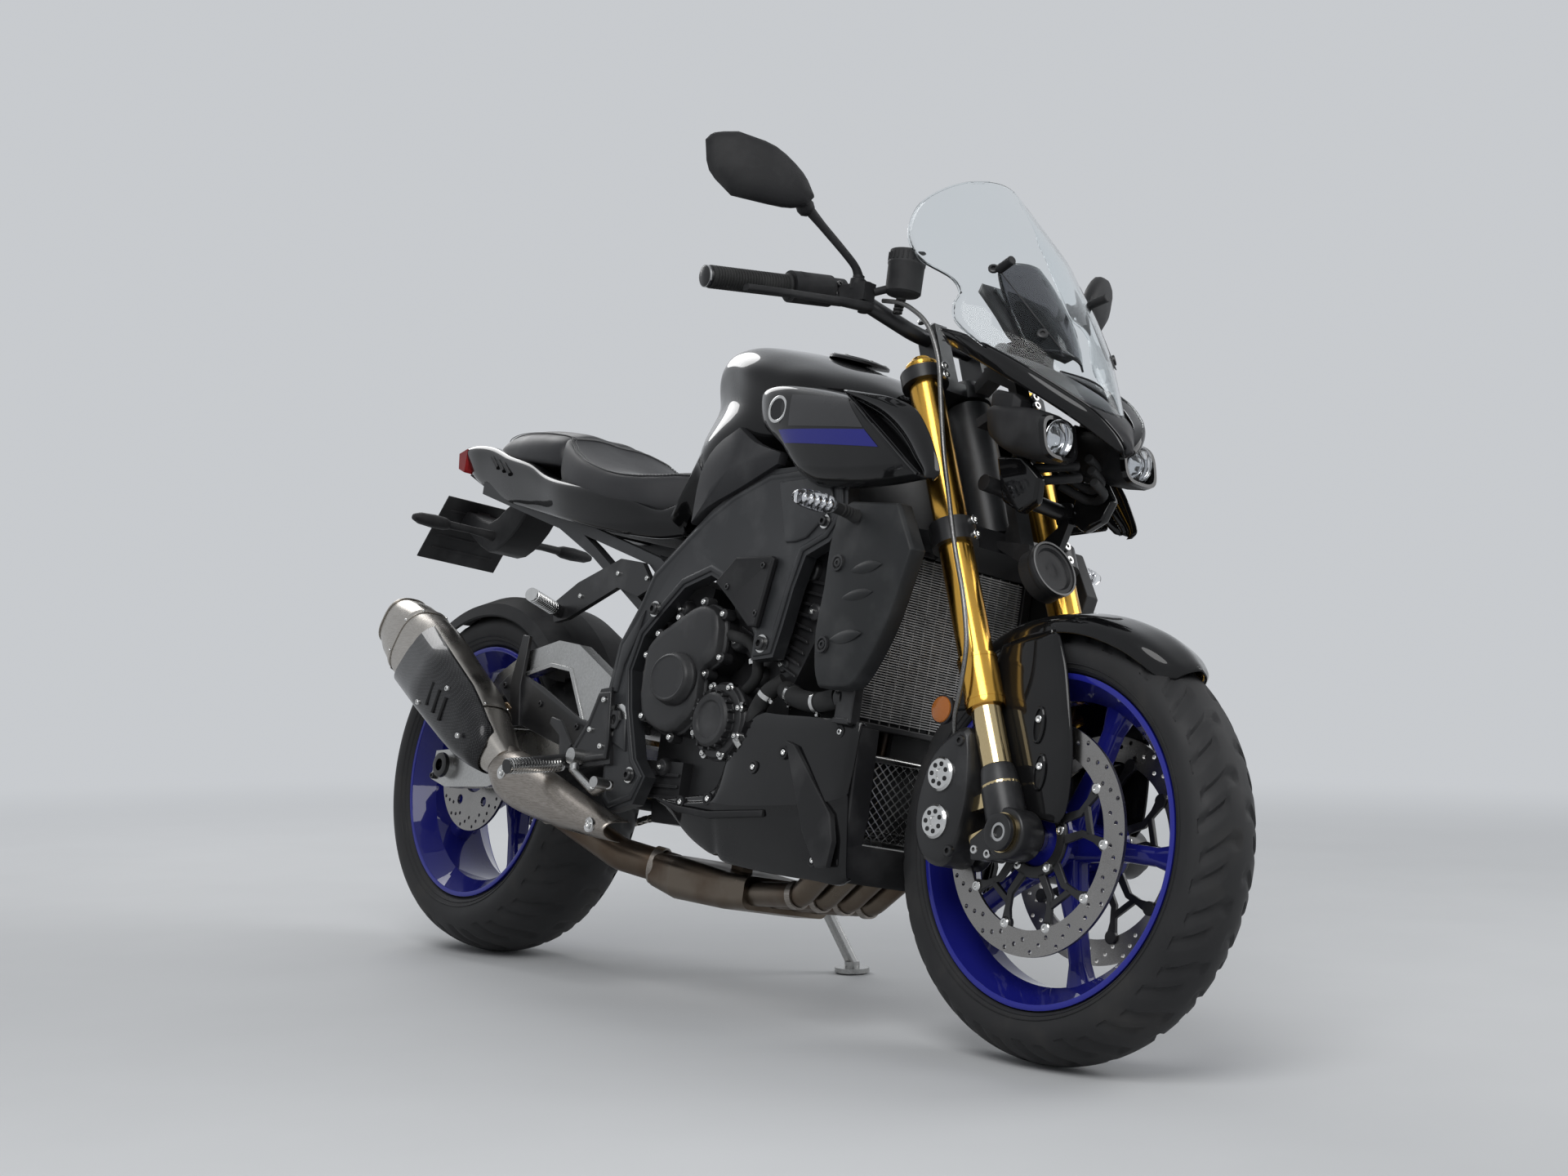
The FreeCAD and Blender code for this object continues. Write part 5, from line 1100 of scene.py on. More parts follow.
def make_disc_spiders():
    """Ten arms, paired, from the hub ring out to the bobbins."""
    arms, buttons, inner = Shape(), Shape(), Shape()
    centre = Vector((0, FRONT_Y, FRONT_Z))
    for side in (1, -1):
        x0, x1 = side * 60, side * 67

        def at(radius, angle, x):
            return centre + Vector((x, radius * math.cos(angle), radius * math.sin(angle)))
        hub = lathe([(0, 38), (0, 54), (7, 54), (7, 38)], centre + Vector((x0, 0, 0)), (side, 0, 0), 60, True)
        arms.join(hub)
        for i in range(5):
            a = 2 * math.pi * i / 5 + 0.31
            for turn in (-1, 1):
                tip = a + turn * math.pi / 10
                foot = a + turn * 0.16
                points = []
                for radius, angle, half in ((50, foot + turn * 0.13, 6.5), (84, a + turn * 0.17, 5.0),
                                        (104, a + turn * 0.25, 5.0),
                                            (122, tip, 8.5)):
                    points.append((radius, angle, half))
                rings = []
                for radius, angle, half in points:
                    spread = half / radius
                    rings.append([at(radius, angle - spread, x0 + side * 1), at(radius, angle + spread, x0 + side * 1),
                                  at(radius, angle + spread, x1), at(radius, angle - spread, x1)])
                arms.join(loft(rings))
                arms.join(lathe([(0, 0), (0, 10), (7, 10), (7, 0)], at(124, tip, x0), (side, 0, 0), 20))
                buttons.join(lathe([(0, 0), (0, 7.5), (5, 7.5), (6.5, 6), (6.5, 3.6), (5, 3.4), (5, 0)],
                                   at(124, tip, side * 64),
                                   (side, 0, 0), 24))
            bridge = []
            for x in (x0 + side * 1, x1):
                bridge.append([at(92, a - 0.2, x), at(92, a + 0.2, x), at(101, a + 0.2, x), at(101, a - 0.2, x)])
            arms.join(loft(bridge))
            inner.join(bolt(at(46, a, x1 - side * 0.2), (side, 0, 0), 7, 3))
    piece("disc_spiders", arms, BLACK_METAL, "front_wheel", ("front_disc_carriers",), bevel=0.8)
    piece("disc_buttons", buttons, BRIGHT, "front_wheel")
    piece("disc_bolts", inner, BRIGHT, "front_wheel")


def tyre_tread(name, node, centre, radius, width, rim_width, body, sets):
    """A carcass whose columns run aslant, so that the grooves sunk into it have clean edges."""
    half = width / 2
    bead_radius, flange = 219.0, 229.0
    bead = rim_width / 2 - 7.1
    depth = radius - bead_radius
    profile = [(bead, flange + 1), (half * 0.9, bead_radius + depth * 0.18), (half * 0.975, bead_radius + depth * 0.3),
               (half, bead_radius + depth * 0.44), (half * 0.97, bead_radius + depth * 0.56),
               (half * 0.88, bead_radius + depth * 0.68), (half * 0.72, bead_radius + depth * 0.81),
               (half * 0.5, bead_radius + depth * 0.91), (half * 0.26, bead_radius + depth * 0.975), (0, radius)]
    right = [Vector((x, 0, r)) for x, r in profile]
    line = spline(right + [Vector((-p.x, 0, p.z)) for p in reversed(right[:-1])], 4)
    rows = len(line)
    per_set = 12
    columns = sets * per_set
    verts, faces = [], []
    for i in range(columns):
        column = i % per_set
        for j, point in enumerate(line):
            share = point.x / half
            sweep = 0.20 * (abs(share) - 0.35) if abs(share) > 0.35 else 0
            angle = 2 * math.pi * (i / columns) + sweep
            long_groove = column in (2, 3) and 0.10 < abs(share) < 0.86 and point.z > bead_radius + depth * 0.66
            short_groove = column in (7, 8) and 0.42 < abs(share) < 0.93 and point.z > bead_radius + depth * 0.60
            if share < 0:
                long_groove = column in (8, 9) and 0.10 < abs(share) < 0.86 and point.z > bead_radius + depth * 0.66
                short_groove = column in (1, 2) and 0.42 < abs(share) < 0.93 and point.z > bead_radius + depth * 0.60
            size = point.z - (4.5 if long_groove or short_groove else 0)
            verts.append(Vector((point.x, centre[0] + size * math.cos(angle), centre[1] + size * math.sin(angle))))
    for i in range(columns):
        k = (i + 1) % columns
        for j in range(rows - 1):
            faces.append((i * rows + j, i * rows + j + 1, k * rows + j + 1, k * rows + j))
    shape = Shape().add(verts, faces)
    middle = Vector((0, *centre))
    for side in (1, -1):
        lip = [(side * bead, flange + 1), (side * bead, bead_radius), (side * (bead - 8), bead_radius),
               (side * (bead - 8), flange + 4)]
        shape.join(lathe(lip, middle, (1, 0, 0), 120))
    bands = Shape()
    for side in (1, -1):
        for x, r in ((half * 0.975, bead_radius + depth * 0.29), (half * 0.93, bead_radius + depth * 0.215)):
            bands.join(lathe([(side * (x - 1), r - 1.4), (side * (x + 1.2), r), (side * (x - 1), r + 1.4)], middle,
                             (1, 0, 0), 144))
    shape.join(bands)
    return piece(name, shape, TYRE, body, (node,))


def make_tyres():
    tyre_tread("front_tread", "front_tyre", (FRONT_Y, FRONT_Z), 300.0, 120.0, 104.0, "front_wheel", 22)
    tyre_tread("rear_tread", "rear_tyre", (REAR_Y, REAR_Z), 320.0, 190.0, 168.0, "rear_wheel", 22)
    # The rim lips take the lighter copy of the wheel blue: painted highlight.
    for name, centre, width, body in (("front_rim_edges", (0, FRONT_Y, FRONT_Z), 104, "front_wheel"),
                                      ("rear_rim_edges", (0, REAR_Y, REAR_Z), 168, "rear_wheel")):
        half = width / 2
        edge = Shape()
        for side in (1, -1):
            edge.join(lathe([(side * (half + 0.3), 221.5), (side * (half + 0.9), 223), (side * (half + 0.9), 228),
                             (side * (half + 0.3), 229.4), (side * (half - 2), 229.4), (side * (half - 2), 221.5)],
                            centre, (1, 0, 0), 144, True))
        piece(name, edge, RIM_LIP_HIGHLIGHT, body)


def make_fender():
    """One moulding: the guard over the tyre, and a blade down the inside of each leg."""
    radius = 306.0
    rows = []
    for degrees, wide, tuck in ((52, 52, 4), (58, 58, 0), (66, 64, 0), (76, 68, 0), (88, 70, 0), (100, 70, 0),
                                (112, 66, 0), (120, 58, 1), (126, 44, 4), (129, 26, 6)):
        a = math.radians(degrees)
        row = []
        for share, sink in ((-1, 30), (-0.96, 14), (-0.8, 3), (-0.45, -4), (0, -9), (0.45, -4), (0.8, 3), (0.96, 14),
                            (1, 30)):
            size = radius + 6 - sink - tuck
            row.append(Vector((wide * share * 1.02, FRONT_Y + size * math.cos(a), FRONT_Z + size * math.sin(a))))
        rows.append(row)
    piece("fender_guard", skin(rows, 5, 4), GLOSS, "steering", ("front_fender",), thick=3)
    stations = (((-598, 566), (-700, 586)), ((-592, 530), (-726, 540)), ((-600, 486), (-746, 486)),
                ((-622, 430), (-760, 430)), ((-650, 380), (-764, 384)), ((-672, 344), (-762, 340)), ((-690, 328),
                                        (-752, 322)))
    rows = []
    for i, (rear, front) in enumerate(stations):
        out = 70 + 10 * min(i, 2) / 2
        rows.append([Vector((out - 2, rear[0] + 3, rear[1])), Vector((out + 2, rear[0] - 8, rear[1])),
                     Vector((out + 4, (rear[0] * 2 + front[0]) / 3, (rear[1] * 2 + front[1]) / 3)),
                     Vector((out + 4, (rear[0] + front[0] * 2) / 3, (rear[1] + front[1] * 2) / 3)),
                     Vector((out + 2, front[0] + 8, front[1])), Vector((out - 2, front[0], front[1]))])
    piece("fender_blades", skin(rows, 5, 4).both(), GLOSS, "steering", thick=3)
    rims, screws, dark = Shape(), Shape(), Shape()
    for side in (1, -1):
        for y, z in ((-700, 452), (-712, 388)):
            loops = []
            for x, grow in ((82, 0), (86.5, 0), (88, -1.5), (88, -4), (82, -5)):
                ring = []
                for k in range(24):
                    a = 2 * math.pi * k / 24
                    ring.append(Vector((side * x, y + (11 + grow) * math.cos(a) + (z - 420) * 0,
                                        z + (26 + grow) * math.sin(a))))
                loops.append(ring)
            rims.join(loft(loops, False))
            # A dark sheet inside each slot rim: painted shade standing in for the opening.
            dark.join(loft([[Vector((side * x, y + 8 * math.cos(2 * math.pi * k / 24),
                                    z + 22 * math.sin(2 * math.pi * k / 24)))
                             for k in range(24)] for x in (84.6, 85.4)]))
            screws.join(bolt(Vector((side * 85, y, z + 8)), (side, 0, 0), 5.5, 3.5))
    piece("fender_slot_rims", rims, GLOSS, "steering")
    piece("fender_slot_shades", dark, RECESS_SHADE, "steering")
    piece("fender_screws", screws, BRIGHT, "steering")


# ---------------------------------------------------------------- frame, engine and cooling
def offset_outline(points, distance):
    """An outline moved inwards, corner by corner."""
    pairs = list(zip(points, points[1:] + points[:1]))
    turn = 1 if sum(a[0] * b[1] - b[0] * a[1] for a, b in pairs) > 0 else -1
    made = []
    for before, here, after in zip(points[-1:] + points[:-1], points, points[1:] + points[:1]):
        run_in = (Vector(here) - Vector(before)).normalized()
        run_out = (Vector(after) - Vector(here)).normalized()
        normal_in = Vector((-run_in.y, run_in.x))
        normal = (normal_in + Vector((-run_out.y, run_out.x))).normalized()
        reach = distance * turn / max(normal.dot(normal_in), 0.5)
        made.append((here[0] + normal.x * reach, here[1] + normal.y * reach))
    return made


def carved(outline, steps):
    """A plate whose face steps in and out: (x, inset) pairs from the back to the face."""
    return loft([[Vector((x, y, z)) for y, z in offset_outline(outline, inset)] for x, inset in steps])


SPAR = [(180, 545), (139, 607), (114, 658), (37, 716), (-14, 752), (-70, 781), (-155, 810), (-322, 815),
        (-337, 744), (-307, 706), (-256, 686), (-238, 633), (-223, 573), (-211, 530), (-170, 525), (-170, 562),
        (-113, 630), (-36, 660), (31, 640), (74, 604), (124, 560), (145, 500), (129, 435), (98, 357), (68, 330),
        (89, 291), (148, 274), (168, 289), (176, 366), (192, 460)]


def make_frame():
    faces = carved(SPAR, ((170.5, 0), (174.5, 0.5), (176, 3), (176, 7), (174, 10)))
    piece("frame_faces", faces.both(), FRAME, bevel=0.8)
    ribs = Shape()
    for outline in ([(-300, 800), (-180, 796), (-214, 700), (-236, 700), (-262, 706), (-318, 752)],
                    [(120, 600), (170, 540), (182, 462), (166, 462), (158, 508), (130, 562)],
                    [(130, 420), (160, 420), (160, 380), (120, 366)]):
        ribs.join(carved(outline, ((173, 0), (177.5, 1), (178.5, 4))))
    piece("frame_swellings", ribs.both(), FRAME, bevel=1.5)
    cover = carved([(-65, 641), (-110, 679), (-196, 679), (-203, 674), (-180, 570), (-161, 570), (-111, 609)],
                   ((176, 0), (184, 0), (186, 3), (184.6, 9)))
    piece("frame_side_plates", cover.both(), MATTE, bevel=1.2)
    bolts, rings = Shape(), Shape()
    for y, z, size in ((-190, 545, 11), (95, 600, 10), (100, 330, 10), (-262, 770, 9), (-300, 730, 8)):
        bolts.join(bolt((176, y, z), (1, 0, 0), size, 7))
        rings.join(lathe([(0, size + 3), (1.6, size + 3), (1.6, size - 1), (0, size - 1)], (175.6, y, z), (1, 0, 0),
                         32, True))
    for y, z in ((-180, 664), (-98, 632), (-176, 590)):
        bolts.join(bolt((184.5, y, z), (1, 0, 0), 5, 3))
    rings.join(lathe([(0, 18), (3, 18), (4, 21), (4, 26), (2, 28), (0, 28)], (172, 157, 417), (1, 0, 0), 40))
    hexes = lathe([(0, 0), (0, 17), (10, 17), (11, 15), (11, 9), (6, 8), (6, 0)], (172, 157, 417), (1, 0, 0), 6)
    piece("frame_bolts", bolts.both(), BLACK_METAL)
    piece("frame_washers", rings.both(), BRIGHT)
    piece("pivot_nuts", hexes.both(), BLACK_METAL, bevel=0.6)


def ring_bolts(centre, radius, count, x, size=5.5, first=0.2, height=5, side=-1):
    made = Shape()
    for i in range(count):
        a = first + 2 * math.pi * i / count
        place = Vector((x, centre[0] + radius * math.cos(a), centre[1] + radius * math.sin(a)))
        made.join(bolt(place, (side, 0, 0), size, height))
        made.join(rod(place - Vector((side * 10, 0, 0)), place, size + 3, 14))
    return made


def make_engine():
    covers, bolts, bands = Shape(), Shape(), Shape()
    clutch = [(98, 430), (108, 525), (85, 558), (37, 584), (-21, 608), (-70, 590), (-76, 526), (-44, 500), (-41, 440),
              (20, 400)]
    soft = smooth_outline(clutch, 3)
    covers.join(carved(soft, ((-112, 0), (-150, 0), (-152, -3), (-158, -3), (-160, 0), (-172, 3), (-176, 8),
                            (-177, 16))))
    rings = []
    for x, share in ((-176, 1.06), (-181, 1.05), (-184, 1.0), (-190, 0.97), (-194, 0.9), (-195, 0.84), (-193.5, 0.8),
                     (-193.5, 0.5)):
        rings.append([Vector((x, 12 + 50 * share * math.cos(a), 487 + 41 * share * math.sin(a)))
                      for a in (2 * math.pi * k / 40 for k in range(40))])
    covers.join(loft(rings))
    for i, (y, z) in enumerate(offset_outline(clutch, -4)):
        place = Vector((-160, y, z))
        bolts.join(bolt(place + Vector((-6, 0, 0)), (-1, 0, 0), 4.8, 4))
        covers.join(rod(place + Vector((14, 0, 0)), place - Vector((6, 0, 0)), 8.5, 18))
    ignition = (-92, 426)
    covers.join(lathe([(0, 60), (36, 60), (38, 62), (44, 62), (46, 59), (52, 57), (54, 50), (54, 44), (66, 43),
                       (70, 38),
                       (69, 30), (66, 28), (66, 0)], (-112, *ignition), (-1, 0, 0), 60))
    for i in range(18):
        a = 2 * math.pi * i / 18
        tip = Vector((-172, ignition[0] + 45.5 * math.cos(a), ignition[1] + 45.5 * math.sin(a)))
        bands.join(rod(tip + Vector((6, 0, 0)), tip - Vector((7, 0, 0)), 2.4, 8))
    bolts.join(ring_bolts(ignition, 56, 8, -164, 4.8, 0.4))
    piece("right_case_covers", covers, ENGINE, stands_for=("right_engine_cover",), bevel=1.2)
    piece("right_case_ribs", bands, ENGINE)
    piece("right_case_bolts", bolts, BRIGHT)

    left = Shape()
    generator = (-70, 440)
    left.join(lathe([(0, 84), (24, 84), (26, 87), (32, 87), (34, 83), (44, 80), (47, 72), (48, 62), (60, 60), (63, 52),
                     (62, 40), (58, 36), (58, 0)], (118, *generator), (1, 0, 0), 72))
    left.join(lathe([(0, 62), (18, 62), (20, 58), (21, 40), (19, 30), (19, 0)], (126, 62, 405), (1, 0, 0), 60))
    piece("left_case_covers", left, ENGINE, stands_for=("left_engine_cover",), bevel=1.0)
    left_bolts = ring_bolts(generator, 80, 9, 152, 5.5, 0.1, 5, 1)
    for a in (0.4, 1.9, 3.6, 5.2):
        left_bolts.join(bolt((145, 62 + 52 * math.cos(a), 405 + 52 * math.sin(a)), (1, 0, 0), 5.5, 4))
    piece("left_case_bolts", left_bolts, BRIGHT)

    ribs = Shape()
    low_back, low_front = Vector((-92, 560)), Vector((-232, 500))
    top_back, top_front = Vector((-66, 672)), Vector((-280, 640))
    for i in range(9):
        t = i / 8
        a, b = low_back.lerp(top_back, t), low_front.lerp(top_front, t)
        lift = Vector((2.5, 5))
        ribs.join(prism([tuple(a), tuple(b), tuple(b + lift), tuple(a + lift)], 131, 137))
    for z in (300, 318, 336):
        ribs.join(prism([(24, z), (114, z), (114, z + 5), (24, z + 5)], 131, 136))
    piece("cylinder_ribs", ribs.both(), ENGINE, bevel=0.8)
    lumps, screws = Shape(), Shape()
    for y, z, size, long in ((-150, 500, 17, 28), (-196, 520, 13, 20), (-92, 552, 14, 22), (60, 604, 15, 22),
                            (92, 560, 11, 18),
                             (-262, 600, 14, 16), (-240, 664, 16, 14), (-160, 700, 15, 10), (66, 350, 15, 26),
                             (-150, 350, 18, 22), (-120, 310, 13, 18)):
        lumps.join(lathe([(0, size + 2), (long * 0.4, size + 1), (long * 0.8, size), (long, size - 3), (long, 0)],
                         (128 if abs(z - 400) > 150 else 116, y, z), (1, 0, 0), 28))
        screws.join(bolt(((128 if abs(z - 400) > 150 else 116) + long, y, z), (1, 0, 0), 4.6, 4))
    piece("engine_bosses", lumps.both(), ENGINE, bevel=1)
    piece("engine_boss_bolts", screws.both(), BRIGHT)

    pipe = tube([Vector((-156, -146, 452)), Vector((-163, -112, 450)), Vector((-166, -84, 440)),
                 Vector((-166, -76, 424)),
                 Vector((-164, -92, 410)), Vector((-160, -128, 404)), Vector((-156, -152, 388))], 6.5, 16, 6)
    piece("water_elbow", pipe, ALLOY)
    hoses = Shape()
    for line, size in (([(-134, -20, 566), (-150, -80, 562), (-152, -140, 545), (-150, -158, 500), (-140, -114, 470)],
                        9),
                       ([(-140, -214, 494), (-150, -190, 474), (-150, -168, 444), (-140, -150, 420)], 13),
                       ([(-150, -352, 470), (-156, -318, 462), (-152, -270, 466), (-140, -220, 480)], 15),
                       ([(-128, -300, 420), (-140, -250, 410), (-140, -200, 400), (-122, -160, 380)], 9),
                       ([(130, -340, 660), (142, -300, 650), (142, -250, 600), (132, -214, 560)], 15)):
        hoses.join(tube([Vector(p) for p in line], size, 18, 6))
    piece("coolant_pipes", hoses, RUBBER)
    clamps = Shape()
    for place, heading, size in (((-156, -318, 462), (0.1, 1, -0.1), 15), ((-146, -246, 472), (0.3, 1, 0.3), 15),
                                 ((-150, -188, 471), (0, 0.6, -0.8), 13), ((-151, -150, 520), (0, -0.2, -1), 9),
                                 ((142, -290, 640), (0, 0.6, -0.8), 15)):
        clamps.join(lathe([(-4, size), (-4, size + 1.6), (4, size + 1.6), (4, size)], place, heading, 32, True))
        across_way = square_axes(heading)[0]
        clamps.join(rod(Vector(place) + across_way * (size + 4) - Vector(heading) * 3,
                        Vector(place) + across_way * (size + 4) + Vector(heading) * 3, 3.4, 10))
    piece("hose_clamps", clamps, BRIGHT)


def make_radiators():
    fins = Shape()
    count = 66
    for i in range(count):
        z = 446 + (690 - 446) * i / (count - 1)
        y = -395 - 8 * (z - 432) / 268
        fins.join(prism([(y - 1.5, z - 0.8), (y - 1.5, z + 0.8), (y + 2.5, z + 0.9), (y + 2.5, z - 0.9)], -146, 146))
    for i in range(15):
        x = -140 + 20 * i
        fins.join(prism([(-393.5, 440), (-401, 694), (-392, 694), (-384, 440)], x, x + 1.2))
    piece("radiator_fins", fins, FIN)
    # The dark core behind the fins: its own black, and painted shade standing in for the depth between the fins.
    core = Shape().join(prism([(-391, 440), (-398, 694), (-374, 697), (-367, 441)], -150, 150))
    for x in (-107, 93):
        core.join(prism([(-374, 686), (-280, 686), (-280, 670), (-373, 670)], x, x + 14))
    piece("radiator_core", core, RECESS_SHADE, stands_for=("radiator",), bevel=0.6)
    tanks = Shape()
    for side in (1, -1):
        tanks.join(loft([[Vector((side * x, y + 8 * (z > 560) * -1, z)) for y, z in ((-404, 432), (-366, 435),
                                (-372, 704), (-400, 700))]
                         for x in (147, 152, 165)]))
        tanks.join(lathe([(0, 17), (16, 17), (18, 14), (18, 0)], (side * 150, -376, 660 if side > 0 else 470),
                         (0, 1, 0), 24))
    tanks.join(prism([(-402, 696), (-368, 698), (-368, 706), (-403, 705)], -166, 166))
    tanks.join(prism([(-399, 430), (-364, 432), (-364, 440), (-398, 440)], -166, 166))
    piece("radiator_tanks", tanks, BLACK_METAL, bevel=2)
    fan = Shape()
    for i in range(7):
        a = 2 * math.pi * i / 7
        fan.join(loft([[Vector((20 + math.cos(a + da) * r, -355 + k, 570 + math.sin(a + da) * r)) for r, k in ((30,
                                0), (92, 0), (92, 3), (30, 3))]
                       for da in (-0.16, 0.2)]))
    fan.join(lathe([(0, 96), (18, 96), (18, 101), (0, 101)], (20, -362, 570), (0, 1, 0), 48, True))
    fan.join(lathe([(0, 34), (14, 34), (20, 26), (20, 0)], (20, -360, 570), (0, 1, 0), 32))
    piece("radiator_fan", fan, MATTE)

    lattice = Shape()
    y0, z0, z1 = -390.0, 270.0, 388.0
    tall = z1 - z0
    for i in range(-14, 15):
        for lean in (1, -1):
            ends = []
            x_start = i * 16.0
            for t in (0.0, 1.0):
                ends.append((x_start + lean * tall * 0.55 * (t - 0.5) * 2, z0 + tall * t))
            (xa, za), (xb, zb) = ends
            clipped = []
            for x, z in ((xa, za), (xb, zb)):
                if abs(x) > 106:
                    edge = 106 if x > 0 else -106
                    if xa == xb:
                        break
                    z = za + (zb - za) * (edge - xa) / (xb - xa)
                    x = edge
                clipped.append((x, z))
            if len(clipped) < 2 or not z0 <= clipped[0][1] <= z1 or not z0 <= clipped[1][1] <= z1:
                continue
            a, b = (Vector((x, y0 - (z - z0) * 0.03 + 0.5 * lean, z)) for x, z in clipped)
            if (b - a).length > 6:
                lattice.join(rod(a, b, 1.0, 6))
    piece("cooler_lattice", lattice, STEEL)
    rails = Shape()
    for low, high in (((-110, -389, 268), (110, -389, 268)), ((-110, -393, 390), (110, -393, 390))):
        rails.join(rod(low, high, 5.5, 14))
    for x in (-109, 109):
        rails.join(rod((x, -389, 266), (x, -393, 392), 4.5, 12))
    for z in range(278, 388, 8):
        rails.join(prism([(-385, z), (-385, z + 2.2), (-380, z + 2.2), (-380, z)], -104, 104))
    piece("cooler_rails", rails, ALLOY, bevel=0.4)

    outline = [(-350, 739), (-374, 754), (-479, 747), (-520, 680), (-493, 588), (-466, 531), (-436, 489), (-412, 479),
               (-356, 479), (-343, 505), (-334, 563), (-340, 624), (-341, 691)]
    soft = smooth_outline(outline, 3, keep=(0, 1, 2, 3, 8))
    shell = pillow(soft, 190, 10, 22, lip=5)
    piece("radiator_side_covers", shell.both(), COVER, stands_for=("radiator_covers",), bevel=1.5)
    ridges, screws = Shape(), Shape()
    for y, z in ((-436, 652), (-424, 612), (-412, 552)):
        rows = []
        for s in (-1, -0.6, -0.2, 0.2, 0.6, 1):
            width = 9 * (1 - s * s) + 0.4
            rows.append([Vector((203.5 + 4.5 * (1 - s * s) * (1 - w * w), y + s * 34,
                                 z + w * width - s * 5)) for w in (-1, -0.5, 0, 0.5, 1)])
        ridges.join(skin(rows, 4, 3))
    piece("cover_ridges", ridges.both(), COVER)
    for y, z in ((-376, 660), (-366, 540)):
        screws.join(lathe([(0, 13), (3.5, 12), (3.5, 9), (0.8, 8), (0.8, 0)], (203.5, y, z), (1, 0, 0), 32))
        screws.join(bolt((203.5, y, z), (1, 0, 0), 6.5, 3.2))
    piece("cover_screws", screws.both(), BLACK_METAL)
    feet = Shape()
    for y, z in ((-388, 686), (-381, 500)):
        feet.join(rod((160, y, z), (192, y, z), 8, 18))
    piece("cover_posts", feet.both(), BLACK_METAL, bevel=0.5)

    lamps, stalks = Shape(), Shape()
    rings = []
    for x, half, tall in ((240, 6, 6), (252, 15, 13), (274, 18, 15), (300, 16, 13), (314, 11, 9), (318, 5, 4)):
        rings.append([Vector((x, -396 + half * math.cos(a),
                              735 + tall * math.sin(a))) for a in (2 * math.pi * k / 28 for k in range(28))])
    lamps.join(loft(rings))
    piece("turn_signal_lenses", lamps.both(), LENS, stands_for=("front_indicators",))
    inner = Shape()
    for i in range(5):
        inner.join(lathe([(0, 0), (0, 4.5), (3, 5.5), (6, 3.5), (7, 0)], (256 + 11 * i, -396, 735), (0, -1, 0), 14))
    inner.join(loft([[Vector((x, -392 + dy, 735 + dz)) for dy, dz in ((0, -8), (4, -8), (4, 8),
                            (0, 8))] for x in (248, 308)]))
    piece("turn_signal_reflectors", inner.both(), REFLECTOR, bevel=0.5)
    stalks.join(tube([Vector((202, -400, 728)), Vector((220, -399, 730)), Vector((244, -397, 734))], 8, 16, 4,
                     [11, 7.5, 9]))
    for i in range(4):
        stalks.join(lathe([(0, 7), (1, 9.4), (3, 9.4), (4, 7)], (209 + i * 6, -399.4, 729 + i), (1, 0, 0.15), 20))
    piece("turn_signal_stalks", stalks.both(), RUBBER)


# ---------------------------------------------------------------- exhaust, belly pan, rear end
def make_belly():
    stations = (  # y, top z, crease z, bottom z; top x, crease x, bottom x
        (-412, 434, 330, 214, 150, 158, 140), (-396, 436, 322, 204, 156, 165, 146), (-340, 436, 312, 206, 160, 168,
                                148),
        (-240, 437, 304, 208, 160, 170, 148), (-160, 437, 300, 212, 158, 170, 147), (-128, 400, 300, 216, 157, 170,
                                147),
        (-112, 340, 298, 224, 158, 169, 147), (-90, 316, 294, 226, 160, 168, 147), (-40, 308, 291, 246, 160, 167, 150),
        (0, 303, 292, 274, 160, 165, 156), (34, 300, 297, 292, 160, 162, 158))
    rows = []
    for y, top, crease, low, x_top, x_crease, x_low in stations:
        rows.append([Vector((x_top - 10, y, top)), Vector((x_top - 1, y, top - 2)),
                     Vector((x_top + (x_crease - x_top) * 0.4, y, top + (crease - top) * 0.55)),
                     Vector((x_crease, y, crease + 3)), Vector((x_crease - 2, y, crease - 4)),
                     Vector((x_low + (x_crease - x_low) * 0.4, y, low + (crease - low) * 0.4)),
                     Vector((x_low, y, low + 2)), Vector((x_low - 10, y, low - 3))])
    piece("belly_sides", skin(rows, 4, 3).both(), GLOSS, stands_for=("belly_pan",), thick=3)
    nose = []
    for z, y, half in ((206, -404, 142), (226, -408, 146), (250, -412, 150), (262, -411, 150)):
        nose.append([Vector((half * s, y + 8 * s * s, z)) for s in (-1, -0.7, -0.35, 0, 0.35, 0.7, 1)])
    piece("belly_chin", skin(nose, 4, 4), MATTE, thick=3)
    cheeks = carved([(-410, 430), (-412, 300), (-400, 226), (-388, 250), (-386, 392), (-396, 430)],
                    ((112, 0), (118, 0), (149, 0), (151, 2)))
    piece("belly_cheeks", cheeks.both(), MATTE, bevel=2)
    strips = Shape()
    strips.join(carved([(-270, 402), (-292, 396), (-392, 300), (-404, 262), (-398, 224), (-374, 222), (-336, 270)],
                       ((160, 0), (169.5, 0), (171.2, 2.5))))
    strips.join(carved([(36, 300), (-30, 290), (-106, 286), (-240, 296), (-240, 286), (-108, 275), (-30, 280)],
                       ((160, 0), (170.5, 0), (172, 2))))
    piece("belly_strips", strips.both(), MATTE, bevel=1)
    screws, cups = Shape(), Shape()
    for y, z, x in ((-265, 384, 166), (-354, 232, 158), (-32, 296, 167), (-198, 359, 166), (-376, 420, 158),
                    (-101, 305, 168)):
        cups.join(lathe([(-4, 10), (1.2, 10), (1.2, 6.5), (-1, 6)], (x, y, z), (1, 0, 0), 28))
        screws.join(bolt((x - 1, y, z), (1, 0, 0), 4.6, 3))
    piece("belly_screws", screws.both(), BRIGHT)
    piece("belly_cups", cups.both(), MATTE)


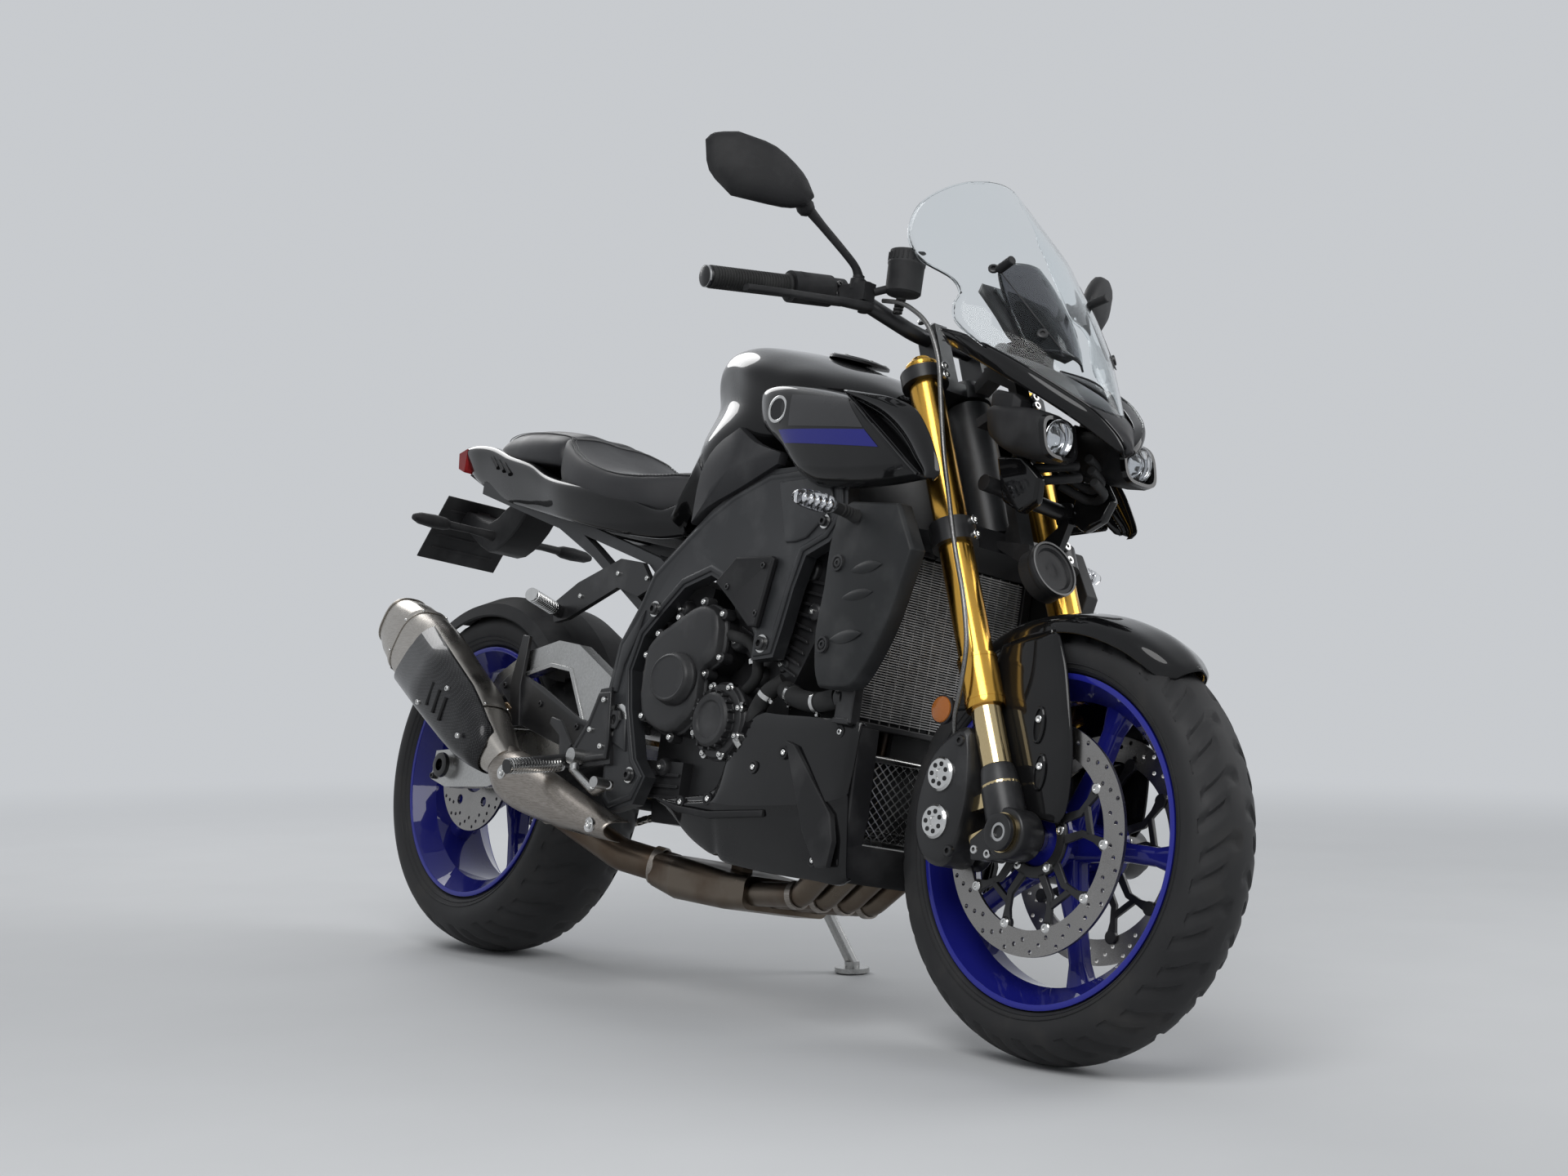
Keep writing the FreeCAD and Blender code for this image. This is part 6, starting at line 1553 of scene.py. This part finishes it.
MUFFLER = ((-206, 416, 328, 27, 27), (-207, 440, 341, 34, 34), (-208, 470, 358, 42, 44), (-209, 505, 380, 47, 55),
           (-210, 540, 404, 50, 62), (-212, 620, 452, 51.5, 66.5), (-212, 700, 500, 52, 70), (-212, 760, 534, 49, 65),
           (-212, 800, 556, 46, 58), (-211, 830, 572.5, 40, 48))


def muffler_ring(x, y, z, half, tall, grow=0.0, count=48):
    """A rounded many-sided section, square to the silencer."""
    up = Vector((0, -0.51, 0.86))
    ring = []
    for i in range(count):
        a = 2 * math.pi * i / count
        c, s = math.cos(a), math.sin(a)
        ring.append(Vector((x, y, z)) + Vector(((half + grow) * math.copysign(abs(c) ** 0.72, c), 0, 0))
                    + up * ((tall + grow) * math.copysign(abs(s) ** 0.72, s)))
    return ring


def make_exhaust():
    body = loft([muffler_ring(*s) for s in MUFFLER])
    piece("muffler_body", body, TITANIUM, stands_for=("muffler",))
    first = Vector(MUFFLER[-1][:3])
    heading = Vector((0, 0.86, 0.51))
    cap = loft([muffler_ring(*MUFFLER[-1], grow=2.5), [p + heading * 2 for p in muffler_ring(*MUFFLER[-1], grow=2.5)],
                [p + heading * 7 for p in muffler_ring(*MUFFLER[-1], grow=-3)],
                [p + heading * 7 for p in muffler_ring(*MUFFLER[-1], grow=-12)],
                [p + heading * 1 for p in muffler_ring(*MUFFLER[-1], grow=-14)]])
    piece("muffler_cap", cap, TITANIUM, bevel=0.8)
    # The outlet is closed by a dark cup a few millimetres in: painted shade, with soot, standing in for the pipe's
    # depth.
    outlet = lathe([(0, 21), (9, 21), (9, 18.5), (-6, 17), (-6, 0)], first + heading * 0, heading, 40)
    piece("muffler_outlet", outlet, RECESS_SHADE)
    bands, rivets = Shape(), Shape()
    for index in (3, 7):
        section = MUFFLER[index]
        loops = []
        for shift, grow in ((-5, 0.3), (-5, 1.8), (5, 1.8), (5, 0.3)):
            loops.append([p + heading * shift for p in muffler_ring(*section, grow=grow)])
        bands.join(loft(loops, False))
        for k in range(0, 48, 6):
            centre = muffler_ring(*section, grow=1.8)[k + 2]
            out = (centre - Vector(section[:3])).normalized()
            rivets.join(lathe([(0, 2.6), (1, 2.4), (1.6, 1.4), (1.8, 0)], centre, out, 12))
    piece("muffler_bands", bands, TITANIUM, bevel=0.3)
    piece("muffler_rivets", rivets, BRIGHT)
    rows = []
    for share, (x, y, z, half, tall) in enumerate(MUFFLER[1:7]):
        ring = muffler_ring(x, y, z, half, tall, grow=4.0)
        rows.append([ring[k] + heading * max(0, (share - 2) * 9 * (k - 22) / 8) for k in range(15, 38)])
    sleeve = Shape().add([p for row in rows for p in row], grid_faces(len(rows), len(rows[0])))
    piece("carbon_shield", sleeve, CARBON, thick=2.4, bevel=0)
    slots, screws = Shape(), Shape()
    # Dark rods on the shield: painted shade standing in for the slots.
    for i in range(3):
        a = Vector((-265.4, 560 + i * 24, 390 + i * 13))
        slots.join(rod(a, a + Vector((0, -14, 40)), 3.4, 12))
    for y, z in ((548, 446), (490, 366), (640, 420)):
        screws.join(bolt((-262.5, y, z), (-1, 0, 0), 5, 5))
    piece("shield_slot_shades", slots, RECESS_SHADE)
    piece("shield_screws", screws, BRIGHT)
    stay = carved([(470, 400), (500, 398), (520, 470), (500, 560), (480, 558), (486, 470)], ((-150, 0), (-158, 0)))
    piece("muffler_stay", stay, BLACK_METAL, bevel=1.5)

    top = [(77, 256), (120, 270), (190, 294), (266, 320), (330, 340), (378, 352), (408, 350)]
    low = [(88, 221), (130, 224), (200, 230), (280, 240), (350, 252), (400, 268), (424, 292)]
    rows = []
    for i, ((y0, z0), (y1, z1)) in enumerate(zip(top, low)):
        out = (222, 234, 242, 246, 246, 244, 240)[i]
        rows.append([Vector((-out + depth, y0 + (y1 - y0) * t, z0 + (z1 - z0) * t)) for t, depth in
                     ((0, 44), (0.06, 22), (0.2, 8), (0.42, 1), (0.6, 0), (0.8, 7), (0.94, 20), (1, 38))])
    piece("exhaust_guard", skin(rows, 6, 4), SHIELD, stands_for=("exhaust_heat_shield",), thick=1.5)
    bolts = Shape()
    for y, z, x in ((112, 243, -231), (366, 312, -245)):
        bolts.join(lathe([(-3, 12), (1, 12), (2, 10), (1, 8), (0, 0)], (x, y, z), (-1, 0, 0), 28))
        bolts.join(bolt((x, y, z), (-1, 0, 0), 6, 3.5))
    bands = Shape()
    for centre, heading_of, size in (((-200, 420, 330), (0.0, 0.8, 0.52), 28),
                            ((-70, 128, 194), (-0.5, 0.85, 0.13), 28.5),
                                     ((-176, 300, 268), (-0.35, 0.78, 0.5), 28.5)):
        bands.join(lathe([(-8, size), (-8, size + 3), (8, size + 3), (8, size)], centre, heading_of, 40, True))
    for x in (-78, -26, 26, 78):
        bands.join(lathe([(-6, 19), (-6, 22), (6, 22), (6, 19)], (x * 0.92, -230, 179), (0, 1, -0.1), 32, True))
        bands.join(lathe([(0, 19), (0, 26), (5, 26), (6, 22), (9, 21), (9, 19)], (x, -296, 634), (0, -1, -0.4), 32,
                         True))
    piece("exhaust_bands", bands, SHIELD)
    piece("exhaust_bolts", bolts, BRIGHT)


CHAIN_PITCH = 15.875


def make_chain():
    links, rollers = Shape(), Shape()
    big, small = 105.0 + 6.2, 38.0 + 6.2
    front = Vector((0, 62, 405))
    rear = Vector((0, REAR_Y, REAR_Z))
    run = rear - front
    heading = math.atan2(run.z, run.y)
    spread = math.asin((big - small) / run.length)
    path = []

    def arc(centre, radius, start, end, count):
        for i in range(count + 1):
            a = start + (end - start) * i / count
            path.append(Vector((109, centre.y + radius * math.cos(a), centre.z + radius * math.sin(a))))
    arc(rear, big, heading - math.pi / 2 - spread, heading + math.pi / 2 + spread, 60)
    arc(front, small, heading + math.pi / 2 + spread, heading + 3 * math.pi / 2 - spread, 40)
    path.append(path[0].copy())
    total = sum((b - a).length for a, b in zip(path, path[1:]))
    count = int(total / CHAIN_PITCH)
    places = along_line(path, total / count)[:count]
    for i, (place, way) in enumerate(places):
        ahead = places[(i + 1) % count][0]
        middle = (place + ahead) / 2
        wide = (ahead - place) / 2
        up = Vector((1, 0, 0)).cross(wide.normalized())
        reach = 7.0 if i % 2 else 5.2
        for side in (-1, 1):
            rings = []
            for x in (reach * side, (reach + 1.6) * side):
                ring = []
                for k in range(14):
                    a = 2 * math.pi * k / 14
                    c, s = math.cos(a), math.sin(a)
                    waist = 0.78 + 0.22 * min(abs(c) * 1.4, 1)
                    ring.append(middle + Vector((x, 0, 0)) + wide * (1.42 * math.copysign(abs(c) ** 0.8,
                                            c)) + up * (5.6 * s * waist))
                rings.append(ring)
            links.join(loft(rings))
        rollers.join(rod(place - Vector((8.4, 0, 0)), place + Vector((8.4, 0, 0)), 2.6, 8))
        rollers.join(rod(place - Vector((5, 0, 0)), place + Vector((5, 0, 0)), 4.8, 10))
    piece("chain_links", links, CHAIN, stands_for=("drive_chain",))
    piece("chain_rollers", rollers, CHAIN)
    wheel = Shape()
    teeth = 17
    outline = []
    for i in range(teeth * 4):
        a = 2 * math.pi * i / (teeth * 4)
        outline.append((62 + (37.5 if i % 4 in (0, 1) else 33) * math.cos(a),
                        405 + (37.5 if i % 4 in (0, 1) else 33) * math.sin(a)))
    wheel.join(prism(outline, 106.5, 111.5))
    wheel.join(rod((92, 62, 405), (120, 62, 405), 16, 24))
    piece("gearbox_sprocket", wheel, STEEL, bevel=0.5)


def make_rear():
    window = [(306, 424), (354, 496), (410, 503), (496, 484), (562, 440), (518, 404), (402, 404)]
    rim = Shape()
    for outline, steps in ((window, ((-147, -2), (-149.6, -2), (-149.6, -9), (-147, -10))),):
        loops = [[Vector((x, y, z)) for y, z in offset_outline(outline, inset)] for x, inset in steps]
        rim.join(loft(loops, False))
    piece("swingarm_rims", rim, ALLOY, bevel=0.6)
    guards = Shape()
    guards.join(carved([(190, 396), (300, 420), (420, 470), (520, 500), (566, 470), (470, 400), (350, 372), (220, 380)],
                       ((-147, 0), (-151, 0), (-152.5, 2.5))))
    piece("swingarm_guard", guards, BLACK_METAL, bevel=1)
    bolts = Shape()
    for y, z in ((214, 396), (300, 404), (420, 440), (512, 480), (540, 470)):
        bolts.join(bolt((-152, y, z), (-1, 0, 0), 5.5, 4))
    for side in (1, -1):
        bolts.join(lathe([(0, 0), (0, 22), (3, 23), (8, 22), (9, 18), (9, 11)], (side * 156, REAR_Y, REAR_Z),
                         (side, 0, 0), 36))
        bolts.join(bolt((side * 148, 742, 300), (side, 0, 0), 6, 6))
        bolts.join(rod((side * 140, 744, 320), (side * 140, 757, 320), 6, 6))
    piece("rear_axle_nuts", bolts, BLACK_METAL, bevel=0.5)
    bracket = carved([(500, 430), (520, 440), (600, 420), (640, 360), (620, 344), (590, 380), (540, 404)],
                     ((-153, 0), (-158, 0), (-159, 1.5)))
    piece("caliper_bracket", bracket, BRONZE, bevel=1)
    caps = Shape()
    caps.join(lathe([(0, 0), (0, 17), (6, 17), (8, 14), (8, 0)], (-118, 598, 392), (-1, 0, 0), 28))
    piece("rear_caliper_piston", caps, BRIGHT)

    pegs, tips = Shape(), Shape()
    for side in (1, -1):
        a, b = Vector((side * 186, 262, 340)), Vector((side * 304, 258, 319))
        way = (b - a).normalized()
        long = (b - a).length
        ribs = [(long * 0.12, 0), (long * 0.12, 13)]
        for i in range(18):
            ribs += [(long * (0.14 + 0.047 * i), 13.4), (long * (0.14 + 0.047 * i) + 2.6, 13.4),
                     (long * (0.14 + 0.047 * i) + 3.0, 12.2), (long * (0.14 + 0.047 * i) + 5.0, 12.2)]
        pegs.join(lathe(ribs + [(long + 1, 13), (long + 2, 0)], a, way, 16))
        a, b = Vector((side * 118, 462, 609)), Vector((side * 205, 420, 622))
        way = (b - a).normalized()
        long = (b - a).length
        ribs = [(long * 0.2, 0), (long * 0.2, 12)]
        for i in range(13):
            ribs += [(long * (0.22 + 0.058 * i), 12.4), (long * (0.22 + 0.058 * i) + 2.4, 12.4),
                     (long * (0.22 + 0.058 * i) + 2.8, 11.2), (long * (0.22 + 0.058 * i) + 4.4, 11.2)]
        tips.join(lathe(ribs + [(long + 1, 12), (long + 2, 0)], a, way, 16))
    piece("rider_pegs", pegs, BRIGHT)
    piece("passenger_pegs", tips, BRIGHT)
    plates = Shape()
    for outline, x in (([(170, 462), (158, 384), (158, 352), (262, 340), (268, 352), (224, 410), (203, 460)], 181),):
        plates.join(carved(outline, ((x, 0), (x + 4, 0), (x + 5.5, 2), (x + 5.5, 7), (x + 3.5, 9))))
    plates.join(carved([(272, 336), (262, 372), (300, 410), (330, 416), (334, 404), (300, 384), (288, 340)],
                       ((181, 0), (186, 0), (187, 1.5))))
    piece("hanger_plates", plates.both(), BLACK_METAL, bevel=1)
    screws = Shape()
    for y, z in ((184, 448), (176, 372), (250, 352), (212, 398)):
        screws.join(bolt((184.5, y, z), (1, 0, 0), 5, 5))
    for y, z in ((214, 664), (300, 674), (404, 636), (470, 606)):
        screws.join(bolt((114, y, z), (1, 0, 0), 4.5, 4))
    piece("hanger_screws", screws.both(), BRIGHT)


def make_plate_holder():
    body = Shape()
    arm = [(740, 828), (786, 770), (862, 742), (962, 792), (992, 800), (968, 828), (872, 800), (800, 836)]
    loops = []
    for x, inset in ((-36, 4), (-33, 0), (33, 0), (36, 4)):
        loops.append([Vector((x, y, z)) for y, z in offset_outline(smooth_outline(arm, 3), inset)])
    body.join(loft(loops))
    a, b = Vector((0, 950, 846)), Vector((0, 1037, 730))
    out = Vector((0, 0.79, 0.6))
    rings = []
    for grow, rise in ((0, -3), (0, 0), (-4, 1.6), (-10, 1.6), (-12, 0)):
        ring = []
        for sx, t in ((-1, 0), (1, 0), (1, 1), (-1, 1)):
            place = a.lerp(b, t)
            ring.append(Vector((sx * (89 + grow), place.y, place.z))
                        + (a - b).normalized() * (grow if t == 0 else -grow) + out * (rise - 1.5))
        rings.append(ring)
    body.join(loft(rings))
    for i in range(4):
        t = 0.2 + 0.2 * i
        place = a.lerp(b, t) - out * 3
        body.join(loft([[place + Vector((x, 0, 0)) + (a - b).normalized() * d - out * e for d, e in ((-2, 0), (2, 0),
                                (2, 3), (-2, 3))]
                        for x in (-70, 70)]))
    body.join(lathe([(-14, 0), (-14, 9), (14, 9), (14, 0)], (0, 962, 822), (1, 0, 0), 20))
    piece("plate_carrier", body, MATTE, stands_for=("plate_holder",), bevel=1.2)
    lamps = Shape()
    for side in (1, -1):
        lamps.join(tube([Vector((side * 30, 850, 772)), Vector((side * 80, 858, 775)),
                         Vector((side * 128, 867, 776))], 7, 14, 4, [10, 7, 8]))
        rings = []
        for x, half, tall in ((124, 8, 8), (136, 14, 12), (160, 16, 13), (190, 14, 11), (203, 8, 6), (205, 3, 3)):
            rings.append([Vector((side * x, 868 + half * math.cos(t),
                                  776 + tall * math.sin(t))) for t in (2 * math.pi * k / 24 for k in range(24))])
        lamps.join(loft(rings))
    piece("rear_turn_signals", lamps, MATTE)
    glass = Shape()
    for side in (1, -1):
        rows = []
        for x, tall in ((138, 8), (160, 10), (188, 8)):
            rows.append([Vector((side * x, 868 + 15.4 * math.cos(t), 776 + tall * math.sin(t) * 1.12)) for t in (-0.9,
                                    -0.45, 0, 0.45, 0.9)])
        glass.join(skin(rows, 4, 3))
    piece("rear_signal_lenses", glass, SMOKE, thick=1)


# ---------------------------------------------------------------- handlebar and controls
def bar_axis():
    """Where the CAD grips lie, in the upright frame."""
    back = UPRIGHT.inverted()
    points = [back @ v.co for v in NODES["grips"].data.vertices]
    right = [p for p in points if p.x < 0]
    low = min(right, key=lambda p: p.x).x
    high = max(right, key=lambda p: p.x).x
    ends = []
    for x in (high, low):
        near = [p for p in right if abs(p.x - x) < 9]
        ends.append(sum(near, Vector()) / len(near))
    return ends


def make_bar():
    inner, outer = bar_axis()
    grips, ends, rims = Shape(), Shape(), Shape()
    for side in (-1, 1):
        a = Vector((-side * inner.x if side > 0 else inner.x, inner.y, inner.z))
        b = Vector((-side * outer.x if side > 0 else outer.x, outer.y, outer.z))
        a.x, b.x = side * abs(inner.x), side * abs(outer.x)
        way = (b - a).normalized()
        long = (b - a).length
        profile = [(0, 12.6), (0, 19), (3, 19.5), (5, 17)]
        steps = 26
        for i in range(steps):
            s = 6 + (long - 12) * i / steps
            step = (long - 12) / steps
            profile += [(s + step * 0.1, 17.2), (s + step * 0.2, 16.2), (s + step * 0.5, 16.2), (s + step * 0.6, 17.2)]
        profile += [(long - 5, 17.2), (long - 2, 17), (long, 12.6)]
        grips.join(lathe(profile, a, way, 32))
        ends.join(lathe([(0, 12), (0, 15), (2, 16), (9, 15.5), (11, 13), (12, 0)], b - way * 3, way, 28))
        rims.join(lathe([(3, 15.6), (3, 16.4), (6, 16.4), (6, 15.6)], b, way, 28, True))
    piece("ribbed_grips", grips, GRIP, "steering", ("grips",))
    piece("bar_ends", ends, BLACK_METAL, "steering")
    piece("bar_end_rings", rims, STEEL, "steering")

    blocks, buttons, bolts = Shape(), Shape(), Shape()
    for side in (-1, 1):
        a = Vector((side * abs(inner.x), inner.y, inner.z))
        b = Vector((side * abs(outer.x), outer.y, outer.z))
        way = (b - a).normalized()
        rings = []
        for s, half, tall in ((-52, 16, 15), (-48, 20, 19), (-30, 22, 23), (-12, 22, 24), (-3, 19, 20), (-1, 16, 16)):
            centre = a + way * s
            fore, up = Vector((0, -1, 0)), Vector((0, 0, 1))
            ring = []
            for k in range(24):
                t = 2 * math.pi * k / 24
                c, n = math.cos(t), math.sin(t)
                ring.append(centre + fore * half * math.copysign(abs(c) ** 0.7,
                                        c) + up * tall * math.copysign(abs(n) ** 0.7, n))
            rings.append(ring)
        blocks.join(loft(rings))
        for s, size in ((-40, 5), (-26, 6), (-14, 4.5)):
            centre = a + way * s + Vector((0, 21, 6))
            buttons.join(lathe([(0, size), (4, size), (5.5, size * 0.7), (5.5, 0)], centre, (0, 1, 0.2), 18))
        for s in (-64, -82):
            blocks.join(lathe([(-6, 12.6), (-6, 19), (-4, 20.5), (4, 20.5), (6, 19), (6, 12.6)], a + way * s, way, 24,
                              True))
        bolts.join(bolt(a + way * -73 + Vector((0, -22, 8)), (0, -1, 0.2), 5, 4))
        bolts.join(bolt(a + way * -73 + Vector((0, -22, -8)), (0, -1, 0.2), 5, 4))
    piece("switch_blocks", blocks, MATTE, "steering", bevel=1)
    piece("switch_buttons", buttons, RUBBER, "steering", bevel=0.3)
    piece("switch_bolts", bolts, BLACK_METAL, "steering")

    tank = Vector((-150, -376, 1076))
    pot = lathe([(0, 0), (0, 24), (3, 27), (44, 27.5), (46, 28.5), (48, 28.5), (50, 27.5), (62, 27), (64, 24), (64, 0)],
                tank, (0, 0, 1), 40)
    for i in range(22):
        a = 2 * math.pi * i / 22
        pot.join(rod(tank + Vector((27.6 * math.cos(a), 27.6 * math.sin(a), 50)),
                     tank + Vector((27.6 * math.cos(a), 27.6 * math.sin(a), 62)), 1.4, 6))
    piece("reservoir_cap", pot, MATTE, "steering")
    cuffs = Shape()
    for i in range(5):
        cuffs.join(lathe([(0, 5), (0, 7.5), (3, 7.5), (3, 5)], (-152 - i * 0.5, -376 + i * 0.5, 1070 - i * 5),
                         (0, 0, -1), 16, True))
    piece("reservoir_neck", cuffs, RUBBER, "steering")
    clamps = Shape()
    for side in (-1, 1):
        top = Vector((side * 60, -338, 1052))
        for shift in (-12, 12):
            clamps.join(bolt(top + Vector((shift, 0, 6)), (0, 0.4, 0.9), 5.5, 5))
    piece("bar_clamp_bolts", clamps, BRIGHT, "steering")


def build_all():
    make_tank()
    make_tank_panels()
    make_seats()
    make_tail()
    make_screen()
    make_nose()
    make_headlights()
    make_horn()
    make_mirrors()
    make_dash()
    make_fork()
    make_calipers()
    make_disc_spiders()
    make_tyres()
    make_fender()
    make_frame()
    make_engine()
    make_radiators()
    make_belly()
    make_exhaust()
    make_chain()
    make_rear()
    make_plate_holder()
    make_bar()


# ---------------------------------------------------------------- floor, light and camera
def floor_material():
    """Pale paper that runs out into the backdrop's colour, where it is only seen and lights nothing."""
    p = Paint("floor_paper", (0.60, 0.61, 0.62), 0.9)
    grain = p.noise(3, 3)
    p.tint(grain, (0.3, (0.60, 0.61, 0.62)), (0.7, (0.62, 0.63, 0.64)))
    reach = p.node("ShaderNodeVectorMath", operation="LENGTH")
    p.link(p.place, reach.inputs[0])
    fade = p.node("ShaderNodeMapRange", interpolation_type="SMOOTHSTEP")
    fade.inputs["From Min"].default_value = 1.6
    fade.inputs["From Max"].default_value = 5.5
    p.link(reach.outputs["Value"], fade.inputs["Value"])
    seen = p.node("ShaderNodeMath", operation="MULTIPLY")
    p.link(fade.outputs["Result"], seen.inputs[0])
    p.link(background_rays(p.tree), seen.inputs[1])
    glow = p.node("ShaderNodeEmission")
    glow.inputs["Color"].default_value = (*BACKDROP, 1)
    glow.inputs["Strength"].default_value = BACKDROP_LEVEL
    mix = p.node("ShaderNodeMixShader")
    p.link(seen.outputs[0], mix.inputs[0])
    p.link(p.shader.outputs[0], mix.inputs[1])
    p.link(glow.outputs[0], mix.inputs[2])
    p.link(mix.outputs[0], p.tree.nodes["Material Output"].inputs["Surface"])
    return p.material


def background_rays(tree):
    """1 for a ray from the camera, in gloss or through glass."""
    rays = tree.nodes.new("ShaderNodeLightPath")
    found = rays.outputs["Is Camera Ray"]
    for kind in ("Is Transmission Ray", "Is Glossy Ray"):
        either = tree.nodes.new("ShaderNodeMath")
        either.operation = "MAXIMUM"
        tree.links.new(found, either.inputs[0])
        tree.links.new(rays.outputs[kind], either.inputs[1])
        found = either.outputs[0]
    return found


BACKDROP = (0.93, 0.96, 1.0)
BACKDROP_LEVEL = 0.62
WORLD_LIGHT = 0.36


def studio():
    ground = bpy.data.meshes.new("floor")
    reach = 14.0
    ground.from_pydata([(-reach, -reach, 0), (reach, -reach, 0), (reach, reach, 0), (-reach, reach, 0)], [],
                       [(0, 1, 2, 3)])
    ground.materials.append(floor_material())
    floor = bpy.data.objects.new("floor", ground)
    bpy.context.scene.collection.objects.link(floor)

    world = bpy.data.worlds.new("studio")
    bpy.context.scene.world = world
    world.use_nodes = True
    tree = world.node_tree
    background = tree.nodes["Background"]
    strength = tree.nodes.new("ShaderNodeMapRange")
    strength.inputs["To Min"].default_value = WORLD_LIGHT
    strength.inputs["To Max"].default_value = BACKDROP_LEVEL
    tree.links.new(background_rays(tree), strength.inputs["Value"])
    tree.links.new(strength.outputs["Result"], background.inputs["Strength"])
    background.inputs["Color"].default_value = (*BACKDROP, 1)

    for name, place, size, power in (("key", (-2.6, -2.2, 3.4), 2.6, 85), ("fill", (2.8, -2.4, 2.6), 2.6, 50),
                                     ("back", (0.6, 3.4, 3.0), 2.4, 55)):
        lamp = bpy.data.lights.new(name, "AREA")
        lamp.shape = "DISK"
        lamp.size = size
        lamp.energy = power
        lit = bpy.data.objects.new(name, lamp)
        bpy.context.scene.collection.objects.link(lit)
        lit.location = place
        aim = Vector((0, 0, 0.6)) - Vector(place)
        lit.rotation_mode = "QUATERNION"
        lit.rotation_quaternion = aim.to_track_quat("-Z", "Y")


def make_camera():
    yaw, pitch = math.radians(39.44), math.radians(0.95)
    view = bpy.data.cameras.new("camera")
    view.lens = 51.97
    view.sensor_width = 36.0
    view.clip_end = 60
    made = bpy.data.objects.new("camera", view)
    bpy.context.scene.collection.objects.link(made)
    made.location = front_centre + Vector((-2.2781, -2.1530, 0.2997))
    looking = Vector((math.sin(yaw) * math.cos(pitch), math.cos(yaw) * math.cos(pitch), math.sin(pitch)))
    made.rotation_mode = "QUATERNION"
    made.rotation_quaternion = looking.to_track_quat("-Z", "Y")
    bpy.context.scene.camera = made


make_camera()
studio()
bpy.context.scene.view_settings.view_transform = "Standard"
dress_nodes()
build_all()
